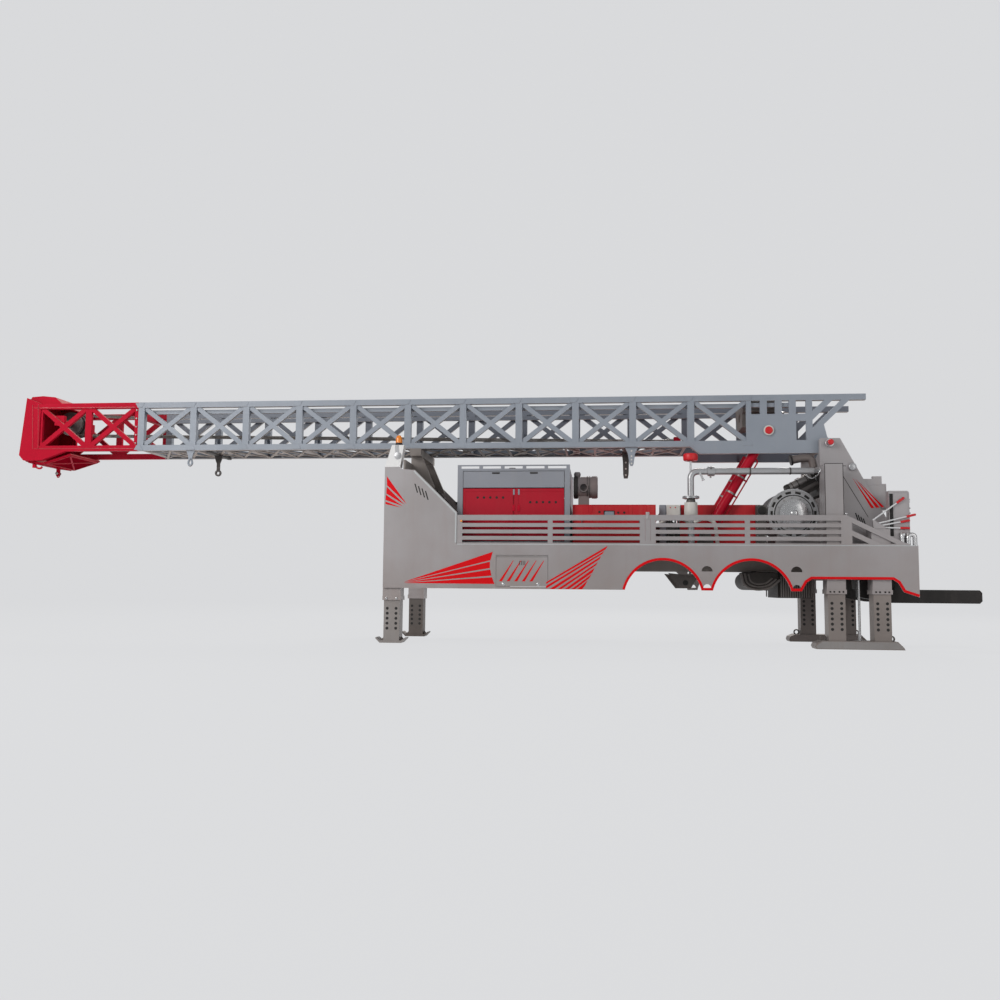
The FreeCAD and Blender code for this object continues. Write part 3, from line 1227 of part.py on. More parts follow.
def controls():
    """Control cabinets on both sides, the operator's panel on the left and the lever valve."""
    boxes = []
    for side, _ in SIDES:
        boxes.append(block(("boxFront", outward(side, "frameInner - boxDeep", "boxDeep"), "deckTop + boxLow"),
                           ("boxLong", "boxDeep", "boxTall")))
        low = outward(side, "frameInner - lidDeep", "lidDeep")
        boxes.append(block(("boxFront", low, "boxTop"), ("lidLong", "lidDeep", "lidTall")))
        boxes.append(block(("boxFront + lidLong / 2", low, "boxTop + lidTall"),
                           ("lidLong / 2", "lidDeep", "lidTall / 2")))
    node("control_cabinets", join(boxes))
    front = "jackLast + sleeveOuter / 2 + deskGap"
    rear = front + " + deskLong"
    top = "deckTop + deskTall"
    node("operator_panel",
         slab("XZ", [[(front, "deckTop"), (rear, "deckTop"), (rear, top + " - deskCorner"),
                      (rear + " - deskCorner", top), (front, top)]],
              outward(-1, "halfWidth - deskInset - deskDeep", "deskDeep"), "deskDeep"))
    x = "jackLast - valveAhead"
    y = "-halfWidth + valveWide"
    parts = [block((x, y, "sleeveTop"), ("valveLong", "valveWide", "valveTall"))]
    for foot, tip in LEVERS:
        start, end = [("%s + %d" % (x, dx), "sleeveTop + valveTall + %d" % dz) for dx, dz in (foot, tip)]
        parts.append(slope(start, end, y + " + leverBar / 2", "leverBar", "leverBar"))
    node("control_levers", join(parts))


def rearPipes():
    """Delivery pipes on the rear left corner."""
    parts = []
    for i in range(2):
        parts.append(rod("Z", ("rearEnd - elbowAhead + %d * elbowPitch" % i, "-halfWidth + elbowInset",
                               "deckTop"),
                         "elbowPipe", "elbowTall"))
    node("rear_pipes", group(parts))


def rearArms():
    """Two black beams that reach out behind the carrier, hung from its rails and tied by a bar."""
    parts = []
    for side, _ in SIDES:
        low = outward(side, "armInner", "armWide")
        parts.append(slab("XZ", [[("armFront", "armLow + armRise"), ("armFront + armTaper", "armLow"),
                                  ("armEnd - armCorner", "armLow"), ("armEnd", "armLow + armCorner"),
                                  ("armEnd", "armTop - armCorner"), ("armEnd - armCorner", "armTop"),
                                  ("armFront", "armTop")]],
                          low, "armWide"))
        y = outward(side, "railInner + railWide - hangerWall",
                    "armInner + armWide - railInner - railWide + hangerWall")
        for x in ("armFront", "rearEnd - railInset - hangerLong"):
            parts.append(block((x, y, "armTop"),
                               ("hangerLong", "armInner + armWide - railInner - railWide + hangerWall",
                                "railLow - armTop")))
    parts.append(block(("armEnd - armBarAhead", "-armInner", "armLow + armCorner"),
                       ("armBar", "2 * armInner", "armTall - 2 * armCorner")))
    node("rear_arms", join(parts))


def underbody():
    """Round tank and valve bank under the deck between the rails."""
    x = "archRear + underBehind"
    tank = rod("Y", (x, "-underHalf", "underHigh"), "underRadius", "2 * underHalf")
    strap = block((x + " - strapLong / 2", "-strapHalf", "underHigh"),
                  ("strapLong", "2 * strapHalf", "railLow - underHigh"))
    bank = block(("riseStart - bankAhead", "-strapHalf", "bankLow"),
                 ("bankLong", "2 * strapHalf", "railLow - bankLow"))
    node("underbody", group([join([tank, strap]), bank]))


# Mast

def latticeHoles(start, long, low, high):
    """The four triangles that an X brace leaves open in one bay."""
    wide = "(%s)" % long
    tall = "((%s) - (%s))" % (high, low)
    up = "(braceBar / 2 / cos(atan2(%s; %s)))" % (tall, wide)
    out = "(braceBar / 2 / sin(atan2(%s; %s)))" % (tall, wide)
    left = "(%s)" % start
    right = "(%s + %s)" % (start, wide)
    middle = "(%s + %s / 2)" % (start, wide)
    centre = "((%s + %s) / 2)" % (low, high)
    return [[(left + " + " + out, high), (middle, centre + " + " + up), (right + " - " + out, high)],
            [(left + " + " + out, low), (right + " - " + out, low), (middle, centre + " - " + up)],
            [(left, low + " + " + up), (middle + " - " + out, centre), (left, high + " - " + up)],
            [(right, low + " + " + up), (right, high + " - " + up), (middle + " + " + out, centre)]]


def mastSide(side, name):
    """Lattice side wall: a web with braced openings, two square chords and deep uprights."""
    bottom = "mastBottom + chord"
    top = "mastTop - chord"
    web = punched("web_" + name, "XZ", frame("latticeFront", bottom, "baseStart", top),
                  latticeHoles("latticeFront + postBar", "bay - postBar", bottom, top),
                  outward(side, "mastHalf - (chord + web) / 2", "web"), "web", "bay", "bays")
    y = outward(side, "mastInner", "chord")
    parts = [web]
    for z in ("mastBottom", top):
        parts.append(block(("latticeFront", y, z), ("baseStart - latticeFront", "chord", "chord")))
    for i in range(BAYS):
        parts.append(block(("latticeFront + %d * bay" % i, y, bottom),
                           ("postBar", "chord", "mastTall - 2 * chord")))
    parts.append(slab("XZ", [[("baseStart - baseTaper", "mastBottom"),
                              ("baseStart - baseTaper + taperRun", "baseBottom"),
                              ("baseStart", "baseBottom"), ("baseStart", "mastBottom")]], y, "chord"))
    node("mast_side_" + name, join(parts))


def knees():
    """Knee plates across the mast that brace its uprights against its floor."""
    parts = []
    for i in range(1, BAYS - 1):
        for side, _ in SIDES:
            face = "%d * mastInner" % side
            reach = "%d * (mastInner - kneeReach)" % side
            parts.append(slab("YZ", [[(face, "mastBottom + kneeFoot"), (reach, "mastBottom + kneeFoot"),
                                      (face, "mastBottom + kneeTall")]],
                              "latticeFront + %d * bay + postBar / 2" % i, "kneeWall"))
    node("mast_knees", group(parts))


def mastFloor():
    """Lattice between the two lower chords, left out at the base where the cylinders swing."""
    rear = "baseStart - bay"
    floor = punched("floor", "XY", frame("latticeFront", "-mastInner", rear, "mastInner"),
                    latticeHoles("latticeFront + postBar", "bay - postBar", "-mastInner", "mastInner"),
                    "mastBottom + floorRise", "web", "bay", "bays - 1")
    node("mast_floor", floor)


def mastBase(side):
    """Solid base plate with windows and slits, pivot ear, tail chord and the boss of the lift pin."""
    low = outward(side, "mastHalf - baseWall", "baseWall")
    outline = [("baseStart", "baseBottom"), ("baseRear", "baseBottom"),
               ("pivotX - earRadius / 2", "pivotZ - earRadius"),
               ("pivotX + earRadius / 2", "pivotZ - earRadius"),
               ("pivotX + earRadius", "pivotZ"), ("baseRear + shoulderOut", "mastBottom + baseShoulder"),
               ("baseRear + neckOut", "mastBottom + baseNeck"), ("tailRear - braceHead", "mastTop - chord"),
               ("tailRear", "mastTop - chord"), ("tailRear", "mastTop"), ("baseStart", "mastTop")]
    loops = [outline]
    for start, long in GATES:
        loops.append(frame("baseStart + %d" % start, "mastTop - chord - gateTall",
                           "baseStart + %d" % (start + long), "mastTop - chord"))
    start, long = GATES[3]
    loops.append(frame("baseStart + %d" % start, "mastBottom + doorLow",
                       "baseStart + %d" % (start + long), "mastBottom + doorLow + doorTall"))
    slit = "baseStart + slitStart"
    loops.append([(slit, "mastTop - slitDrop"), (slit + " + slitRun", "mastTop - chord"),
                  (slit, "mastTop - chord")])
    loops.append([(slit, "mastTop - slitFoot"), ("baseStart + slitFar", "mastTop - chord"),
                  ("baseStart + slitNear", "mastTop - chord"), (slit, "mastTop - slitLow")])
    parts = [slab("XZ", loops, low, "baseWall")]
    parts.append(block(("baseStart", outward(side, "mastHalf - baseWall - tailFlange", "tailFlange"),
                        "mastTop - chord"),
                       ("tailRear - baseStart", "tailFlange", "chord")))
    near = "(liftSide + eyeWide / 2 + bossGap)"
    deep = "(mastHalf + bossPast - %s)" % near
    parts.append(rod("Y", ("liftPinX", outward(side, near, deep), "liftPinZ"), "liftBoss", deep))
    bore = rod("Y", ("pivotX", outward(side, "mastHalf - 3 * baseWall", "5 * baseWall"), "pivotZ"),
               "pivotRadius + shaftGap", "5 * baseWall")
    return cut(join(parts), [bore])


def mastTie():
    """Cross member of the base that keeps clear of the rotary head and of the cylinders."""
    half = "(mastHalf - baseWall)"
    return block(("pivotX - tieAhead", "-" + half, "baseBottom"), ("tieLong", "2 * " + half, "tieLong"))


def guideRails():
    """Rails on the inside of the mast that the rotary head runs along, packed out at the base plates."""
    parts = []
    start = "latticeFront + postBar"
    end = "headRear + guidePast"
    for side, _ in SIDES:
        low = "guideTop - guideTall"
        parts.append(block((start, outward(side, "guideInner", "guideWide"), low),
                           ("%s - (%s)" % (end, start), "guideWide", "guideTall")))
        parts.append(block(("baseStart", outward(side, "mastInner", "chord - baseWall"), low),
                           ("%s - baseStart" % end, "chord - baseWall", "guideTall")))
    node("guide_rails", join(parts))


def crown():
    """Red crown section: two braced bays, end plates and the axle of the sheaves."""
    bottom = "mastBottom + chord"
    top = "mastTop - chord"
    parts = []
    for side, name in SIDES:
        parts.append(punched("crown_web_" + name, "XZ", frame("crownFront", bottom, "latticeFront", top),
                             latticeHoles("crownFront + crownEdge", "crownLong / 2 - postBar", bottom, top),
                             outward(side, "mastHalf - (chord + web) / 2", "web"), "web", "crownLong / 2",
                             "2"))
        y = outward(side, "mastInner", "chord")
        for z in ("mastBottom", top):
            parts.append(block(("crownFront", y, z), ("crownLong", "chord", "chord")))
        parts.append(slab("XZ", [[("crownFront", "mastBottom + chord"), ("crownFront", "mastTop"),
                                  ("crownCorner", "mastTop + crownBrow"),
                                  ("crownTip", "mastBottom - crownChin"),
                                  ("crownTip + jawBack", "mastBottom - crownJaw"),
                                  ("crownFront + crownEdge", "mastBottom - crownJaw"),
                                  ("crownFront + jawLong", "mastBottom"),
                                  ("crownFront + jawLong", "mastBottom + chord")]],
                          y, "chord"))
        deep = "(axleWall + (chord - web) / 2)"
        parts.append(block(("sheaveX - axleBlock / 2", outward(side, "mastInner - axleWall", deep),
                            "sheaveZ - axleBlock / 2"), ("axleBlock", deep, "axleBlock")))
    parts.append(rod("Y", ("sheaveX", "-mastInner", "sheaveZ"), "axleRadius", "2 * mastInner"))
    node("crown_frame", join(parts))


def crownHood():
    """Bent hood between the end plates: a leaning front, a belly that tapers back and a hump on top."""
    brow = ("crownCorner + hoodWall / 2", "mastTop + crownBrow")
    jaw = ("crownTip + jawBack", "mastBottom - crownJaw")
    shell = bent([brow, ("crownTip + hoodWall", "mastBottom - crownChin"), jaw,
                  ("crownFront + bellyLong", "mastBottom - bellyRear"),
                  ("crownFront + bellyTail", "mastBottom - bellyEnd")],
                 "-mastInner", "2 * mastInner", "hoodWall")
    top = "mastTop + humpRise - hoodWall / 2"
    arc = [brow, ("crownCorner + humpRun", top + " - humpDrop"), ("crownFront - crownEdge", top),
           ("crownFront + humpBack", "mastTop + humpBend"), ("crownFront + humpTail", "mastTop - chord / 2")]
    parts = [shell, bent(arc, "-humpHalf", "2 * humpHalf", "hoodWall")]
    for side, _ in SIDES:
        parts.append(slab("XZ", [arc + [(brow[0], "mastTop - chord / 2")]],
                          outward(side, "humpHalf - hoodWall", "hoodWall"), "hoodWall"))
    parts.append(block(("crownFront - hookAhead", "-hookSide - hookWall", "mastBottom - crownJaw - hookTall"),
                       ("hookLong", "hookWall", "hookTall")))
    parts.append(block(("crownFront + bellyLong - hookLong / 2", "-hookWall / 2",
                        "mastBottom - bellyRear - shackleTall"),
                       ("hookLong", "hookWall", "shackleTall")))
    node("crown_hood", join(parts))


def sheaves():
    """Three grooved sheaves on one hub that turns on the axle."""
    parts = []
    for i in (-1, 0, 1):
        low = "%d * sheavePitch - sheaveWide / 2" % i
        wheel = rod("Y", ("sheaveX", low, "sheaveZ"), "sheaveRadius", "sheaveWide")
        slot = "%d * sheavePitch - grooveWide / 2" % i
        groove = cut(rod("Y", ("sheaveX", slot, "sheaveZ"), "sheaveRadius + grooveDeep", "grooveWide"),
                     [rod("Y", ("sheaveX", low, "sheaveZ"), "sheaveRadius - grooveDeep", "sheaveWide")])
        parts.append(cut(wheel, [groove]))
    parts.append(rod("Y", ("sheaveX", "-hubHalf", "sheaveZ"), "hubRadius", "2 * hubHalf"))
    bore = rod("Y", ("sheaveX", "-2 * hubHalf", "sheaveZ"), "axleRadius + shaftGap", "4 * hubHalf")
    node("crown_sheaves", cut(join(parts), [bore]))


def hangers():
    """Lifting eyes and hanger straps under the mast."""
    edge = "-mastHalf + hangerWall / 2"
    middle = "-hookWall"
    eye = "latticeFront + eyeAfter"
    strap = "baseStart - 2 * bay"
    parts = [block((x, edge, "mastBottom - eyeDrop"), ("hangerWide", "hookWall", "eyeDrop")) for x in (eye,
                                                                                                       strap)]
    for x, drop in ((eye + " + eyePitch", "eyeDrop + chord"), (strap + " - strapAhead", "strapDrop")):
        bar = block((x, "-mastHalf", "mastBottom - hangerBar"), ("hangerWide", "2 * mastHalf", "hangerBar"))
        parts.append(join([bar, block((x, middle, "mastBottom - " + drop),
                                      ("hangerWide", "hookWall", drop))]))
    node("mast_hangers", group(parts))


def raisingCylinder(side):
    """Barrel with its foot eye, and the rod with its upper eye."""
    start = ("footPinX", "footPinZ")
    end = ("liftPinX", "liftPinZ")
    y = "%d * liftSide" % side
    eye = rod("Y", ("footPinX", y + " - eyeWide / 2", "footPinZ"), "eyeRadius", "eyeWide")
    barrel = join([tilted(start, end, y, "barrelRadius", "barrelStart", "barrelLong"),
                   tilted(start, end, y, "neckRadius", "0", "barrelStart + pinPast"), eye])
    hollow = tilted(start, end, y, "rodRadius + rodGap", "boreStart", "barrelLong + barrelStart")
    bore = rod("Y", ("footPinX", y + " - eyeWide", "footPinZ"), "footPin + shaftGap", "2 * eyeWide")
    head = rod("Y", ("liftPinX", y + " - eyeWide / 2", "liftPinZ"), "eyeRadius", "eyeWide")
    return cut(barrel, [hollow, bore]), join([tilted(start, end, y, "rodRadius", "rodStart"), head])


def cylinderFeet():
    """Clevis brackets on the deck with their pins."""
    parts = []
    for side, _ in SIDES:
        y = "%d * liftSide" % side
        for edge in ("%s - eyeWide / 2 - clevisWall - clevisGap" % y, "%s + eyeWide / 2 + clevisGap" % y):
            parts.append(slab("XZ", [[("footPinX - clevisFoot", "deckTop"),
                                      ("footPinX + clevisFoot", "deckTop"),
                                      ("footPinX + clevisHead", "footPinZ + clevisHead"),
                                      ("footPinX - clevisHead", "footPinZ + clevisHead")]],
                              edge, "clevisWall"))
        reach = "(eyeWide / 2 + clevisGap + clevisWall + pinPast)"
        parts.append(rod("Y", ("footPinX", y + " - " + reach, "footPinZ"), "footPin", "2 * " + reach))
    node("cylinder_feet", join(parts))


def rotaryHead():
    """Gearbox with two shoes over the guide rails, and the turning spindle."""
    parts = [block(("headFront", "-headHalf", "headZ - headDeep / 2"),
                   ("headLong", "2 * headHalf", "headDeep"))]
    wide = "(guideInner - headHalf - runGap)"
    for side, _ in SIDES:
        parts.append(block(("headFront", outward(side, "headHalf", wide), "guideTop - guideTall - shoeTall"),
                           ("headLong", wide, "guideTall + 2 * shoeTall")))
    bore = rod("X", ("headFront - spindleInset", "0", "headZ"), "spindleRadius + shaftGap",
               "headLong + 2 * spindleInset")
    node("rotary_head", cut(join(parts), [bore]))
    shaft = rod("X", ("headFront + spindleInset", "0", "headZ"), "spindleRadius",
                "headLong - spindleInset + spindleLong")
    collar = rod("X", ("headRear + collarGap", "0", "headZ"), "spindleRadius + collarTall", "collarLong")
    node("spindle", join([shaft, collar]))


subframe()
deck()
headboard()
canopy()
engine()
airCleaner()
cabinets()
valveTray()
pump()
standpipe()
winch()
brake()
controls()
rearPipes()
rearArms()
underbody()
cylinderFeet()
knees()
mastFloor()
guideRails()
crown()
crownHood()
sheaves()
hangers()
rotaryHead()
sleeves = []
barrels = []
rods = []
doors = []
for side, name in SIDES:
    skirt(side, name)
    hatch(side, name)
    frontJack(side, name)
    rearJack(side, name)
    mastSide(side, name)
    doors += canopySide(side, name)
    barrel, piston = raisingCylinder(side)
    barrels.append(barrel)
    rods.append(piston)
    across = "%d * jackSide" % side
    sleeves.append(jackSleeve("jackFront", across, "skirtBottom - sleeveLow", "sleeveTop"))
    sleeves.append(jackSleeve("jackRear", across, "skirtBottom - sleeveRear", "postTop"))
    sleeves.append(jackSleeve("jackLast", across, "skirtBottom - sleeveRear", "sleeveTop"))
node("jack_sleeves", group(sleeves))
node("canopy_doors", group(doors))
node("lift_barrels", group(barrels))
node("lift_rods", group(rods))
node("front_panels", group([frontPanel(side) for side, _ in SIDES]))
node("horns", group([horn(side) for side, _ in SIDES]))
node("beacons", group([beacon(side) for side, _ in SIDES]))
node("railings", group([railing(side) for side, _ in SIDES]))
node("rear_frames", group([rearFrame(side) for side, _ in SIDES]))
node("mast_base", join([mastBase(side) for side, _ in SIDES] + [mastTie()]))
doc.recompute()

# Checks and export

for item in doc.Objects:
    if "Invalid" in item.State or "Error" in item.State:
        raise RuntimeError("%s (%s) did not compute: %s" % (item.Name, item.Label, item.State))
os.makedirs("parts", exist_ok=True)
for item in nodes:
    shape = item.Shape
    if shape.isNull() or not shape.isValid() or not shape.Solids:
        raise RuntimeError(item.Label + " has no valid solid")
    shape.exportStep("parts/%s.step" % item.Label)
print("%d sub-parts written" % len(nodes))
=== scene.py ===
import json
import math

import bmesh
import bpy
import numpy as np
from mathutils import Matrix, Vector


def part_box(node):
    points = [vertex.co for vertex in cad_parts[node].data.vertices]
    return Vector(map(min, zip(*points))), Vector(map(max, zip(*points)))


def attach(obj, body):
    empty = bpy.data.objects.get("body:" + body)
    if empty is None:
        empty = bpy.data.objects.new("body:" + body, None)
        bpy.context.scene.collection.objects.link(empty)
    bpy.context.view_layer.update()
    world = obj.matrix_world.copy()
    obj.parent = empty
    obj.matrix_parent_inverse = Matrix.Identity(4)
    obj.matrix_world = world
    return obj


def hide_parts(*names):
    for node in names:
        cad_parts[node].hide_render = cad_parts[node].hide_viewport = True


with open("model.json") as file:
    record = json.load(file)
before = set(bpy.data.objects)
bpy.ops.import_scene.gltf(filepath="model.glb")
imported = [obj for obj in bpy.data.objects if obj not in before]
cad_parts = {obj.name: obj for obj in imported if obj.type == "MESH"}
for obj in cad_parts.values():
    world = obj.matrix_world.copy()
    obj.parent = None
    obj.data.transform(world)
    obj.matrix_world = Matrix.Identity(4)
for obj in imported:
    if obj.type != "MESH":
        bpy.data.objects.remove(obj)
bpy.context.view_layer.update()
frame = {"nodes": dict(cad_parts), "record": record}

record = frame["record"]
print("frame loaded,", len(frame["nodes"]), "CAD pieces")


# shapes

outward, upward, rearward, across = (0, -1, 0), (0, 0, 1), (1, 0, 0), (0, 1, 0)
origin = (0, 0, 0)
bothSides = (-1, 1)
sunk = 0.001  # metres that a piece goes into the plate it lies on
film = 0.0012  # metres that paint, film or a dark mouth stands in front of its plate
filmSunk = 0.0004


# Unit vector along an axis and two more square to it.
def facing(axis):
    n = np.array(axis, float) / np.linalg.norm(axis)
    helper = np.array([0.0, 0.0, 1.0]) if abs(n[2]) < 0.9 else np.array([1.0, 0.0, 0.0])
    first = np.cross(helper, n)
    first /= np.linalg.norm(first)
    return n, first, np.cross(n, first)


# Angles that share a full turn evenly.
def anglesOf(count):
    return np.linspace(0.0, 2 * math.pi, count, endpoint=False)


# Quads between neighbours on a grid of rows by cols points, the last column joined to the first.
def gridFaces(rows, cols):
    a = np.arange(rows - 1)[:, None] * cols + np.arange(cols)[None, :]
    b = a // cols * cols + (a % cols + 1) % cols
    return np.stack([a, b, b + cols, a + cols], -1).reshape(-1, 4).tolist()


# Faces that close the first and the last row of such a grid.
def endFaces(rows, cols):
    return [list(range(cols))[::-1], [(rows - 1) * cols + i for i in range(cols)]]


# Several shapes as one: points one after another, face numbers moved on by the points before them.
def gather(shapes):
    points, faces, count = [], [], 0
    for pts, fcs in shapes:
        points.append(np.asarray(pts, float))
        faces += [[i + count for i in f] for f in fcs]
        count += len(pts)
    return np.concatenate(points), faces


# Copies of a shape, its points plus each place.
def stamped(shape, places):
    pts, faces = shape
    places = np.asarray(places, float).reshape(-1, 3)
    every = (np.asarray(pts)[None] + places[:, None]).reshape(-1, 3)
    return every, [[i + k * len(pts) for i in f] for k in range(len(places)) for f in faces]


# Points of (along, radius) pairs carried round an axis: place + along * axis + radius * (cos t, sin t).
def spun(profile, place, axis, sides):
    p = np.asarray(profile, float)
    n, first, second = facing(axis)
    t = anglesOf(sides)[:, None]
    ring = np.cos(t) * first + np.sin(t) * second
    along, reach = p[:, 0, None, None], p[:, 1, None, None]
    return (np.asarray(place, float) + along * n + reach * ring[None]).reshape(-1, 3)


# A profile carried round an axis and closed at both ends.
def turned(profile, place, axis, sides=28):
    rows = len(profile)
    return spun(profile, place, axis, sides), gridFaces(rows, sides) + endFaces(rows, sides)


# A closed section carried round an axis, so that a hole stays in the middle.
def hoop(section, place, axis, sides=36):
    faces = np.array(gridFaces(len(section) + 1, sides)) % (len(section) * sides)
    return spun(section, place, axis, sides), faces.tolist()


# A closed profile of (u, v) pairs carried along a path: point + u * side + v * up. The side lies square to
# the path in the plane that the given normal names, and is stretched at corners so that the walls mitre.
def carried(path, profile, normal=None):
    path = np.asarray(path, float)
    profile = np.asarray(profile, float)
    step = np.diff(path, axis=0)
    step /= np.linalg.norm(step, axis=1)[:, None]
    before = np.vstack([step[:1], step])
    along = before + np.vstack([step, step[-1:]])
    along /= np.linalg.norm(along, axis=1)[:, None]
    normal = np.asarray(np.linalg.svd(step)[2][-1] if normal is None else normal, float)
    up = normal - along * (along @ normal)[:, None]
    up /= np.linalg.norm(up, axis=1)[:, None]
    sharpest = 0.3  # share of the turn past which a mitre isn't stretched further
    side = np.cross(along, up) / np.maximum(sharpest, np.sum(before * along, axis=1))[:, None]
    pts = path[:, None] + profile[None, :, :1] * side[:, None] + profile[None, :, 1:] * up[:, None]
    rows, cols = len(path), len(profile)
    return pts.reshape(-1, 3), gridFaces(rows, cols) + endFaces(rows, cols)


# Profiles: a circle, a rectangle, and a flat ring's section of (along, radius) pairs.
def roundOf(radius, sides=12):
    t = anglesOf(sides)
    return np.column_stack([np.cos(t), np.sin(t)]) * radius


def bar(start, end, low, high):
    return [(start, low), (end, low), (end, high), (start, high)]


def band(low, high, inner, outer):
    return [(low, inner), (low, outer), (high, outer), (high, inner)]


# A line through corners; each corner becomes the parabola (1-t)^2 a + 2t(1-t) c + t^2 b between points a and
# b that lie a reach before and after it.
def bentPath(corners, reach, steps=6):
    c = np.asarray(corners, float)
    ahead = np.diff(c, axis=0)
    size = np.linalg.norm(ahead, axis=1)
    ahead /= size[:, None]
    shareLeft = 0.48  # of a straight run, so that neighbouring bends don't meet
    cut = np.minimum(reach, shareLeft * np.minimum(size[:-1], size[1:]))[:, None]
    a, b, mid = c[1:-1] - ahead[:-1] * cut, c[1:-1] + ahead[1:] * cut, c[1:-1]
    t = np.linspace(0.0, 1.0, steps)[None, :, None]
    arcs = (1 - t) ** 2 * a[:, None] + 2 * t * (1 - t) * mid[:, None] + t ** 2 * b[:, None]
    return np.vstack([c[:1], arcs.reshape(-1, 3), c[-1:]])


def pipe(corners, radius, reach=0.08, sides=12):
    return carried(bentPath(corners, reach), roundOf(radius, sides))


# Points (x, y, z) of an outline of (x, z) pairs, all at one y.
def atDepth(outline, y):
    return [(x, y, z) for x, z in outline]


# A flat outline given a thickness: (x, z) pairs from low to high y, or (x, y) pairs from low to high z.
def plate(outline, low, high, level=False):
    o = np.asarray(outline, float)
    n, second, through = (len(o), 1, 2) if level else (len(o), 2, 1)
    pts = np.zeros((2 * n, 3))
    pts[:, 0], pts[:, second] = np.tile(o[:, 0], 2), np.tile(o[:, 1], 2)
    pts[:, through] = np.repeat([low, high], n)
    return pts, [list(range(n))[::-1], list(range(n, 2 * n))] + gridFaces(2, n)


# Boxes from rows of x0, x1, y0, y1, z0, z1.
def boxes(*rows):
    c = np.asarray(rows, float).reshape(-1, 3, 2)
    pick = np.array([[i, j, k] for i in (0, 1) for j in (0, 1) for k in (0, 1)])
    pts = np.stack([c[:, axis, pick[:, axis]] for axis in range(3)], -1).reshape(-1, 3)
    walls = [[0, 1, 3, 2], [4, 6, 7, 5], [0, 4, 5, 1], [2, 3, 7, 6], [0, 2, 6, 4], [1, 5, 7, 3]]
    return pts, [[i + 8 * n for i in w] for n in range(len(c)) for w in walls]


# A hexagon head on a washer, and a round head with an eased edge.
def hexHead(axis, radius, height):
    washer, thick = radius * 1.35, height * 0.2
    profile = [(0, washer), (thick, washer), (thick, radius), (height * 0.85, radius),
               (height, radius * 0.84)]
    return turned(profile, origin, axis, 6)


def stud(axis, radius, height, sides=16):
    return turned([(0, radius), (height * 0.6, radius), (height * 0.9, radius * 0.9), (height, radius * 0.7)],
                  origin, axis, sides)


# A round mouth or lamp face, a thin disc at the origin.
def mouth(radius, sides, axis=outward, deep=sunk, proud=film):
    return turned([(-deep, radius), (proud, radius)], origin, axis, sides)


# Places on a circle about a centre, in the plane of two named axes.
def circleOf(count, radius, centre, plane="XZ", start=0.0):
    t = anglesOf(count) + start
    places = np.tile(np.asarray(centre, float), (count, 1))
    for axis, wave in zip(plane, (np.cos(t), np.sin(t))):
        places[:, "XYZ".index(axis)] += radius * wave
    return places


# Raised bead round a rectangle: a shallow profile carried along its four sides.
def ribFrame(x0, x1, z0, z1, y, wide, tall):
    corners = atDepth([(x0, z0), (x1, z0), (x1, z1), (x0, z1)], y)
    profile = [(-wide / 2, 0.0005), (-wide / 4, -tall), (wide / 4, -tall), (wide / 2, 0.0005)]
    return gather([carried([corners[i], corners[(i + 1) % 4]], profile, across) for i in range(4)])


finishes, finishSlots = {}, {}


# One shape, or a list of shapes as one piece, laid in its finish and ridden on its body.
def addPiece(name, shape, finish, body="carrier", slot=None, bevel=0.0, angle=35.0):
    points, faces = gather(shape) if isinstance(shape, list) else shape
    mesh = bpy.data.meshes.new(name)
    mesh.from_pydata(np.asarray(points, float).tolist(), [], faces)
    work = bmesh.new()
    work.from_mesh(mesh)
    bmesh.ops.recalc_face_normals(work, faces=work.faces)
    work.to_mesh(mesh)
    work.free()
    mesh.shade_smooth()
    mesh.set_sharp_from_angle(angle=math.radians(angle))
    mesh.materials.append(finishes[finish])
    piece = bpy.data.objects.new(name, mesh)
    bpy.context.collection.objects.link(piece)
    if bevel:
        ease = piece.modifiers.new("easedEdges", "BEVEL")
        ease.width = bevel
        ease.segments = 2
        ease.limit_method = "ANGLE"
        ease.angle_limit = math.radians(40)
    slot = slot or finishSlots[finish]
    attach(piece, body)
    return piece


def flipSide(shape):
    points, faces = shape
    return np.asarray(points, float) * [1, -1, 1], faces


# The piece on the left side, and mirrored on the right.
def addPair(name, shape, finish, body="carrier", **extra):
    shape = gather(shape) if isinstance(shape, list) else shape
    for part, text in ((shape, "Left"), (flipSide(shape), "Right")):
        addPiece(name + text, part, finish, body.replace("SIDE", text.lower()), **extra)


print("shape functions ready")


# view, floor and light

# A node with its settings; each input takes a number, a colour or another node's output.
def addNode(tree, kind, inputs=None, **settings):
    node = tree.nodes.new("ShaderNode" + kind)
    for key, value in settings.items():
        setattr(node, key, value)
    for key, value in (inputs or {}).items():
        socket = node.inputs[key]
        if isinstance(value, bpy.types.NodeSocket):
            tree.links.new(value, socket)
        else:
            socket.default_value = (*value, 1) if socket.type == "RGBA" else value
    return node


# A camera or lamp at its place, with its right, up and back directions as the columns of its matrix.
def standAt(name, data, place, right, up, back):
    thing = bpy.data.objects.new(name, data)
    bpy.context.collection.objects.link(thing)
    turn = Matrix(np.column_stack([right, up, back]).tolist()).to_4x4()
    thing.matrix_world = Matrix.Translation(place) @ turn
    return thing


viewSettings = {
    "place": (2.224, -16.87, 0.95),  # metres, in the machine's own frame
    "yaw": -6.01,  # degrees, turned towards the mast's crown
    "pitch": 5.15,  # degrees, looking up
    "roll": 0.47,
    "lens": 34.38, "sensor": 36.0,  # mm
    "farthest": 300.0,
}


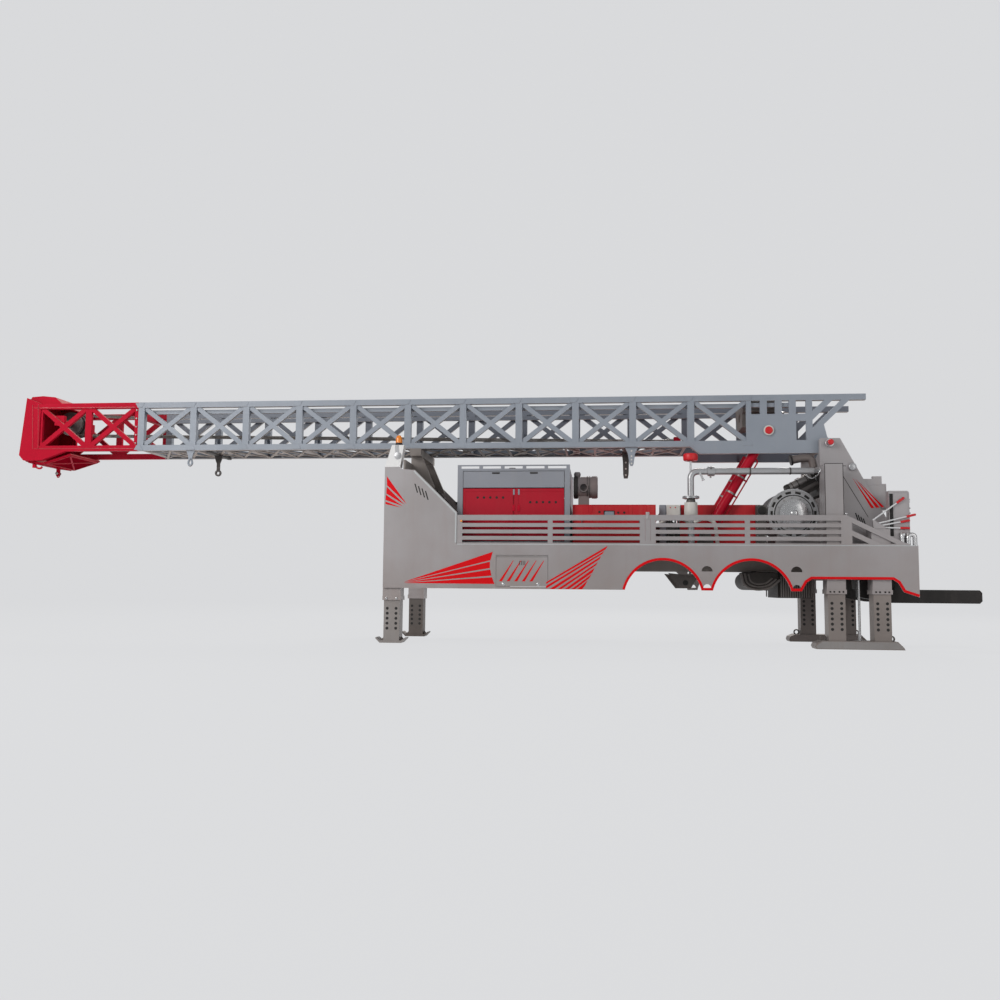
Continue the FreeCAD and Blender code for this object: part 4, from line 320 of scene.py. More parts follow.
# Three unit vectors, forwards, right and up, from yaw, pitch and roll.
def setCamera(look):
    yaw, pitch, roll = (math.radians(look[k]) for k in ("yaw", "pitch", "roll"))
    ahead = np.array([math.sin(yaw) * math.cos(pitch), math.cos(yaw) * math.cos(pitch), math.sin(pitch)])
    flat = np.array([math.cos(yaw), -math.sin(yaw), 0.0])
    rise = np.cross(flat, ahead)
    right = math.cos(roll) * flat + math.sin(roll) * rise
    up = math.cos(roll) * rise - math.sin(roll) * flat
    data = bpy.data.cameras.new("showCamera")
    data.lens, data.sensor_width, data.clip_end = look["lens"], look["sensor"], look["farthest"]
    bpy.context.scene.camera = standAt("showCamera", data, look["place"], right, up, -ahead)


setCamera(viewSettings)

stageSettings = {
    "paper": (0.716, 0.722, 0.736),  # colour of floor and backdrop
    "flat": 0.95,  # share of that colour that doesn't depend on the light
    "near": -60.0, "far": 34.0, "wide": 90.0, "bend": 10.0, "bendSteps": 25, "high": 60.0,
    "sky": (0.97, 0.985, 1.0), "ambient": 0.40,
}


# Floor and backdrop are one sheet: level, then a quarter circle, then upright, carried along X. The camera
# and mirrors see it in its flat colour, and all other rays see a lit surface.
def buildStage(look):
    turn = np.linspace(0.0, math.pi / 2, look["bendSteps"])
    far, bend = look["far"], look["bend"]
    y = np.concatenate([[look["near"]], far + bend * np.sin(turn), [far + bend]])
    z = np.concatenate([[0.0], bend * (1 - np.cos(turn)), [look["high"]]])
    left = np.column_stack([np.full_like(y, -look["wide"]), y, z])
    n = len(y)
    mesh = bpy.data.meshes.new("paperSheet")
    mesh.from_pydata(np.concatenate([left, left * [-1, 1, 1]]).tolist(), [],
                     [[i, n + i, n + i + 1, i + 1] for i in range(n - 1)])
    mesh.shade_smooth()
    sheet = bpy.data.objects.new("paperSheet", mesh)
    bpy.context.collection.objects.link(sheet)
    paper = bpy.data.materials.new("stagePaper")
    paper.use_nodes = True
    tree = paper.node_tree
    tree.nodes.clear()
    ray = addNode(tree, "LightPath").outputs
    seen = addNode(tree, "Math", {0: ray["Is Camera Ray"], 1: ray["Is Glossy Ray"]}, operation="MAXIMUM")
    share = addNode(tree, "Math", {0: seen.outputs[0], 1: look["flat"]}, operation="MULTIPLY")
    soft = addNode(tree, "BsdfDiffuse", {"Color": look["paper"]})
    shown = addNode(tree, "Emission", {"Color": look["paper"]})
    both = addNode(tree, "MixShader", {0: share.outputs[0], 1: soft.outputs[0], 2: shown.outputs[0]})
    addNode(tree, "OutputMaterial", {"Surface": both.outputs[0]})
    mesh.materials.append(paper)
    world = bpy.data.worlds.new("studio")
    world.use_nodes = True
    tree = world.node_tree
    room = tree.nodes["Background"]
    room.inputs["Color"].default_value = (*look["sky"], 1)
    room.inputs["Strength"].default_value = look["ambient"]
    beyond = addNode(tree, "Background", {"Color": look["paper"]})
    ray = addNode(tree, "LightPath").outputs
    either = addNode(tree, "MixShader", {0: ray["Is Camera Ray"], 1: room.outputs[0], 2: beyond.outputs[0]})
    tree.links.new(either.outputs[0], tree.nodes["World Output"].inputs["Surface"])
    bpy.context.scene.world = world


buildStage(stageSettings)

lampSettings = {
    "frontKey": {"place": (-13.0, -17.0, 11.0), "aim": (0.0, 0.0, 2.5), "size": 12.0, "power": 2750.0,
                 "tint": (1.0, 0.99, 0.97)},
    "rearFill": {"place": (15.0, -15.0, 6.0), "aim": (2.0, 0.0, 2.0), "size": 10.0, "power": 340.0,
                 "tint": (1.0, 0.98, 0.95)},
    "skyBack": {"place": (6.0, 15.0, 17.0), "aim": (0.0, 0.0, 2.5), "size": 9.0, "power": 3400.0,
                "tint": (1.0, 0.96, 0.9)},
}


def hangLamps(lamps):
    for name, look in lamps.items():
        data = bpy.data.lights.new(name, "AREA")
        data.shape = "DISK"
        data.size, data.energy, data.color = look["size"], look["power"], look["tint"]
        back = np.array(look["place"]) - np.array(look["aim"])
        back /= np.linalg.norm(back)
        right = np.cross(upward, back)
        right /= np.linalg.norm(right)
        standAt(name, data, look["place"], right, np.cross(back, right), back)


hangLamps(lampSettings)
bpy.context.scene.view_settings.view_transform = "Standard"
print("camera, floor and lamps ready")


# finishes

paintSettings = {
    "toneSpan": (0.36, 0.64),  # noise between these goes from the first tone to the second
    "runScale": (5.0, 5.0, 0.45), "runNoise": 1.7, "runSpan": (0.50, 0.78),  # runs of dirt, drawn out upright
    "dustHeights": (0.1, 2.2), "dustNoise": 3.1, "dustShares": (0.45, 1.0),
    "noiseSpan": (0.3, 0.7),
    # spans for the undersides' dust and painted bounce light, the upper faces' painted highlight and the
    # inner faces' painted shade
    "underSpan": (-0.9, -0.1), "topHighlightSpan": (0.12, 0.5), "topHighlightShare": 0.75,
    "innerShadeSpan": (-0.30, -0.12), "innerShadeShare": 0.7,
    "dentGrain": 0.6, "dentDepth": 0.004,
}


# Painted or bare metal. The colour drifts between two close tones in soft patches, runs of dirt hang from
# the top edges, dust settles by height, undersides go to the dust colour as dust and as painted bounce light
# from the floor, upper faces fade to a painted highlight, faces turned to the centre line go to a painted
# shade, and a fine noise breaks up the gloss and the surface.
def paint(name, slot, colour, second, rough=(0.38, 0.56), metallic=0.0, coat=0.0, dustAndBounceLight=(0.36, 0.31, 0.27),
          dusty=0.0, under=0.0, topHighlight=None, innerShade=None, streaks=0.2, grain=55.0, dent=0.10, patches=0.8,
          specular=0.5, look=paintSettings):
    mat = bpy.data.materials.new(name)
    mat.use_nodes = True
    tree = mat.node_tree
    place = addNode(tree, "TexCoord").outputs["Object"]

    def noise(scale, detail, source=place):
        return addNode(tree, "TexNoise", {"Scale": scale, "Detail": detail, "Vector": source}).outputs["Fac"]

    def remap(source, span, start, end):
        inputs = {"Value": source, "From Min": span[0], "From Max": span[1], "To Min": start, "To Max": end}
        return addNode(tree, "MapRange", inputs).outputs["Result"]

    def mixed(factor, first, other):
        inputs = {"Factor": factor, "A": first, "B": other}
        return addNode(tree, "Mix", inputs, data_type="RGBA").outputs["Result"]

    def product(first, other):
        return addNode(tree, "Math", {0: first, 1: other}, operation="MULTIPLY").outputs[0]

    tone = mixed(remap(noise(patches, 4.0), look["toneSpan"], 0.0, 1.0), colour, second)
    flow = addNode(tree, "Mapping", {"Scale": look["runScale"], "Vector": place}).outputs["Vector"]
    tone = mixed(remap(noise(look["runNoise"], 6.0, flow), look["runSpan"], 0.0, streaks), tone, dustAndBounceLight)
    split = addNode(tree, "SeparateXYZ", {0: place}).outputs
    low = remap(split["Z"], look["dustHeights"], dusty, 0.0)
    cloud = product(low, remap(noise(look["dustNoise"], 5.0), look["noiseSpan"], *look["dustShares"]))
    tone = mixed(cloud, tone, dustAndBounceLight)
    turn = addNode(tree, "SeparateXYZ", {0: addNode(tree, "NewGeometry").outputs["Normal"]}).outputs
    # undersides go to the dust colour: dust, and painted bounce light from the floor where that colour is
    # lighter
    if under:
        tone = mixed(remap(turn["Z"], look["underSpan"], under, 0.0), tone, dustAndBounceLight)
    # upper faces fade to a painted highlight
    if topHighlight:
        tone = mixed(remap(turn["Z"], look["topHighlightSpan"], 0.0, look["topHighlightShare"]), tone, topHighlight)
    # faces turned to the centre line darken to a painted shade
    if innerShade:
        inward = product(turn["Y"], split["Y"])
        tone = mixed(remap(inward, look["innerShadeSpan"], look["innerShadeShare"], 0.0), tone, innerShade)
    bump = addNode(tree, "Bump", {"Strength": dent, "Distance": look["dentDepth"],
                                  "Height": noise(grain * look["dentGrain"], 2.0)})
    gloss = remap(noise(grain, 3.0), look["noiseSpan"], *rough)
    shader = tree.nodes["Principled BSDF"].inputs
    for key, value in (("Base Color", tone), ("Roughness", gloss), ("Normal", bump.outputs["Normal"])):
        tree.links.new(value, shader[key])
    for key, value in (("Metallic", metallic), ("Coat Weight", coat), ("Specular IOR Level", specular)):
        shader[key].default_value = value
    finishes[name], finishSlots[name] = mat, slot


paint("silverPaint", "silver", (0.375, 0.356, 0.366), (0.330, 0.307, 0.309), rough=(0.34, 0.5), metallic=0.25,
      coat=0.15, dustAndBounceLight=(0.30, 0.225, 0.195), dusty=0.6, streaks=0.16)
# Mast grey: undersides take a light warm colour, dust and painted bounce light from the floor; faces turned
# to the centre line take a dark blue painted shade.
paint("mastPaint", "mast_grey", (0.285, 0.314, 0.362), (0.248, 0.276, 0.322), rough=(0.42, 0.6),
      dustAndBounceLight=(0.50, 0.39, 0.32), under=0.6, innerShade=(0.085, 0.092, 0.120), streaks=0.05)
paint("canopyPaint", "mast_grey", (0.260, 0.272, 0.308), (0.228, 0.237, 0.266), rough=(0.4, 0.55), dusty=0.05,
      streaks=0.1)
paint("crimsonPaint", "red", (0.500, 0.004, 0.024), (0.420, 0.004, 0.020), rough=(0.32, 0.48), coat=0.06,
      dustAndBounceLight=(0.28, 0.03, 0.04), streaks=0.10, specular=0.12)
# A darker copy of the red, painted shade on the canopy doors and their frames; the crown's beads take it too.
paint("shadedDoorPaint", "red", (0.430, 0.006, 0.022), (0.365, 0.005, 0.018), rough=(0.3, 0.46), coat=0.1,
      dustAndBounceLight=(0.30, 0.07, 0.07), streaks=0.10, specular=0.25)
# A lighter, more orange copy of the red, painted sunlight on the cabinets and their beads.
paint("sunlitCabinetPaint", "red", (0.580, 0.022, 0.030), (0.470, 0.014, 0.022), rough=(0.34, 0.5), coat=0.08,
      dustAndBounceLight=(0.45, 0.16, 0.11), dusty=0.05, specular=0.25)
paint("stripeRed", "red", (0.700, 0.001, 0.006), (0.650, 0.001, 0.005), rough=(0.34, 0.46),
      dustAndBounceLight=(0.45, 0.08, 0.06), dusty=0.02, streaks=0.04, dent=0.02, specular=0.15)
# A lighter silver for the strips along the deck's edge and the front panels' fold: a painted highlight.
paint("edgeHighlightPaint", "silver", (0.50, 0.52, 0.53), (0.46, 0.48, 0.49), rough=(0.3, 0.4), dusty=0.05, streaks=0.05,
      dent=0.02)
paint("hornWhite", "white", (0.680, 0.685, 0.700), (0.610, 0.615, 0.630), rough=(0.3, 0.45), streaks=0.12)
paint("valveWhite", "white", (0.640, 0.620, 0.590), (0.540, 0.515, 0.480), rough=(0.35, 0.5))
paint("hornPaint", "silver", (0.800, 0.795, 0.790), (0.700, 0.690, 0.690), rough=(0.30, 0.45), coat=0.1,
      streaks=0.12)
paint("pipeSilver", "silver", (0.470, 0.480, 0.500), (0.380, 0.375, 0.380), rough=(0.26, 0.42), metallic=0.55)
paint("darkSteel", "dark_steel", (0.105, 0.095, 0.092), (0.072, 0.064, 0.062), rough=(0.4, 0.62),
      metallic=0.3, dustAndBounceLight=(0.20, 0.155, 0.125), dusty=0.35, streaks=0.25)
paint("underPaint", "dark_steel", (0.034, 0.029, 0.027), (0.022, 0.019, 0.018), rough=(0.5, 0.7),
      metallic=0.1, dustAndBounceLight=(0.075, 0.060, 0.050), dusty=0.35, streaks=0.25, specular=0.3)
# Crown red: upper faces fade to a pale painted highlight, faces turned to the centre line to a darker red
# painted shade.
paint("crownPaint", "red", (0.480, 0.003, 0.024), (0.410, 0.003, 0.020), rough=(0.4, 0.56),
      dustAndBounceLight=(0.26, 0.02, 0.03), topHighlight=(0.700, 0.250, 0.240), innerShade=(0.230, 0.003, 0.012), streaks=0.10,
      specular=0.06)
# Lit and shaded copies of one leg paint: the lighter ones on the near rear and near front legs are painted
# light, the darker one on the far rear leg is painted shade and is also the plain dark colour of the foot
# gussets and the brake elbow.
paint("litLegPaint", "dark_steel", (0.290, 0.252, 0.236), (0.222, 0.192, 0.180), rough=(0.36, 0.55),
      metallic=0.30, dustAndBounceLight=(0.20, 0.165, 0.145), dusty=0.4, streaks=0.25)
paint("darkAndShadedLegPaint", "dark_steel", (0.185, 0.156, 0.148), (0.135, 0.113, 0.107), rough=(0.36, 0.55),
      metallic=0.35, dustAndBounceLight=(0.15, 0.125, 0.11), dusty=0.4, streaks=0.25)
paint("litFrontLegPaint", "dark_steel", (0.320, 0.298, 0.290), (0.240, 0.222, 0.216), rough=(0.34, 0.5),
      metallic=0.35, dustAndBounceLight=(0.25, 0.21, 0.185), dusty=0.35, streaks=0.25)
paint("blackPaint", "black", (0.018, 0.016, 0.016), (0.027, 0.024, 0.023), rough=(0.35, 0.55),
      dustAndBounceLight=(0.10, 0.085, 0.078), dusty=0.12, specular=0.25)
paint("rubber", "black", (0.018, 0.017, 0.017), (0.026, 0.024, 0.023), rough=(0.55, 0.75), dusty=0.1,
      streaks=0.1)
paint("plainSteel", "steel", (0.360, 0.345, 0.340), (0.270, 0.255, 0.250), rough=(0.3, 0.5), metallic=0.75,
      dustAndBounceLight=(0.22, 0.16, 0.12), dusty=0.1, streaks=0.25)
paint("brightSteel", "chrome", (0.640, 0.640, 0.650), (0.540, 0.540, 0.550), rough=(0.14, 0.3), metallic=0.95,
      streaks=0.06)
paint("ropeSteel", "steel", (0.110, 0.100, 0.095), (0.190, 0.170, 0.155), rough=(0.4, 0.6), metallic=0.5,
      patches=9.0)
paint("brownGrey", "brown_grey", (0.250, 0.220, 0.205), (0.185, 0.162, 0.150), rough=(0.5, 0.7),
      dustAndBounceLight=(0.30, 0.24, 0.19), dusty=0.2, under=0.3)
# A light warm brown for the lacing under the mast's floor: painted bounce light from the floor.
paint("laceBounceLight", "brown_grey", (0.460, 0.390, 0.350), (0.340, 0.285, 0.255), rough=(0.5, 0.7),
      dustAndBounceLight=(0.22, 0.16, 0.12), streaks=0.35, patches=2.2)
paint("crownShade", "red", (0.250, 0.002, 0.012), (0.190, 0.002, 0.009), rough=(0.75, 0.9),
      dustAndBounceLight=(0.14, 0.01, 0.01), streaks=0.3, specular=0.0)
paint("cleanerGrey", "dark_steel", (0.125, 0.112, 0.122), (0.170, 0.130, 0.125), rough=(0.3, 0.5),
      streaks=0.1, patches=1.6)
# Black for the mouths of holes, vents, slots, grooves and windows, where it is painted shade, and for the
# flange seam's dark joint.
paint("holeShadeAndSeamBlack", "black", (0.008, 0.007, 0.007), (0.013, 0.011, 0.010), rough=(0.6, 0.8), streaks=0.0,
      dent=0.0)
paint("gripRed", "red", (0.620, 0.010, 0.016), (0.540, 0.008, 0.013), rough=(0.35, 0.5), streaks=0.05)

amberSettings = {
    "deep": (0.98, 0.20, 0.008), "pale": (1.0, 0.40, 0.04), "scale": 14.0,
    "shader": {"Roughness": 0.16, "Transmission Weight": 0.25, "Coat Weight": 0.4},
}


# Clear orange plastic whose tone drifts a little from place to place.
def amberFinish(look):
    mat = bpy.data.materials.new("amberLens")
    mat.use_nodes = True
    tree = mat.node_tree
    place = addNode(tree, "TexCoord").outputs["Object"]
    clouds = addNode(tree, "TexNoise", {"Scale": look["scale"], "Vector": place}).outputs["Fac"]
    tone = addNode(tree, "Mix", {"A": look["deep"], "B": look["pale"], "Factor": clouds}, data_type="RGBA")
    shader = tree.nodes["Principled BSDF"].inputs
    tree.links.new(tone.outputs["Result"], shader["Base Color"])
    for key, value in look["shader"].items():
        shader[key].default_value = value
    finishes["amberLens"], finishSlots["amberLens"] = mat, "amber"


amberFinish(amberSettings)

slotLooks = {
    "silver": "silverPaint", "mast_grey": "mastPaint", "red": "crimsonPaint", "white": "hornWhite",
    "amber": "amberLens", "dark_steel": "darkSteel", "black": "blackPaint", "steel": "plainSteel",
    "chrome": "brightSteel", "brown_grey": "brownGrey",
}
# Some pieces take lit or shaded copies of a finish: the canopy doors a darker red as painted shade, the
# cabinets a lighter red as painted sunlight, the near legs lighter copies as painted light, and the far rear
# leg a darker copy and the far front leg dark steel as painted shade.
nodeLooks = {
    "canopy_doors": "shadedDoorPaint", "cabinets": "sunlitCabinetPaint", "engine_canopy": "canopyPaint",
    "canopy_flap_left": "canopyPaint", "canopy_flap_right": "canopyPaint", "air_cleaner": "cleanerGrey",
    "jack_leg_front_left": "litFrontLegPaint", "jack_leg_front_right": "darkSteel",
    "jack_legs_rear_left": "litLegPaint", "jack_legs_rear_right": "darkAndShadedLegPaint", "standpipe": "pipeSilver",
    "underbody": "underPaint", "crown_sheaves": "darkSteel", "subframe": "brownGrey", "horns": "hornPaint",
    "crown_frame": "crownPaint", "crown_hood": "crownPaint", "winch_drum": "pipeSilver",
    "brake_motor": "underPaint", "control_levers": "darkSteel",
}


# Each CAD piece gets its own finish, or else the finish of the slot that the record gives it.
def dressNodes():
    slotOf = {entry["node"]: entry["material_slot"] for entry in record["subparts"]}
    for name, obj in frame["nodes"].items():
        finish = finishes[nodeLooks.get(name) or slotLooks[slotOf[name]]]
        for holder in obj.material_slots:
            holder.material = finish
        if not obj.material_slots:
            obj.data.materials.append(finish)


dressNodes()
print("finishes laid on the CAD pieces")


# stripes and red edging on the side plates

skirtLow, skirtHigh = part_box("skirt_left")
bodyFront, bodyRear, deckZ = skirtLow.x, skirtHigh.x, skirtHigh.z
skirtY, panelY, frameY, postY = skirtLow.y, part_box("front_panels")[0].y, -0.750, -1.200

stripeSettings = {
    # outlines in metres behind the body's front end and above the deck
    "skirtFan": (skirtY, [
        [(0.36, -0.632), (1.833, -0.129), (1.795, -0.268)],
        [(0.36, -0.639), (1.787, -0.291), (1.788, -0.396)],
        [(0.36, -0.646), (1.793, -0.422), (1.815, -0.521)],
        [(0.36, -0.652), (1.824, -0.547), (1.864, -0.656)]]),
    "panelFan": (panelY, [
        [(0.034, 1.131), (0.381, 0.662), (0.042, 0.976)], [(0.037, 0.951), (0.346, 0.649), (0.031, 0.836)],
        [(0.026, 0.815), (0.314, 0.627), (0.020, 0.729)], [(0.020, 0.702), (0.287, 0.601), (0.021, 0.659)]]),
    "slantBars": (skirtY, [
        [(2.714, -0.618), (3.709, -0.025), (3.678, -0.082), (2.708, -0.652)],
        [(2.709, -0.683), (3.658, -0.108), (3.627, -0.155), (2.714, -0.722)],
        [(2.766, -0.733), (3.606, -0.191), (3.580, -0.243), (2.844, -0.733)],
        [(2.896, -0.733), (3.554, -0.289), (3.523, -0.341), (2.960, -0.733)],
        [(3.012, -0.733), (3.503, -0.380), (3.464, -0.458), (3.077, -0.733)],
        [(3.121, -0.733), (3.451, -0.484), (3.412, -0.554), (3.180, -0.733)],
        [(3.214, -0.733), (3.387, -0.587), (3.348, -0.665), (3.296, -0.733)]]),
    "frameBars": (frameY, [
        [(7.711, 1.138), (8.001, 0.628), (8.050, 0.634)], [(7.759, 1.117), (8.078, 0.634), (8.134, 0.640)],
        [(7.787, 1.093), (8.165, 0.643), (8.208, 0.646)]]),
}


# Each outline becomes a thin plate on its surface, and again on the far side.
def layStripes(look):
    for name, (y, outlines) in look.items():
        flat = [plate(np.array(o) + [bodyFront, deckZ], y - film, y + filmSunk) for o in outlines]
        addPair(name, flat, "stripeRed")


layStripes(stripeSettings)

edgingSettings = {
    "wide": (0.001, 0.042), "thick": 0.0016,
    "lower": -0.734,  # skirt's lower edge from the deck
    "archBack": (3.970, 2.570),  # arch centres ahead of the rear end
    "archDrop": 0.150, "archRadius": 0.628, "archSteps": 26,
    # rest of the line: metres ahead of the rear end and above the lower edge
    "rear": [(1.795, 0.0), (1.716, 0.140), (1.637, 0.192), (0.396, 0.192), (0.317, 0.140), (0.238, 0.0),
             (0.012, -0.076)],
}


# The red edging is a strip carried along the skirt's lower outline: two circle arcs and straight runs.
def layEdging(look):
    lower, radius = deckZ + look["lower"], look["archRadius"]
    lift = math.asin(look["archDrop"] / radius)
    t = np.linspace(math.pi - lift, lift, look["archSteps"])
    arcs = [np.column_stack([bodyRear - back + radius * np.cos(t),
                             lower - look["archDrop"] + radius * np.sin(t)])
            for back in look["archBack"]]
    line = np.concatenate([*arcs, np.array(look["rear"]) * [-1, 1] + [bodyRear, lower]])
    strip = carried(atDepth(line, skirtY), bar(*look["wide"], -look["thick"], filmSunk), across)
    addPair("archEdging", strip, "stripeRed")


layEdging(edgingSettings)

hatchSettings = {
    "bars": 5, "pitch": 0.125, "lean": 0.21, "half": 0.17, "foot": (-0.02, 0.03), "tip": 0.01,
    "hinge": (0.425, 0.235),  # half length, height over the hatch's centre
    "hingeProfile": [(-0.0105, 0.0), (-0.0084, -0.0045), (0, -0.0062), (0.0084, -0.0045), (0.0105, 0.0),
                     (0.0105, 0.001), (-0.0105, 0.001)],
    "latches": (-0.299, 0.269), "latchDrop": 0.216,
    "latch": [(-0.001, 0.025), (0.003, 0.025), (0.0055, 0.0175), (0.0062, 0.0075)],
    "vent": {"slots": 4, "start": -0.042, "pitch": 0.028, "wide": 0.012, "low": 0.095, "high": 0.165},
}


# Slanted bars as generic trim, a half-round hinge bar, two round latches and a small vent on each hatch.
def trimHatch(look):
    low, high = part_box("hatch_left")
    cx, cz, y = (low.x + high.x) / 2, (low.z + high.z) / 2, low.y
    start = cx - look["pitch"] * (look["bars"] - 1) / 2 - look["lean"] / 2
    half, (foot, heel) = look["half"], look["foot"]
    bars = []
    for i in range(look["bars"]):
        x = start + i * look["pitch"]
        outline = [(x + foot, cz - half), (x + heel, cz - half), (x + look["lean"] + look["tip"], cz + half),
                   (x + look["lean"], cz + half)]
        bars.append(plate(outline, y - film, y + filmSunk))
    addPair("hatchBars", bars, "stripeRed", "hatch_SIDE")
    half, rise = look["hinge"]
    rod = carried(atDepth([(cx - half, cz + rise), (cx + half, cz + rise)], y), look["hingeProfile"], across)
    addPair("hatchHinge", rod, "plainSteel", "hatch_SIDE")
    places = [(cx + dx, y, cz - look["latchDrop"]) for dx in look["latches"]]
    addPair("hatchLatches", stamped(turned(look["latch"], origin, outward, 20), places), "brightSteel",
            "hatch_SIDE")
    vent = look["vent"]
    starts = [cx + vent["start"] + vent["pitch"] * i for i in range(vent["slots"])]
    slots = [[x, x + vent["wide"], y - film, y + sunk, cz + vent["low"], cz + vent["high"]] for x in starts]
    addPair("hatchVent", boxes(slots), "darkSteel", "hatch_SIDE")


trimHatch(hatchSettings)
print("stripes, edging and hatch trim ready")


# mast: pin caps, ropes, lines and hangers

pinSettings = {
    "place": (5.039, -0.640, 3.590),
    "liftPinRing": ("valveWhite", [(-0.001, 0.086), (0.004, 0.086), (0.007, 0.07998)]),
    "liftPinCap": ("gripRed", [(0.006, 0.064), (0.0154, 0.064), (0.0198, 0.0576), (0.022, 0.03968)]),
}


# Round cap on a washer ring, of (height, radius) pairs turned about the pin.
def capPins(look):
    for name in ("liftPinRing", "liftPinCap"):
        finish, profile = look[name]
        addPair(name, turned(profile, look["place"], outward, 32), finish, "mast")


capPins(pinSettings)

ropeSettings = {
    "ropes": (-0.127, 0.0, 0.127), "radius": 0.011, "sides": 10, "turn": 0.198, "turnSteps": 19,
    "anchor": [3.50, 3.62, -0.20, 0.20, 3.404, 3.56],  # block at the foot of the ropes
    "foot": (3.495, 3.502), "spread": 1.25,
    "dead": (-6.24, 4.02), "deadBar": [-6.245, -6.155, -0.52, 0.52, 3.97, 4.07],
    "footSocket": [(0, 0.030), (0.10, 0.026), (0.17, 0.015)],
    "deadSocket": [(0, 0.030), (0.09, 0.026), (0.15, 0.015)],
}


# Ropes run from an anchor block on the mast's floor to the sheaves, half a turn round them and back
# to a bar in the crown: straight runs and a half circle of radius turn.
def reeveRopes(look):
    low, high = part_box("crown_sheaves")
    cx, cz = (low.x + high.x) / 2, (low.z + high.z) / 2
    t = np.linspace(-math.pi / 2, -3 * math.pi / 2, look["turnSteps"])
    arc = np.column_stack([cx + look["turn"] * np.cos(t), cz + look["turn"] * np.sin(t)])
    ropes, sockets = [], []
    for y in look["ropes"]:
        foot = (look["foot"][0], y * look["spread"], look["foot"][1])
        path = [foot, *atDepth(arc, y), (look["dead"][0], y, look["dead"][1])]
        ropes.append(carried(path, roundOf(look["radius"], look["sides"])))
        sockets.append(turned(look["footSocket"], foot, (-1, 0, 0), 14))
        sockets.append(turned(look["deadSocket"], path[-1], (-1, 0, 0), 14))
    addPiece("hoistRopes", ropes, "ropeSteel", "mast", angle=60)
    addPiece("ropeSockets", sockets, "plainSteel", "mast")
    addPiece("ropeAnchors", boxes(look["anchor"], look["deadBar"]), "crimsonPaint", "mast", bevel=0.008)


reeveRopes(ropeSettings)

lineSettings = {
    "sides": (-0.455, -0.425, 0.37, 0.41), "z": 3.3335, "radius": 0.0095, "from": -5.85, "to": 3.62,
    "clipStart": 0.2, "clipPitch": 0.976, "clipHalf": 0.02, "clipWide": ((-0.475, -0.405), (0.35, 0.43)),
}


# Steel lines clipped along the underside of the mast's floor.
def layMastLines(look):
    z, radius = look["z"], look["radius"]
    runs = [carried([(look["from"], y, z), (look["to"], y, z)], roundOf(radius, 10)) for y in look["sides"]]
    addPiece("mastLines", runs, "darkSteel", "mast", angle=60)
    xs = np.arange(look["from"] + look["clipStart"], look["to"], look["clipPitch"])
    clips = [[x - look["clipHalf"], x + look["clipHalf"], *wide, z - radius, z + radius + sunk]
             for x in xs for wide in look["clipWide"]]
    addPiece("lineClips", boxes(clips), "plainSteel", "mast", bevel=0.002)


layMastLines(lineSettings)

floorUnder = 3.324  # Z of the mast floor's underside
hangerSettings = {
    "half": {"eye": 0.015, "plate": 0.015, "strap": 0.015, "link": 0.014},
    "eye": (-5.076, -0.565, [(-0.075, 0.0), (0.075, 0.0), (0.045, -0.085), (0.026, -0.175), (-0.026, -0.175),
                             (-0.045, -0.085)]),
    "plate": (2.757, -0.565, [(-0.110, 0.0), (0.110, 0.0), (0.062, -0.105), (0.036, -0.280), (0.020, -0.318),
                              (-0.020, -0.318), (-0.036, -0.280), (-0.062, -0.105)]),
    "strap": (2.674, -0.020, [(-0.070, 0.0), (0.070, 0.0), (0.056, -0.16), (0.050, -0.40), (0.034, -0.470),
                              (-0.034, -0.470), (-0.046, -0.40), (-0.052, -0.16)]),
    "link": (-4.776, -0.020, [(-0.085, 0.0), (0.085, 0.0), (0.050, -0.12), (0.030, -0.17), (0.030, -0.31),
                              (-0.030, -0.31), (-0.030, -0.17), (-0.050, -0.12)]),
    "pins": {"plate": (-0.06, -0.15, -0.21, -0.275), "strap": (-0.19, -0.30, -0.41)}, "pinRadius": 0.015,
    # bow shackle: points beside the eye's centre line and under its upper end, bar and bolt
    "bow": [(-0.016, 0.0), (-0.0425, -0.07875), (0.0, -0.13125), (0.0425, -0.07875), (0.016, 0.0)],
    "bowDrop": 0.155, "bowPipe": (0.019, 0.05, 10), "bolt": [(-0.034, 0.016), (0.034, 0.016)],
    "ringDrop": 0.345,
    "ring": [(-0.018, 0.028), (-0.018, 0.056), (-0.014, 0.060), (0.014, 0.060), (0.018, 0.056),
             (0.018, 0.028)],
    "crossBar": (0.035, 0.515, 0.030),  # half width, half length and depth of the bars between the chords
}


# Tapered hanger plates with pin discs, a bow shackle and cross bars, in place of the plain posts.
def makeHangers(look):
    grey, brown, pins = [], [], []
    for name, group in (("eye", grey), ("plate", grey), ("strap", brown), ("link", brown)):
        x, y, outline = look[name]
        half = look["half"][name]
        group.append(plate(np.array(outline) + [x, floorUnder], y - half, y + half))
        for dz in look["pins"].get(name, ()):
            pins.append(turned([(-half - sunk, look["pinRadius"]), (half + sunk, look["pinRadius"])],
                               (x, y, floorUnder + dz), across, 14))
    x, y, _ = look["eye"]
    bow = atDepth(np.array(look["bow"]) + [x, floorUnder - look["bowDrop"]], y)
    grey.append(pipe(bow, *look["bowPipe"]))
    grey.append(turned(look["bolt"], (x, y, floorUnder - look["bowDrop"]), across, 12))
    x, y, _ = look["link"]
    brown.append(hoop(look["ring"], (x, y, floorUnder - look["ringDrop"]), across, 28))
    half, reach, deep = look["crossBar"]
    for x in (x, look["strap"][0]):
        brown.append(boxes([x - half, x + half, -reach, reach, floorUnder - deep, floorUnder]))
    holder = addPiece("hangerPlates", grey, "mastPaint", "mast", bevel=0.003)
    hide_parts("mast_hangers")
    addPiece("hangerStraps", brown, "darkSteel", "mast", bevel=0.003)
    addPiece("hangerPins", pins, "valveWhite", "mast")


makeHangers(hangerSettings)

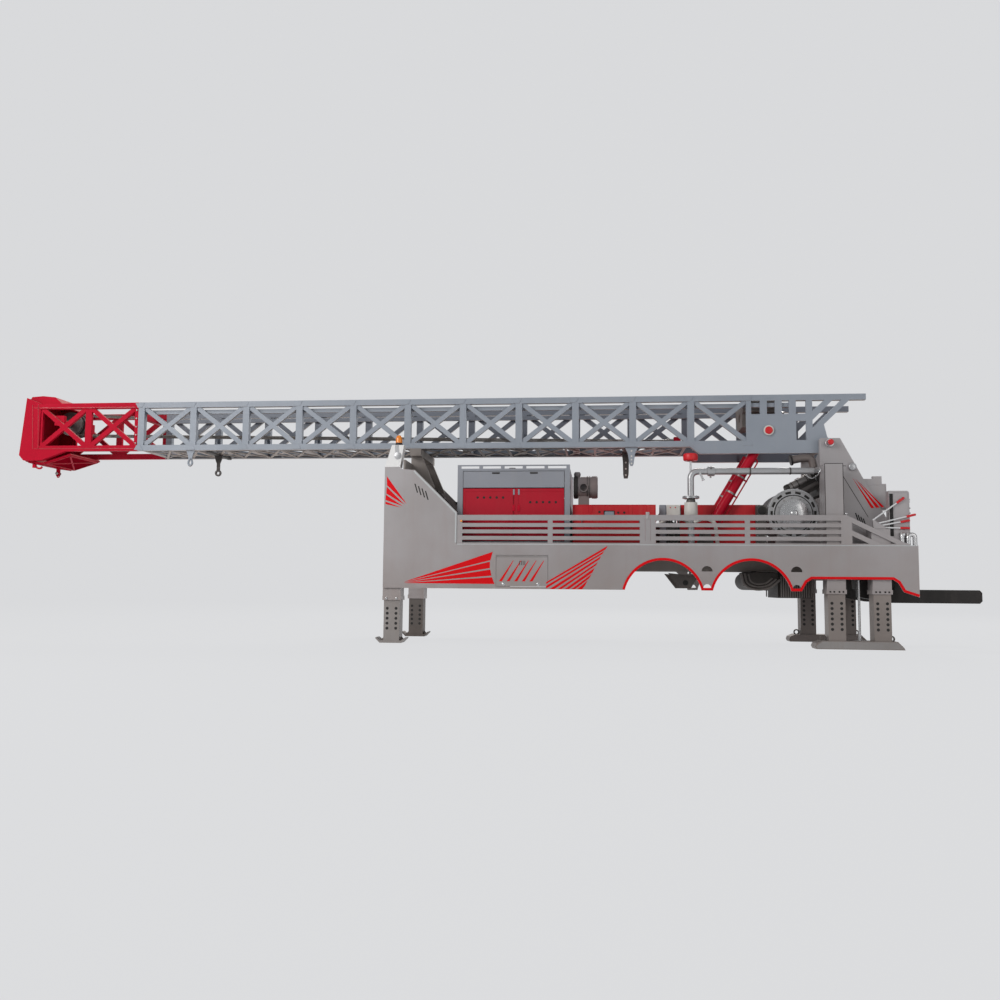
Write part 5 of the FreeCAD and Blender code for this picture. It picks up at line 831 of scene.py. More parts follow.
gussetSettings = {"rows": 12, "start": 0.025, "bay": 0.976, "inset": 0.012, "half": 0.085, "tip": 0.03825,
                  "tall": 0.085, "out": 0.0055}


# Gusset plates with a chamfered outline where the lattice's bars meet its chords, outside on both faces.
def addGussets(look):
    low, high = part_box("mast_side_left")
    half, tip = look["half"], look["tip"]
    flat = []
    for x in low.x + look["start"] + look["bay"] * np.arange(look["rows"]):
        for z, way in ((floorUnder + look["inset"], 1), (high.z - look["inset"], -1)):
            top = z + way * look["tall"]
            outline = [(x - half, z), (x + half, z), (x + tip, top), (x - tip, top)]
            flat.append(plate(outline, low.y - look["out"], low.y + sunk))
    addPair("latticeGussets", flat, "mastPaint", "mast", bevel=0.0015)


addGussets(gussetSettings)
print("mast details ready")


# engine canopy and its doors

canopySettings = {
    # rows of vents: X after the canopy's front, Z over the deck, pitch
    "vents": ((0.344, 0.794, 0.108), (1.234, 0.715, 0.107)), "ventCount": 5, "ventRadius": 0.021,
    "handles": (0.652, 1.293), "handleZ": 1.208, "well": (0.065, 0.014),
    "grip": [(-0.052, 0.0), (-0.0455, 0.016), (0.0455, 0.016), (0.052, 0.0)], "gripPipe": (0.0045, 0.008, 8),
    "split": 0.999, "pair": (-0.042, 0.042),
    # blocks either side of the split: finish, bevel, half width, how far out, low and high over the deck
    "doorHinges": ("canopyPaint", 0.002, 0.014, 0.006, 0.840, 0.935),
    "doorLatches": ("crimsonPaint", 0.003, 0.022, 0.007, 0.563, 0.673),
    "frame": (0.035, 0.045, 0.010, 0.0035),  # inset from the sides and from top and bottom, width, height
}


# Rows of round vents whose black mouths are painted shade, sunk handles, hinges, latches, and pressed frames
# in the doors' painted-shade red, on the canopy's long sides.
def trimCanopy(look):
    low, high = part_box("engine_canopy")
    y = low.y
    places = [(low.x + x + pitch * i, y, deckZ + z) for x, z, pitch in look["vents"]
              for i in range(look["ventCount"])]
    addPair("doorVents", stamped(mouth(look["ventRadius"], 20), places), "holeShadeAndSeamBlack")
    half, deep = look["well"]
    z = deckZ + look["handleZ"]
    wells = [[low.x + x - half, low.x + x + half, y - film, y + sunk, z - deep, z + deep]
             for x in look["handles"]]
    grips = [pipe([(low.x + x + dx, y - out, z) for dx, out in look["grip"]], *look["gripPipe"])
             for x in look["handles"]]
    addPair("flapWells", boxes(wells), "blackPaint", "canopy_flap_SIDE")
    addPair("flapGrips", grips, "darkSteel", "canopy_flap_SIDE")
    split = low.x + look["split"]
    for name in ("doorHinges", "doorLatches"):
        finish, bevel, half, out, foot, top = look[name]
        rows = [[split + dx - half, split + dx + half, y - out, y + sunk, deckZ + foot, deckZ + top]
                for dx in look["pair"]]
        addPair(name, boxes(rows), finish, bevel=bevel)
    low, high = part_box("canopy_doors")
    side, end, wide, tall = look["frame"]
    frames = [ribFrame(a + side, b - side, low.z + end, high.z - end, y, wide, tall)
              for a, b in ((low.x, split), (split, high.x))]
    addPair("doorFrames", frames, "shadedDoorPaint")


trimCanopy(canopySettings)

roofSettings = {
    "lids": ((0.30, 0.92), (1.02, 1.64)), "half": 0.62, "tall": 0.018, "roofDrop": 0.063,
    "stub": (0.88, -0.42),
    "stubProfile": [(-0.002, 0.0725), (0.008, 0.0725), (0.010, 0.058), (0.055, 0.058), (0.055, 0.04988),
                    (0.012, 0.04988)],
}


# Two shallow roof lids and a capped exhaust stub.
def trimRoof(look):
    low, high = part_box("engine_canopy")
    roof, half = high.z - look["roofDrop"], look["half"]
    top = roof + look["tall"]
    lids = [[low.x + start, low.x + end, -half, half, roof - sunk, top] for start, end in look["lids"]]
    addPiece("roofLids", boxes(lids), "canopyPaint", bevel=0.006)
    x, y = look["stub"]
    addPiece("exhaustStub", turned(look["stubProfile"], (low.x + x, y, top), upward), "darkSteel")


trimRoof(roofSettings)

cleanerSettings = {
    "centre": (-0.760, 2.620),
    # round pieces along the cleaner: finish, X after its front end, profile
    "rounds": {
        "cleanerCap": ("blackPaint", 0.012, [(-0.004, 0.0979), (-0.010, 0.1335), (-0.006, 0.182),
                                             (0.0, 0.192), (0.055, 0.192), (0.061, 0.179)]),
        "cleanerBands": ("darkSteel", 0.225, band(0, 0.014, 0.177, 0.184), 0.262),
        "cleanerCover": ("cleanerGrey", 0.405, [(-0.10, 0.177), (-0.10, 0.188), (-0.085, 0.190),
                                                (-0.012, 0.187), (-0.002, 0.17266), (0.0, 0.1424),
                                                (-0.008, 0.13884), (-0.008, 0.0534), (0.002, 0.04628),
                                                (0.002, 0.01)]),
    },
    "inlet": (0.170, 0.020, 2.600),
    "inletSection": [(0.0, 0.056), (0.016, 0.056), (0.020, 0.062), (0.016, 0.078), (-0.03, 0.082),
                     (-0.03, 0.068)],
    "rainCap": (0.062, 0.070),
    "rainProfile": [(-0.03, 0.047), (0.0, 0.050), (0.012, 0.056), (0.045, 0.058), (0.062, 0.046),
                    (0.070, 0.020)],
    "bolts": (0.232, 0.269), "boltRise": 0.182, "bolt": (0.010, 0.010),
}


# Air cleaner: end cap, clamp bands, ribbed rear cover, inlet ring, rain cap and clamp bolts, all turned.
def dressCleaner(look):
    low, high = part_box("air_cleaner")
    y, z = look["centre"]
    for name, (finish, first, profile, *more) in look["rounds"].items():
        addPiece(name, [turned(profile, (low.x + x, y, z), rearward, 40) for x in (first, *more)], finish)
    x, out, inletZ = look["inlet"]
    addPiece("inletRing", hoop(look["inletSection"], (low.x + x, low.y + out, inletZ), outward), "blackPaint")
    x, drop = look["rainCap"]
    addPiece("rainCap", turned(look["rainProfile"], (low.x + x, y, high.z - drop), upward), "cleanerGrey")
    places = [(low.x + x, y, z + look["boltRise"]) for x in look["bolts"]]
    addPiece("cleanerBolts", stamped(hexHead(upward, *look["bolt"]), places), "plainSteel")


dressCleaner(cleanerSettings)
print("canopy and air cleaner ready")


# cabinets, pump and standpipe

cabinetSettings = {
    "vents": ((2.213, 2.198), (2.525, 2.187), (2.624, 2.187)), "ventRadius": 0.020,
    "slot": (2.290, 2.458, 2.138, 2.214), "slotProud": 0.0014, "slotRim": (0.016, 0.008),
    "seams": (2.06, 2.72, 3.02, 3.144), "inset": 0.03, "beadLow": 0.05, "beadTop": 2.315,
    "bead": (0.012, 0.004),
    "handles": (1.92, 2.87), "handle": [(0.001, 2.02), (-0.030, 2.02), (-0.030, 2.14), (0.001, 2.14)],
    "handlePipe": (0.007, 0.012, 8),
}


# Vents whose black mouths are painted shade, a framed slot, panel beads in the cabinets' painted-sunlight red
# and handles on the cabinets' long sides.
def trimCabinets(look):
    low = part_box("cabinets")[0]
    y = low.y
    addPair("cabinetVents", stamped(mouth(look["ventRadius"], 18), atDepth(look["vents"], y)), "holeShadeAndSeamBlack")
    x0, x1, z0, z1 = look["slot"]
    addPair("cabinetSlot", boxes([x0, x1, y - look["slotProud"], y + sunk, z0, z1]), "mastPaint")
    addPair("slotRim", ribFrame(*look["slot"], y, *look["slotRim"]), "blackPaint")
    edges = (low.x, *look["seams"])
    inset, foot, top = look["inset"], deckZ + look["beadLow"], look["beadTop"]
    beads = [ribFrame(a + inset, b - inset, foot, top, y, *look["bead"])
             for a, b in zip(edges[:-1], edges[1:])]
    addPair("cabinetBeads", beads, "sunlitCabinetPaint")
    grips = [pipe([(x, y + out, z) for out, z in look["handle"]], *look["handlePipe"])
             for x in look["handles"]]
    addPair("cabinetGrips", grips, "darkSteel")


trimCabinets(cabinetSettings)

traySettings = {
    "box": (3.332, 3.560), "boxHeights": (2.160, 2.333), "boxOut": 0.026,
    "post": (3.222, 3.318), "postOut": 0.020, "postDrop": 0.004, "back": 0.002,
    "lamps": ((3.397, 2.287), (3.480, 2.287)), "lamp": (0.010, 0.008),
    "feeds": [[(3.20, -0.95, 1.99), (3.34, -0.95, 2.10), (3.60, -0.92, 2.08), (3.69, -0.82, 2.01)],
              [(3.78, -0.82, 2.03), (3.94, -0.92, 2.10), (4.10, -0.95, 2.02), (4.14, -0.95, 1.641)]],
    "feed": (0.030, 0.07, 14),
    "ports": (3.362, 3.417, 3.472, 3.527), "hose": (0.014, 0.05, 10),
    "drop": [(0, 0.01, 2.12), (0, -0.05, 2.12), (0.01, -0.05, 1.72), (0.01, -0.05, 1.638)],
}


# Pale junction box with two red lamps on the tray, its grey post, white feed pipes and black deck pipes.
def dressTray(look):
    low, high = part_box("valve_tray")
    y, back = low.y, low.y + look["back"]
    box = [*look["box"], y - look["boxOut"], back, *look["boxHeights"]]
    addPiece("trayBox", boxes(box), "valveWhite", bevel=0.004)
    post = [*look["post"], y - look["postOut"], back, deckZ, high.z - look["postDrop"]]
    addPiece("trayPost", boxes(post), "canopyPaint", bevel=0.004)
    lamps = stamped(stud(outward, *look["lamp"]), atDepth(look["lamps"], y - look["boxOut"]))
    addPiece("trayLamps", lamps, "gripRed")
    addPiece("feedPipes", [pipe(path, *look["feed"]) for path in look["feeds"]], "valveWhite", angle=60)
    drops = [pipe(np.array(look["drop"]) + [x, y, 0], *look["hose"]) for x in look["ports"]]
    addPiece("trayPipes", drops, "rubber", angle=60)


dressTray(traySettings)

pumpSettings = {
    "centreRise": 0.27,
    "cover": [(-0.002, 0.17), (0.012, 0.17), (0.016, 0.164), (0.016, 0.10), (0.030, 0.09), (0.034, 0.03)],
    "bolts": 8, "boltRing": 0.145, "boltOut": 0.014, "bolt": (0.011, 0.010),
    "ribs": 4, "rib": (0.04, 0.052, 0.05, 0.002, 0.022), "ribPitch": 0.08,
}


# Pump: a bolted end cover on each side and cooling ribs over its top.
def dressPump(look):
    low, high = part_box("mud_pump")
    cx, cz = (low.x + high.x) / 2, low.z + look["centreRise"]
    covers, heads = [], []
    for y, way in ((low.y, -1), (high.y, 1)):
        covers.append(turned(look["cover"], (cx, y, cz), (0, way, 0), 36))
        ring = circleOf(look["bolts"], look["boltRing"], (cx, y + way * look["boltOut"], cz))
        heads.append(stamped(hexHead((0, way, 0), *look["bolt"]), ring))
    addPiece("pumpCovers", covers, "darkSteel")
    addPiece("pumpBolts", heads, "plainSteel")
    start, end, inset, foot, tall = look["rib"]
    ribs = [[x + start, x + end, low.y + inset, high.y - inset, high.z - foot, high.z + tall]
            for x in low.x + look["ribPitch"] * np.arange(look["ribs"])]
    addPiece("pumpRibs", boxes(ribs), "darkSteel", bevel=0.003)


dressPump(pumpSettings)

standpipeSettings = {
    "place": (3.729, -0.760), "level": 2.885,
    # upright pieces of (z, radius) pairs
    "globe": [(2.150, 0.108), (2.158, 0.112), (2.230, 0.112), (2.290, 0.109), (2.330, 0.107),
              (2.362, 0.1065)],
    "neck": [(2.358, 0.106), (2.364, 0.080), (2.400, 0.072), (2.428, 0.070)],
    "seam": band(2.4455, 2.4495, 0.1375, 0.1415),
    "bolts": 8, "boltRing": 0.105, "boltTurn": 0.2, "boltHeights": ((1, 2.465), (-1, 2.430)),
    "bolt": (0.010, 0.012),
    "unionX": 4.056,
    "nut": [(-0.055, 0.052), (-0.050, 0.067), (-0.020, 0.075), (0.020, 0.075), (0.050, 0.067),
            (0.055, 0.052)],
    "lugs": (0.5, 2.6, 4.7), "lugReach": (0.06, 0.108), "lug": bar(-0.016, 0.016, -0.014, 0.014),
    "tapBody": [(3.860, -0.760, 2.865), (3.880, -0.815, 2.845)], "tapBodyRadius": 0.022,
    "tapSpout": [(3.876, -0.815, 2.862), (3.930, -0.820, 2.735)], "tapSpoutRadius": 0.017,
    "tapEnd": (3.925, -0.820, 2.745), "tapEndAxis": (0.4, 0, -1),
    "tapEndProfile": [(0, 0.024), (0.024, 0.024)],
    "bands": (4.70, 5.35), "band": band(-0.012, 0.012, 0.049, 0.060),
}


# Standpipe: a white globe body turned on the riser, bolted flange, hammer union with lugs, petcock and bands.
def dressStandpipe(look):
    x, y = look["place"]
    level = look["level"]
    addPiece("globeBody", turned(look["globe"], (x, y, 0), upward, 32), "valveWhite")
    addPiece("globeNeck", turned(look["neck"], (x, y, 0), upward), "darkSteel")
    addPiece("flangeSeam", hoop(look["seam"], (x, y, 0), upward, 32), "holeShadeAndSeamBlack")
    heads = [stamped(hexHead((0, 0, way), *look["bolt"]),
                     circleOf(look["bolts"], look["boltRing"], (x, y, z), "XY", look["boltTurn"]))
             for way, z in look["boltHeights"]]
    addPiece("flangeBolts", heads, "plainSteel")
    centre = np.array([look["unionX"], y, level])
    parts = [turned(look["nut"], centre, rearward, 12)]
    for turn in look["lugs"]:
        reach = np.array([0, math.cos(turn), math.sin(turn)])
        parts.append(carried([centre + reach * r for r in look["lugReach"]], look["lug"], rearward))
    addPiece("hammerUnion", parts, "plainSteel", angle=25)
    tap = [carried(look["tapBody"], roundOf(look["tapBodyRadius"])),
           carried(look["tapSpout"], roundOf(look["tapSpoutRadius"])),
           turned(look["tapEndProfile"], look["tapEnd"], look["tapEndAxis"], 12)]
    addPiece("petcock", tap, "brightSteel")
    bands = [turned(look["band"], (bx, y, level), rearward, 24) for bx in look["bands"]]
    addPiece("pipeBands", bands, "darkSteel")


dressStandpipe(standpipeSettings)

wheelSettings = {
    "tube": 0.034, "past": 0.018, "tall": 0.062, "softness": (0.6, 0.7), "steps": 14,
    "hub": [(-0.02, 0.024), (0.02, 0.0264)], "spokes": 4, "spokeTurn": 0.4, "spoke": 0.012,
    "stemFoot": [(0, 0.024), (0.03, 0.024), (0.032, 0.016)],
    "stemHead": [(0.02, 0.016), (0.022, 0.022), (0.036, 0.022)],
}


# Red hand wheel in place of the plain puck: a hub, spokes, a stem and a thick rim. The rim's section is a
# squared circle, tall * |sin t|^0.6 high and tube * |cos t|^0.7 wide with the signs of sin t and cos t.
def makeHandWheel(look):
    low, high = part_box("hand_valve")
    cx, cy, mid = (low.x + high.x) / 2, (low.y + high.y) / 2, high.z - look["tall"]
    rim = (high.x - low.x) / 2 + look["past"] - look["tube"]
    t = anglesOf(look["steps"])
    rise, reach = (np.sign(wave) * np.abs(wave) ** soft
                   for wave, soft in zip((np.sin(t), np.cos(t)), look["softness"]))
    section = np.column_stack([look["tall"] * rise, rim + look["tube"] * reach])
    parts = [hoop(section, (cx, cy, mid), upward, 40), turned(look["hub"], (cx, cy, mid), upward, 20)]
    for end in circleOf(look["spokes"], rim, (cx, cy, mid), "XY", look["spokeTurn"]):
        parts.append(carried([(cx, cy, mid), end], roundOf(look["spoke"], 10)))
    wheel = addPiece("handWheel", parts, "gripRed", angle=50)
    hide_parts("hand_valve")
    stem = [(low.z + z, r) for z, r in look["stemFoot"]] + [(mid + z, r) for z, r in look["stemHead"]]
    addPiece("valveStem", turned(stem, (cx, cy, 0), upward, 18), "brightSteel")


makeHandWheel(wheelSettings)
print("cabinets, pump and standpipe ready")


# lift cylinders

cylinderSettings = {
    "foot": (3.989, 1.830), "head": (5.039, 3.590), "apart": 0.450, "headRoom": 0.12,
    "bandAt": (0.52, 0.72), "band": band(0, 0.030, 0.076, 0.086),
    "lineOut": 0.128, "lineRadius": 0.012, "tapOut": 0.06, "tapAt": (0.16, 0.20, 0.06, 0.02),
    "clipOut": (0.07, 0.142), "clip": bar(-0.012, 0.012, -0.02, 0.02),
}


# Bands and steel pipes along each lift barrel, on the barrel's own line from its foot to its head.
def dressCylinders(look):
    foot, head = (np.array([x, 0.0, z]) for x, z in (look["foot"], look["head"]))
    along = (head - foot) / np.linalg.norm(head - foot)
    out = np.array([along[2], 0, -along[0]])
    long = (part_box("lift_barrels")[1].z - foot[2]) / along[2] - look["headRoom"]
    start, bend, unbend, end = look["tapAt"]
    bands, lines = [], []
    for side in bothSides:
        base = foot + [0, side * look["apart"], 0]
        places = [base + along * long * share for share in look["bandAt"]]
        bands += [turned(look["band"], place, along, 32) for place in places]
        tap, edge = base + out * look["tapOut"], base + out * look["lineOut"]
        lines.append(pipe([tap + along * start, edge + along * bend, edge + along * (long - unbend),
                           tap + along * (long - end)], look["lineRadius"], 0.04, 10))
        lines += [carried([place + out * reach for reach in look["clipOut"]], look["clip"], across)
                  for place in places]
    addPiece("barrelBands", bands, "plainSteel", "lift_barrels")
    addPiece("barrelLines", lines, "crimsonPaint", "lift_barrels")


dressCylinders(cylinderSettings)
print("lift cylinders ready")


# winch

winchSettings = {
    "axle": (5.427, 2.188), "face": -0.590, "boss": -0.650,
    "dome": [(-0.002, 0.232), (0.006, 0.232), (0.012, 0.205), (0.022, 0.17), (0.028, 0.12), (0.030, 0.06),
             (0.040, 0.055), (0.044, 0.03)],
    "rims": ([(-0.002, 0.398), (-0.002, 0.420), (0.004, 0.418), (0.004, 0.400)],
             [(-0.002, 0.318), (-0.002, 0.328), (0.004, 0.326), (0.004, 0.320)]),
    "groove": band(-sunk, film, 0.300, 0.317), "windows": band(-0.030, -0.012, 0.331, 0.379),
    "bolts": 12, "boltRing": 0.266, "boltY": -0.605, "boltTurn": 0.1, "bolt": (0.011, 0.012),
    # rope's radius, half the drum's length and the radius under the top layer
    "rope": 0.0118, "half": 0.355, "wound": 0.260,
    "bearing": [(-0.001, 0.102), (0.012, 0.102), (0.016, 0.096), (0.016, 0.066), (0.022, 0.0625)],
    "bearingY": 0.490, "bearingBolts": 6, "bearingRing": 0.083, "bearingBoltY": 0.505,
    "bearingBolt": (0.010, 0.010),
}


# Brake disc with bright rims, painted shade in its groove and behind its windows, a domed bolted cover and a
# wound rope, whose radius is the layer under it plus the rope's radius times |sin| of the way along it.
def dressWinch(look):
    x, z = look["axle"]
    face, drum = (x, look["face"], z), "winch_drum"
    addPiece("discRims", [hoop(rim, face, outward, 72) for rim in look["rims"]], "brightSteel", drum)
    addPiece("discGrooveShade", hoop(look["groove"], face, outward, 72), "holeShadeAndSeamBlack", drum)
    addPiece("windowShadeRing", hoop(look["windows"], face, outward, 72), "holeShadeAndSeamBlack", drum)
    addPiece("coverDome", turned(look["dome"], (x, look["boss"], z), outward, 64), "brightSteel", drum,
             angle=60)
    ring = circleOf(look["bolts"], look["boltRing"], (x, look["boltY"], z), start=look["boltTurn"])
    addPiece("coverBolts", stamped(hexHead(outward, *look["bolt"]), ring), "plainSteel", drum)
    half, rope = look["half"], look["rope"]
    stepsPerTurn = 6
    along = np.linspace(-half, half, int(half / rope) * stepsPerTurn + 1)
    wave = np.abs(np.sin((along + half) / (2 * rope) * math.pi))
    profile = np.column_stack([along, look["wound"] + rope * wave])
    addPiece("woundRope", turned(profile, (x, 0, z), across, 40), "ropeSteel", drum, slot="dark_steel",
             angle=80)
    caps = [turned(look["bearing"], (x, side * look["bearingY"], z), (0, side, 0), 36) for side in bothSides]
    addPiece("bearingCaps", caps, "darkSteel")
    heads = [stamped(hexHead((0, side, 0), *look["bearingBolt"]),
                     circleOf(look["bearingBolts"], look["bearingRing"], (x, side * look["bearingBoltY"], z)))
             for side in bothSides]
    addPiece("bearingBolts", heads, "plainSteel")


dressWinch(winchSettings)

gearSettings = {
    "motor": (4.912, 2.240), "fins": 6, "finStart": 0.020, "finPitch": 0.013,
    "fin": band(-0.003, 0.003, 0.076, 0.090),
    "bell": [(-0.001, 0.072), (0.008, 0.070), (0.014, 0.050), (0.016, 0.02)],
    "boltInset": 0.022, "boltY": 0.1, "boltLow": 0.06, "boltPitch": 0.125, "bolt": (0.009, 0.009),
}


# Cooling fins and an end bell on the winch motor, and bolts on its gearbox.
def dressGearbox(look):
    x, z = look["motor"]
    low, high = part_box("winch_gearbox")
    fins = [hoop(look["fin"], (x, y, z), across, 32)
            for y in low.y + look["finStart"] + look["finPitch"] * np.arange(look["fins"])]
    addPiece("motorFins", fins, "darkSteel")
    addPiece("motorBell", turned(look["bell"], (x, low.y, z), outward), "blackPaint")
    places = [(x, low.y + look["boltY"], z) for x in (low.x + look["boltInset"], high.x - look["boltInset"])
              for z in np.arange(deckZ + look["boltLow"], high.z, look["boltPitch"])]
    addPiece("gearBolts", stamped(hexHead(outward, *look["bolt"]), places), "plainSteel")


dressGearbox(gearSettings)

brakeSettings = {
    "start": (5.338, -0.480, 2.610), "end": (5.832, -0.480, 2.873),
    "barrel": [(0.055, 0.063), (0.057, 0.068), (0.45, 0.068), (0.452, 0.063)],
    "cap": [(-0.030, 0.045), (-0.024, 0.062), (0.0, 0.073), (0.050, 0.073), (0.056, 0.066)],
    "bands": [band(s, s + 0.014, 0.066, 0.074) for s in (0.10, 0.20, 0.36, 0.40)],
    "lower": [(0.16, 0.04), (0.17, 0.052), (0.49, 0.052), (0.50, 0.04)], "lowerDrop": 0.150, "lowerOut": 0.03,
    "elbow": [(5.400, -0.600, 3.085), (5.560, -0.600, 3.120), (5.735, -0.600, 3.120), (5.765, -0.600, 2.960)],
    "elbowPipe": (0.068, 0.10, 20), "flange": [(-0.016, 0.088), (0.016, 0.088)], "flangeAxis": (-1, 0, -0.2),
    "loop": [(5.572, -0.760, 2.930), (5.600, -0.760, 2.825), (5.690, -0.760, 2.745), (5.805, -0.760, 2.815),
             (5.850, -0.760, 2.930)], "loopPipe": (0.011, 0.09),
}


# Brake motor: a bright barrel with bands and a black end, a lower barrel, a thick elbow and a thin loop pipe.
def dressBrake(look):
    start, end = np.array(look["start"]), np.array(look["end"])
    along = (end - start) / np.linalg.norm(end - start)
    under = np.array([along[2], 0, -along[0]])
    addPiece("brakeBarrel", turned(look["barrel"], start, along, 36), "plainSteel")
    addPiece("brakeCap", turned(look["cap"], start, along, 36), "blackPaint")
    addPiece("brakeBands", [hoop(section, start, along) for section in look["bands"]], "darkSteel")
    lower = start + under * look["lowerDrop"] - [0, look["lowerOut"], 0]
    addPiece("brakeLower", turned(look["lower"], lower, along), "darkSteel")
    addPiece("brakeElbow", pipe(look["elbow"], *look["elbowPipe"]), "darkAndShadedLegPaint", angle=60)
    addPiece("elbowFlange", turned(look["flange"], look["elbow"][0], look["flangeAxis"]), "blackPaint")
    addPiece("loopPipe", pipe(look["loop"], *look["loopPipe"]), "brightSteel", angle=60)


dressBrake(brakeSettings)
print("winch and brake ready")


# rear end

pivotSettings = {
    "pivot": (5.989, 3.350), "boss": (6.346, 2.950), "face": -0.795,
    # turned profiles of (height, radius) pairs
    "ring": [(-0.002, 0.061), (-0.002, 0.069), (0.006, 0.069), (0.010, 0.064), (0.010, 0.050), (0.004, 0.046),
             (-0.002, 0.046)],
    "pin": [(-0.002, 0.040), (0.060, 0.040)],
    "cap": [(0.060, 0.040), (0.062, 0.046), (0.094, 0.046), (0.100, 0.038), (0.102, 0.02)],
    "button": [(-0.002, 0.060), (0.004, 0.060), (0.010, 0.052), (0.014, 0.034), (0.016, 0.014)],
}


# Pivot pins: a bright ring, a pin that stands out and a red cap; a bright button on the lower boss.
def dressPivots(look):
    pivot, boss = atDepth((look["pivot"], look["boss"]), look["face"])
    ring = [hoop(look["ring"], pivot, outward, 40), turned(look["pin"], pivot, outward, 32)]
    addPair("pivotRing", ring, "brightSteel")
    addPair("pivotCap", turned(look["cap"], pivot, outward, 32), "gripRed")
    addPair("bossButton", turned(look["button"], boss, outward, 36), "pipeSilver", slot="steel", angle=60)


dressPivots(pivotSettings)

seamSettings = {
    "wide": 0.009, "proud": 0.0015,
    "frame": [[(6.104, 2.968), (6.585, 2.120)], [(6.098, 2.968), (6.250, 2.968)]],
    "post": [[(5.806, 2.953), (6.092, 2.953)], [(5.8075, 2.950), (5.8075, 1.66)],
             [(6.0905, 2.950), (6.0905, 1.66)]],
    "vents": [(6.375, 2.190), (6.415, 2.160), (6.455, 2.130), (6.495, 2.100)],
    "frontVents": [(-0.86, 2.640), (-0.80, 2.600), (-0.74, 2.560), (-0.68, 2.520)],
    "ventRun": (0.045, -0.150), "ventWide": 0.020, "ventSunk": 0.0005,
}


# Dark seams where plates meet on the rear frames and posts, and rows of plain slanted vents whose black is
# painted shade.
def drawSeams(look):
    section = bar(-look["wide"] / 2, look["wide"] / 2, -look["proud"], sunk)
    seams = [carried(atDepth(path, y), section, across)
             for paths, y in ((look["frame"], frameY), (look["post"], postY)) for path in paths]
    addPair("plateSeams", seams, "blackPaint")
    dx, dz = look["ventRun"]
    outline = np.array([(0, 0), (look["ventWide"], 0), (look["ventWide"] + dx, dz), (dx, dz)])
    cuts = [plate(outline + place, y - film, y + look["ventSunk"])
            for places, y in ((look["vents"], frameY), (look["frontVents"], panelY)) for place in places]
    addPair("slantVents", cuts, "holeShadeAndSeamBlack")


drawSeams(seamSettings)

leverSettings = {
    "y": -1.162, "rod": 0.012, "rodShort": 0.01,
    "levers": [((6.539, 2.040), (7.034, 2.405)), ((6.589, 1.985), (7.204, 2.136)),
               ((6.649, 1.955), (7.112, 2.042)), ((6.669, 1.925), (7.108, 1.917))],
    "grip": [(-0.150, 0.013), (-0.146, 0.019), (-0.012, 0.019), (-0.003, 0.0152), (0, 0.0076)],
    "body": [(6.545, 1.9005), (6.740, 1.9005), (6.720, 1.940), (6.610, 2.010), (6.555, 2.050),
             (6.535, 2.030)],
    "bodyDepth": (-1.1885, -1.132),
}


# Lever valve in place of the plain one: a cast body, bright round rods and red grips.
def makeLevers(look):
    body = plate(look["body"], *look["bodyDepth"])
    body = addPiece("leverBody", body, "silverPaint", slot="dark_steel", bevel=0.006)
    rods, grips = [], []
    for ends in look["levers"]:
        start, tip = np.array(atDepth(ends, look["y"]))
        along = (tip - start) / np.linalg.norm(tip - start)
        rods.append(carried([start, tip - along * look["rodShort"]], roundOf(look["rod"], 14)))
        grips.append(turned(look["grip"], tip, along, 18))
    rod = addPiece("leverRods", rods, "hornWhite")
    grip = addPiece("leverGrips", grips, "gripRed", angle=50)
    for piece in (body, rod, grip):
        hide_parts("control_levers")


makeLevers(leverSettings)

deskSettings = {
    "slot": (6.812, 6.868, 1.790, 2.470), "slotProud": 0.0015,
    "beadStart": 6.882, "beadLow": 1.700, "beadInset": (0.022, 0.030), "bead": (0.010, 0.004),
    "dials": (0.045, 0.120), "dialZ": 2.36,
    "dial": [(0, 0.036), (0.012, 0.036), (0.016, 0.032), (0.016, 0.030), (0.010, 0.029)],
    "dialFace": [(0.0105, 0.029), (0.0112, 0.029)],
    "knobs": 4, "knobRows": (2.24, 2.16), "knobStart": 0.03, "knobPitch": 0.035, "knob": (0.011, 0.020),
    "elbows": [[(6.979, -1.168, 1.66), (6.979, -1.168, 1.815), (7.020, -1.168, 1.815)],
               [(7.074, -1.168, 1.66), (7.074, -1.168, 1.815), (7.176, -1.168, 1.815),
                (7.176, -1.168, 1.56)]],
    "elbow": (0.0355, 0.05, 18),
}


# Operator's panel: a black gap at its front edge that is painted shade, a bead round its face, dials and
# knobs on its rear side, and chrome elbows on the delivery pipes.
def dressDesk(look):
    low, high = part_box("operator_panel")
    x0, x1, z0, z1 = look["slot"]
    addPiece("deskSlot", boxes([x0, x1, low.y - look["slotProud"], low.y + sunk, z0, z1]), "holeShadeAndSeamBlack")
    rear, top = look["beadInset"]
    bead = ribFrame(look["beadStart"], high.x - rear, look["beadLow"], high.z - top, low.y, *look["bead"])
    addPiece("deskBead", bead, "silverPaint")
    places = [(high.x, low.y + inset, look["dialZ"]) for inset in look["dials"]]
    addPiece("deskDials", [turned(look["dial"], place, rearward) for place in places], "brightSteel")
    addPiece("deskFaces", [turned(look["dialFace"], place, rearward) for place in places], "valveWhite")
    places = [(high.x, low.y + look["knobStart"] + look["knobPitch"] * i, z)
              for i in range(look["knobs"]) for z in look["knobRows"]]
    addPiece("deskKnobs", stamped(stud(rearward, *look["knob"]), places), "blackPaint")
    addPiece("rearElbows", [pipe(path, *look["elbow"]) for path in look["elbows"]], "brightSteel", angle=60)


dressDesk(deskSettings)

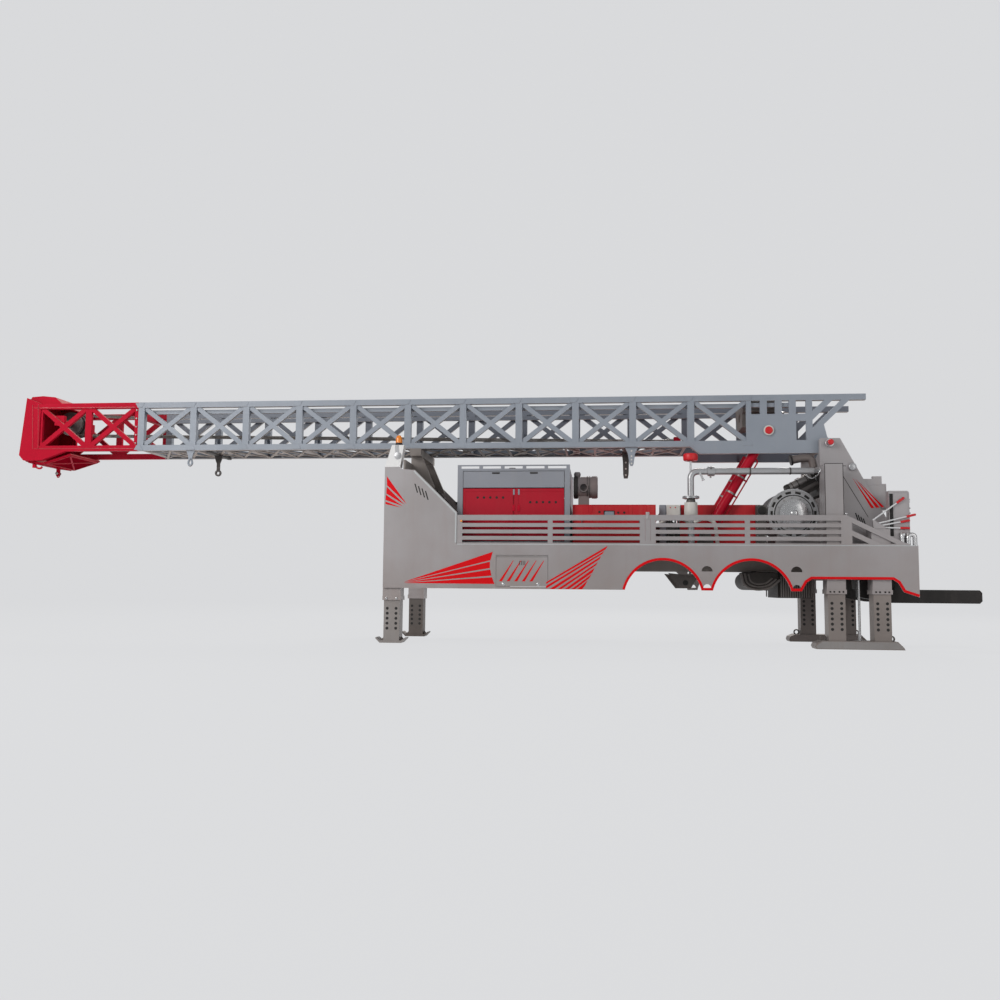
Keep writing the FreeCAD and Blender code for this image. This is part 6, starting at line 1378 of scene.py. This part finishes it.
controlSettings = {
    "margin": (0.020, 0.012, 0.030, 0.145),  # front, rear, foot and top, from the cabinet to its bead
    "bead": (0.008, 0.003),
    "door": (0.03, 0.25, 0.05, 0.16),  # two edges from the outer face, then foot and top
    "doorThick": 0.010, "doorSunk": 0.002,
    "locks": (0.16, 0.30), "lockInset": 0.06, "lock": (0.014, 0.010),
}


# Control cabinets: a bead round each outer face, a rear door with two locks.
def dressControls(look):
    low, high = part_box("control_cabinets")
    front, rear, foot, top = look["margin"]
    bead = ribFrame(low.x + front, high.x - rear, low.z + foot, high.z - top, low.y, *look["bead"])
    addPair("controlBead", bead, "silverPaint")
    start, end, foot, top = look["door"]
    face = high.x + look["doorThick"]
    door = boxes([high.x - look["doorSunk"], face, low.y + start, low.y + end, low.z + foot, high.z - top])
    addPair("controlDoor", door, "canopyPaint", bevel=0.003)
    places = [(face, low.y + look["lockInset"], low.z + rise) for rise in look["locks"]]
    addPair("controlLocks", stamped(stud(rearward, *look["lock"]), places), "brightSteel")


dressControls(controlSettings)
print("rear end ready")


# jacks

jackSettings = {
    "front": -1.221, "rear": (5.949, 6.649), "side": 1.055, "half": 0.133,
    "columns": 0.074, "pitch": 0.082, "frontHoles": (0.240, 5), "rearHoles": (0.311, 6),  # lowest row, rows
    "hole": 0.0245, "holeSunk": 0.0005, "holeProud": 0.0006,
    "sleeve": 0.155,  # half the sleeves' width
    "bolts": (-0.100, -0.04, 0.04, 0.100), "boltZ": 0.903, "bolt": (0.012, 0.011),
    "skinHalf": 0.151, "skin": (0.706, 0.905), "skinProud": 0.0025, "skinSunk": 0.012,
    "skinBolts": (0.0851, 0.733), "skinBolt": (0.020, 0.012),
}


# Black round mouths on the pin holes as painted shade, on the outer and inner face of each leg, bolts on
# the sleeves' bands, and a skin with two round bolts on each front sleeve.
def dressJacks(look):
    def mouths(x, first, rows):
        places = np.array([(x + way * look["columns"], -look["side"], first + look["pitch"] * i)
                           for way in bothSides for i in range(rows)])
        return [stamped(mouth(look["hole"], 18, (0, way, 0), look["holeSunk"], look["holeProud"]),
                        places + [0, way * look["half"], 0]) for way in bothSides]

    addPair("frontHoles", mouths(look["front"], *look["frontHoles"]), "holeShadeAndSeamBlack", "jack_front_SIDE")
    rear = [shape for x in look["rear"] for shape in mouths(x, *look["rearHoles"])]
    addPair("rearHoles", rear, "holeShadeAndSeamBlack", "jack_rear_SIDE")
    face = -look["side"] - look["sleeve"]
    places = [(x + shift, face, look["boltZ"]) for x in look["rear"] for shift in look["bolts"]]
    addPair("bandBolts", stamped(hexHead(outward, *look["bolt"]), places), "blackPaint")
    x, half, proud = look["front"], look["skinHalf"], face - look["skinProud"]
    skin = boxes([x - half, x + half, proud, face + look["skinSunk"], *look["skin"]])
    addPair("sleeveSkin", skin, "silverPaint", bevel=0.001)
    shift, z = look["skinBolts"]
    places = [(x + way * shift, proud, z) for way in bothSides]
    addPair("sleeveBolts", stamped(stud(outward, *look["skinBolt"]), places), "brightSteel")


dressJacks(jackSettings)

footSettings = {
    "x": -1.221, "y": -1.055, "half": 0.133,
    "reach": (0.060, 0.050), "gusset": (0.040, 0.100), "apart": 0.075, "thick": 0.014,
    # corners of the ski's skin: 0 for its front end or 1 for its rear end, metres from that end, height
    "ski": [(0, 0.012, 0.045), (0, 0.035, 0.012), (1, -0.035, 0.012), (1, -0.030, 0.035), (1, -0.115, 0.120),
            (0, 0.115, 0.120)],
    "skiProud": 0.0015, "eye": band(-0.012, 0.012, 0.030, 0.052), "eyeInset": 0.16, "eyeZ": 0.165,
}


# Gussets between a front leg and its foot plate, and a skin and eyes on the rear skis.
def dressFeet(look):
    foot, top = look["gusset"]
    half = look["thick"] / 2
    gussets = []
    for way, reach in zip(bothSides, look["reach"]):
        edge = look["x"] + way * look["half"]
        outline = [(edge, foot), (edge + way * reach, foot), (edge, top)]
        for y in (look["y"] - look["apart"], look["y"] + look["apart"]):
            gussets.append(plate(outline, y - half, y + half))
    addPair("footGussets", gussets, "darkAndShadedLegPaint", "jack_front_SIDE", bevel=0.002)
    low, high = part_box("jack_legs_rear_left")
    skin = [((low.x, high.x)[end] + x, z) for end, x, z in look["ski"]]
    addPair("skiSkin", plate(skin, low.y - look["skiProud"], low.y + sunk), "plainSteel", "jack_rear_SIDE")
    eyes = [hoop(look["eye"], (x, look["y"], look["eyeZ"]), across, 24)
            for x in (low.x + look["eyeInset"], high.x - look["eyeInset"])]
    addPair("skiEyes", eyes, "darkSteel", "jack_rear_SIDE")


dressFeet(footSettings)
print("jacks ready")


# under the deck

underSettings = {
    "bank": (5.176, 5.726, 0.800, 1.200), "bankDepth": (-0.724, -0.698),
    "ribs": 15, "rib": 0.018, "ribStep": 0.008,
    "bowl": [(4.539, 1.200), (4.581, 0.989), (4.766, 0.920), (4.998, 0.945), (5.162, 1.088)],
    "bowlTop": [(5.10, 1.215), (4.60, 1.215)], "bowlDepth": (-0.690, -0.45),
    "middle": (4.86, 1.16), "rings": (1.0, 0.82, 0.62, 0.42),
    "ringY": -0.730, "ringStep": 0.022, "ring": (0.020, 0.10, 12),
    "hanger": [(3.362, 1.193), (3.559, 0.936), (3.741, 0.937), (3.859, 1.146)],
    "hangerDepth": (-0.512, -0.500),
    "hole": (3.650, -0.512, 1.030), "holeRadius": 0.045, "holeProud": 0.0008,
    "rodPlace": (6.350, -0.960, 0), "rod": [(0.129, 0.030), (0.149, 0.030), (0.153, 0.020), (1.090, 0.020)],
}


# Ribs on the valve bank, nested bent pipes on a casing in the arch, a bracket with a hole whose black mouth
# is painted shade, and an upright rod.
def dressUnderside(look):
    x0, x1, z0, z1 = look["bank"]
    count = look["ribs"]
    starts = x0 + (x1 - x0) / count * np.arange(count)
    ribs = [[x, x + look["rib"], *look["bankDepth"], z0, z1 - look["ribStep"] * abs(i - count // 2)]
            for i, x in enumerate(starts)]
    addPair("bankRibs", boxes(ribs), "darkSteel", bevel=0.003)
    middle, bowl = np.array(look["middle"]), np.array(look["bowl"])
    depths = look["ringY"] + look["ringStep"] * np.arange(len(look["rings"]))
    pipes = [pipe(atDepth(middle + (bowl - middle) * share, y), *look["ring"])
             for share, y in zip(look["rings"], depths)]
    addPiece("archPipes", pipes, "darkSteel", angle=60)
    addPiece("archCasing", plate(look["bowl"] + look["bowlTop"], *look["bowlDepth"]), "underPaint",
             bevel=0.012)
    addPair("hangerFoot", plate(look["hanger"], *look["hangerDepth"]), "darkSteel", bevel=0.002)
    hole = stamped(mouth(look["holeRadius"], 24, proud=look["holeProud"]), look["hole"])
    addPair("hangerHole", hole, "holeShadeAndSeamBlack")
    addPair("uprightRod", turned(look["rod"], look["rodPlace"], upward, 18), "brightSteel", "jack_rear_SIDE")


dressUnderside(underSettings)
print("underside ready")


# railings and front end

trimSettings = {
    "edgeHighlightInset": (1.235, 0.01), "edgeHighlightStrip": (1.629, 1.6405), "edgeHighlightProud": 0.0016,
    "link": (2.952, 3.031), "linkDepth": (-1.2435, -1.2070), "linkTop": 2.118,
    "knobs": [(2.992, 2.118), (6.118, 2.118)], "knobY": -1.225,
    "knob": [(0, 0.012), (0.010, 0.014), (0.020, 0.026), (0.034, 0.026), (0.042, 0.014)],
    "marker": (-0.062, -1.245, 2.020),
    "markerLens": [(0, 0.020), (0.005, 0.020), (0.009, 0.014), (0.010, 0.006)],
    "slope": [(-0.862, 2.864), (-0.141, 2.157), (-0.141, 1.66)], "fold": bar(-0.026, 0.0, -0.003, sunk),
    "tray": [(-0.549, 2.545), (-0.481, 2.545), (-0.139, 2.176), (-0.206, 2.160)],
    "trayDepth": (-1.160, -1.120),
}


# A painted highlight along the deck's top edge, a post and knobs between the railings, a marker lamp, a
# folded edge on the front panels with a painted highlight, and a black sheet behind it that is painted shade.
def trimSides(look):
    front, rear = look["edgeHighlightInset"]
    depth = (skirtY - look["edgeHighlightProud"], skirtY + sunk)
    edgeHighlightStrip = [bodyFront + front, bodyRear - rear, *depth, *look["edgeHighlightStrip"]]
    addPair("deckEdgeHighlight", boxes(edgeHighlightStrip), "edgeHighlightPaint")
    link = [*look["link"], *look["linkDepth"], deckZ, look["linkTop"]]
    addPair("railingLink", boxes(link), "silverPaint")
    knobs = stamped(turned(look["knob"], origin, upward, 20), atDepth(look["knobs"], look["knobY"]))
    addPair("railingKnobs", knobs, "brightSteel")
    addPair("markerLamp", turned(look["markerLens"], look["marker"], outward, 24), "amberLens")
    addPair("panelFoldHighlight", carried(atDepth(look["slope"], panelY), look["fold"], across), "edgeHighlightPaint")
    addPair("slopeShadeSheet", plate(look["tray"], *look["trayDepth"]), "blackPaint", bevel=0.003)


trimSides(trimSettings)

beaconSettings = {
    "lens": [(0.042, 0.050), (0.046, 0.056), (0.100, 0.056), (0.140, 0.050), (0.165, 0.036), (0.178, 0.016)],
    "base": [(0.000, 0.052), (0.006, 0.062), (0.030, 0.062), (0.044, 0.052)],
}


# Domed amber lenses on black bases in place of the plain lamps.
def makeBeacons(look):
    low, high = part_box("beacons")
    reach = (high.x - low.x) / 2
    place = (low.x + reach, low.y + reach, low.z)
    looks = (("beaconBase", look["base"], "blackPaint"), ("beaconLens", look["lens"], "amberLens"))
    for name, profile, finish in looks:
        left = turned(profile, place, upward, 36)
        piece = addPiece(name, [left, flipSide(left)], finish, angle=50)
        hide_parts("beacons")


makeBeacons(beaconSettings)

tailSettings = {
    "x": 7.1595, "hangerTop": 1.600, "hangerDeep": 0.012,
    "hangers": ((-1.115, -0.865, 1.395), (0.865, 1.115, 1.395), (-0.28, 0.28, 1.34)),  # Y from and to, foot
    "lamps": ((-1.05, 1.46), (-0.93, 1.46)),
    "lens": [(-0.001, 0.048), (0.010, 0.048), (0.016, 0.040), (0.018, 0.02)],
    "plate": (-0.26, 0.26, 1.36, 1.48), "plateThick": 0.004,
    "bolts": 9, "boltReach": 1.0, "boltZ": 1.585, "bolt": (0.012, 0.010),
}


# Round tail lamps, a bare number plate, their brackets and a row of bolts on the rear beam.
def dressTail(look):
    x = look["x"]
    hung = [[x - look["hangerDeep"], x + sunk, y0, y1, foot, look["hangerTop"]]
            for y0, y1, foot in look["hangers"]]
    addPiece("tailBrackets", boxes(hung), "darkSteel", bevel=0.003)
    lamps = stamped(turned(look["lens"], origin, rearward), [(x, y, z) for y, z in look["lamps"]])
    addPair("tailLamps", lamps, "gripRed", angle=50)
    addPiece("barePlate", boxes([x, x + look["plateThick"], *look["plate"]]), "hornWhite", bevel=0.001)
    reach = look["boltReach"]
    places = [(x, y, look["boltZ"]) for y in np.linspace(-reach, reach, look["bolts"])]
    addPiece("tailBolts", stamped(hexHead(rearward, *look["bolt"]), places), "plainSteel")


dressTail(tailSettings)
print("trim ready")


# crown and deck

crownSettings = {
    "beads": [[(-8.095, 4.180), (-8.050, 3.366)], [(-7.985, 4.180), (-7.945, 3.366)],
              [(-8.060, 4.122), (-6.120, 4.114)], [(-8.025, 3.372), (-6.120, 3.362)]],
    "bead": bar(-0.007, 0.007, -0.005, sunk),
    "hook": [(-8.090, 3.130), (-8.078, 3.075), (-8.035, 3.030), (-7.975, 3.030), (-7.950, 3.060)],
    "hookY": -0.455, "hookPipe": (0.018, 0.03, 12),
    "shackle": (-7.904, 2.985),
    "pin": [(-0.060, 0.012), (-0.058, 0.026), (-0.046, 0.026), (-0.044, 0.016),
            (0.044, 0.016), (0.046, 0.026), (0.058, 0.026), (0.060, 0.012)],
    "ring": roundOf(0.010) + [0, 0.036], "ringDrop": 0.034,
    "bolts": 5, "bolt": (0.012, 0.011), "joint": (-6.095, 3.46, 4.06),
}


# Raised beads and bolts on the crown's side plates, a hook tip, and a shackle's pin and ring.
def dressCrown(look):
    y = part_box("crown_frame")[0].y
    beads = [carried(atDepth(path, y), look["bead"], across) for path in look["beads"]]
    addPair("crownBeads", beads, "shadedDoorPaint", "mast")
    hook = pipe(atDepth(look["hook"], look["hookY"]), *look["hookPipe"])
    addPiece("crownHookLeft", hook, "crownPaint", "mast", angle=60)
    x, z = look["shackle"]
    addPiece("shacklePin", turned(look["pin"], (x, 0, z), across, 20), "plainSteel", "mast")
    ring = hoop(look["ring"], (x, 0, z - look["ringDrop"]), rearward, 30)
    addPiece("shackleRing", ring, "crownPaint", "mast", angle=60)
    x, first, last = look["joint"]
    places = [(x, y, z) for z in np.linspace(first, last, look["bolts"])]
    addPair("crownBolts", stamped(hexHead(outward, *look["bolt"]), places), "plainSteel", "mast")


dressCrown(crownSettings)

bellySettings = {
    "line": [(-8.226, 3.159), (-7.904, 3.116), (-7.374, 3.280)], "half": 0.480, "margin": 0.035,
    "skin": (0.0115, 0.0145), "rib": bar(-0.015, 0.015, 0.0115, 0.0260),
    "ribEnds": ((0, 1), (1, 2), (2, 3), (3, 0), (0, 2), (1, 3)),  # corners of the plate that a rib joins
}


# Dark inset plates under the crown's belly, painted shade for its open interior, each edged and crossed by
# ribs.
def dressBelly(look):
    inner, outer = look["skin"]
    half, margin = look["half"], look["margin"]
    line = np.array(atDepth(look["line"], 0))
    skin = [(-outer, -half), (-outer, half), (-inner, half), (-inner, -half)]
    plates, ribs = [], []
    for start, end in zip(line[:-1], line[1:]):
        way = (end - start) / np.linalg.norm(end - start)
        down = (way[2], 0, -way[0])
        a, b = start + way * margin, end - way * margin
        plates.append(carried([a, b], skin, across))
        corners = [a + [0, -half, 0], b + [0, -half, 0], b + [0, half, 0], a + [0, half, 0]]
        ribs += [carried([corners[first], corners[last]], look["rib"], down)
                 for first, last in look["ribEnds"]]
    addPiece("bellyShadePlates", plates, "crownShade", "mast")
    addPiece("bellyRibs", ribs, "crownPaint", "mast")


dressBelly(bellySettings)

hornSettings = {
    "disc": (-1.148, 3.112), "discProfile": [(-0.001, 0.062), (0.004, 0.062), (0.0055, 0.05766)],
    "neck": [(-1.190, 3.130), (-1.126, 3.130), (-1.135, 3.292), (-1.200, 3.292)], "neckProud": 0.0035,
    "foot": (0.262, 0.170, 0.022), "lip": 0.0035, "footRise": 0.0005,
}


# Lamp bracket on each horn, a round plate with a neck up to the beacon, and a lip round the horn's foot.
def dressHorns(look):
    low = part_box("horns")[0]
    x, z = look["disc"]
    disc = turned(look["discProfile"], (x, low.y, z), outward, 32)
    neck = plate(look["neck"], low.y - look["neckProud"], low.y + sunk)
    addPair("hornBracket", [disc, neck], "pipeSilver")
    long, wide, tall = look["foot"]
    lip = look["lip"]
    foot = [low.x, low.x + long, low.y - lip, low.y + wide + lip, low.z + look["footRise"], low.z + tall]
    addPair("hornFoot", boxes(foot), "hornPaint", bevel=0.003)


dressHorns(hornSettings)

laceSettings = {
    "start": -6.000, "bays": 19, "bay": 0.5085, "reach": 0.500, "level": 3.333, "apart": 0.0015,
    "section": bar(-0.021, 0.021, -0.007, 0.007),
}


# Crossed flat bars and cross bars under the mast's floor, in a light brown that is painted bounce light from
# the floor.
def laceMast(look):
    level, reach, bars = look["level"], look["reach"], []
    for i in range(look["bays"]):
        x0, y = look["start"] + look["bay"] * i, reach * (-1) ** i
        x1 = x0 + look["bay"]
        for start, z in ((y, level - look["apart"]), (-y, level + look["apart"])):
            bars.append(carried([(x0, start, z), (x1, -start, z)], look["section"], upward))
        bars.append(carried([(x1, -reach, level), (x1, reach, level)], look["section"], upward))
    addPiece("floorLacing", bars, "laceBounceLight", "mast")


laceMast(laceSettings)

headSettings = {
    "flange": [(-0.002, 0.123), (-0.002, 0.205), (0.010, 0.205), (0.014, 0.200), (0.014, 0.123)],
    "bolts": 12, "boltRing": 0.1665, "boltOut": 0.014, "bolt": (0.010, 0.011),
    "ribs": 5, "ribInset": 0.08, "rib": (0.008, 0.20, 0.002, 0.018),
    "eyes": (-0.25, 0.25), "eye": roundOf(0.009) + [0, 0.026], "eyeRise": 0.022,
}


# Rotary head: a bolted flange round the spindle, ribs over its top and two lifting eyes.
def dressHead(look):
    low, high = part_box("rotary_head")
    near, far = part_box("spindle")
    z, head = (near.z + far.z) / 2, "rotary_head"
    addPiece("headFlange", hoop(look["flange"], (high.x, 0, z), rearward, 48), "darkSteel", head)
    ring = circleOf(look["bolts"], look["boltRing"], (high.x + look["boltOut"], 0, z), "YZ")
    addPiece("headBolts", stamped(hexHead(rearward, *look["bolt"]), ring), "plainSteel", head)
    half, wide, foot, tall = look["rib"]
    ribs = [[x - half, x + half, -wide, wide, high.z - foot, high.z + tall]
            for x in np.linspace(low.x + look["ribInset"], high.x - look["ribInset"], look["ribs"])]
    addPiece("headRibs", boxes(ribs), "brownGrey", head, bevel=0.003)
    places = [((low.x + high.x) / 2, y, high.z + look["eyeRise"]) for y in look["eyes"]]
    eyes = [hoop(look["eye"], place, across, 24) for place in places]
    addPiece("headEyes", eyes, "plainSteel", head, angle=60)


dressHead(headSettings)

treadSettings = {
    "start": -0.060, "end": 5.720, "lines": (1.000, 1.050, 1.100, 1.150), "pitch": 0.075,
    "half": (0.017, 0.0153), "waist": 0.004, "sunk": 0.0005, "tall": 0.003,
}


# Anti-slip lozenges on the walkways between the railings and the housings, turned by turns.
def layTread(look):
    places = {1: [], -1: []}
    for k, y in enumerate(look["lines"]):
        for n, x in enumerate(np.arange(look["start"], look["end"], look["pitch"])):
            places[1 if (n + k) % 2 else -1].append((x + (k % 2) * look["pitch"] / 2, -y, deckZ))
    (x, y), waist = look["half"], look["waist"]
    parts = []
    for way, spots in places.items():
        outline = [(-x, -y * way), (waist, -waist * way), (x, y * way), (-waist, waist * way)]
        parts.append(stamped(plate(outline, -look["sunk"], look["tall"], level=True), spots))
    addPair("walkTread", parts, "silverPaint")


layTread(treadSettings)
print("crown and walkways ready")
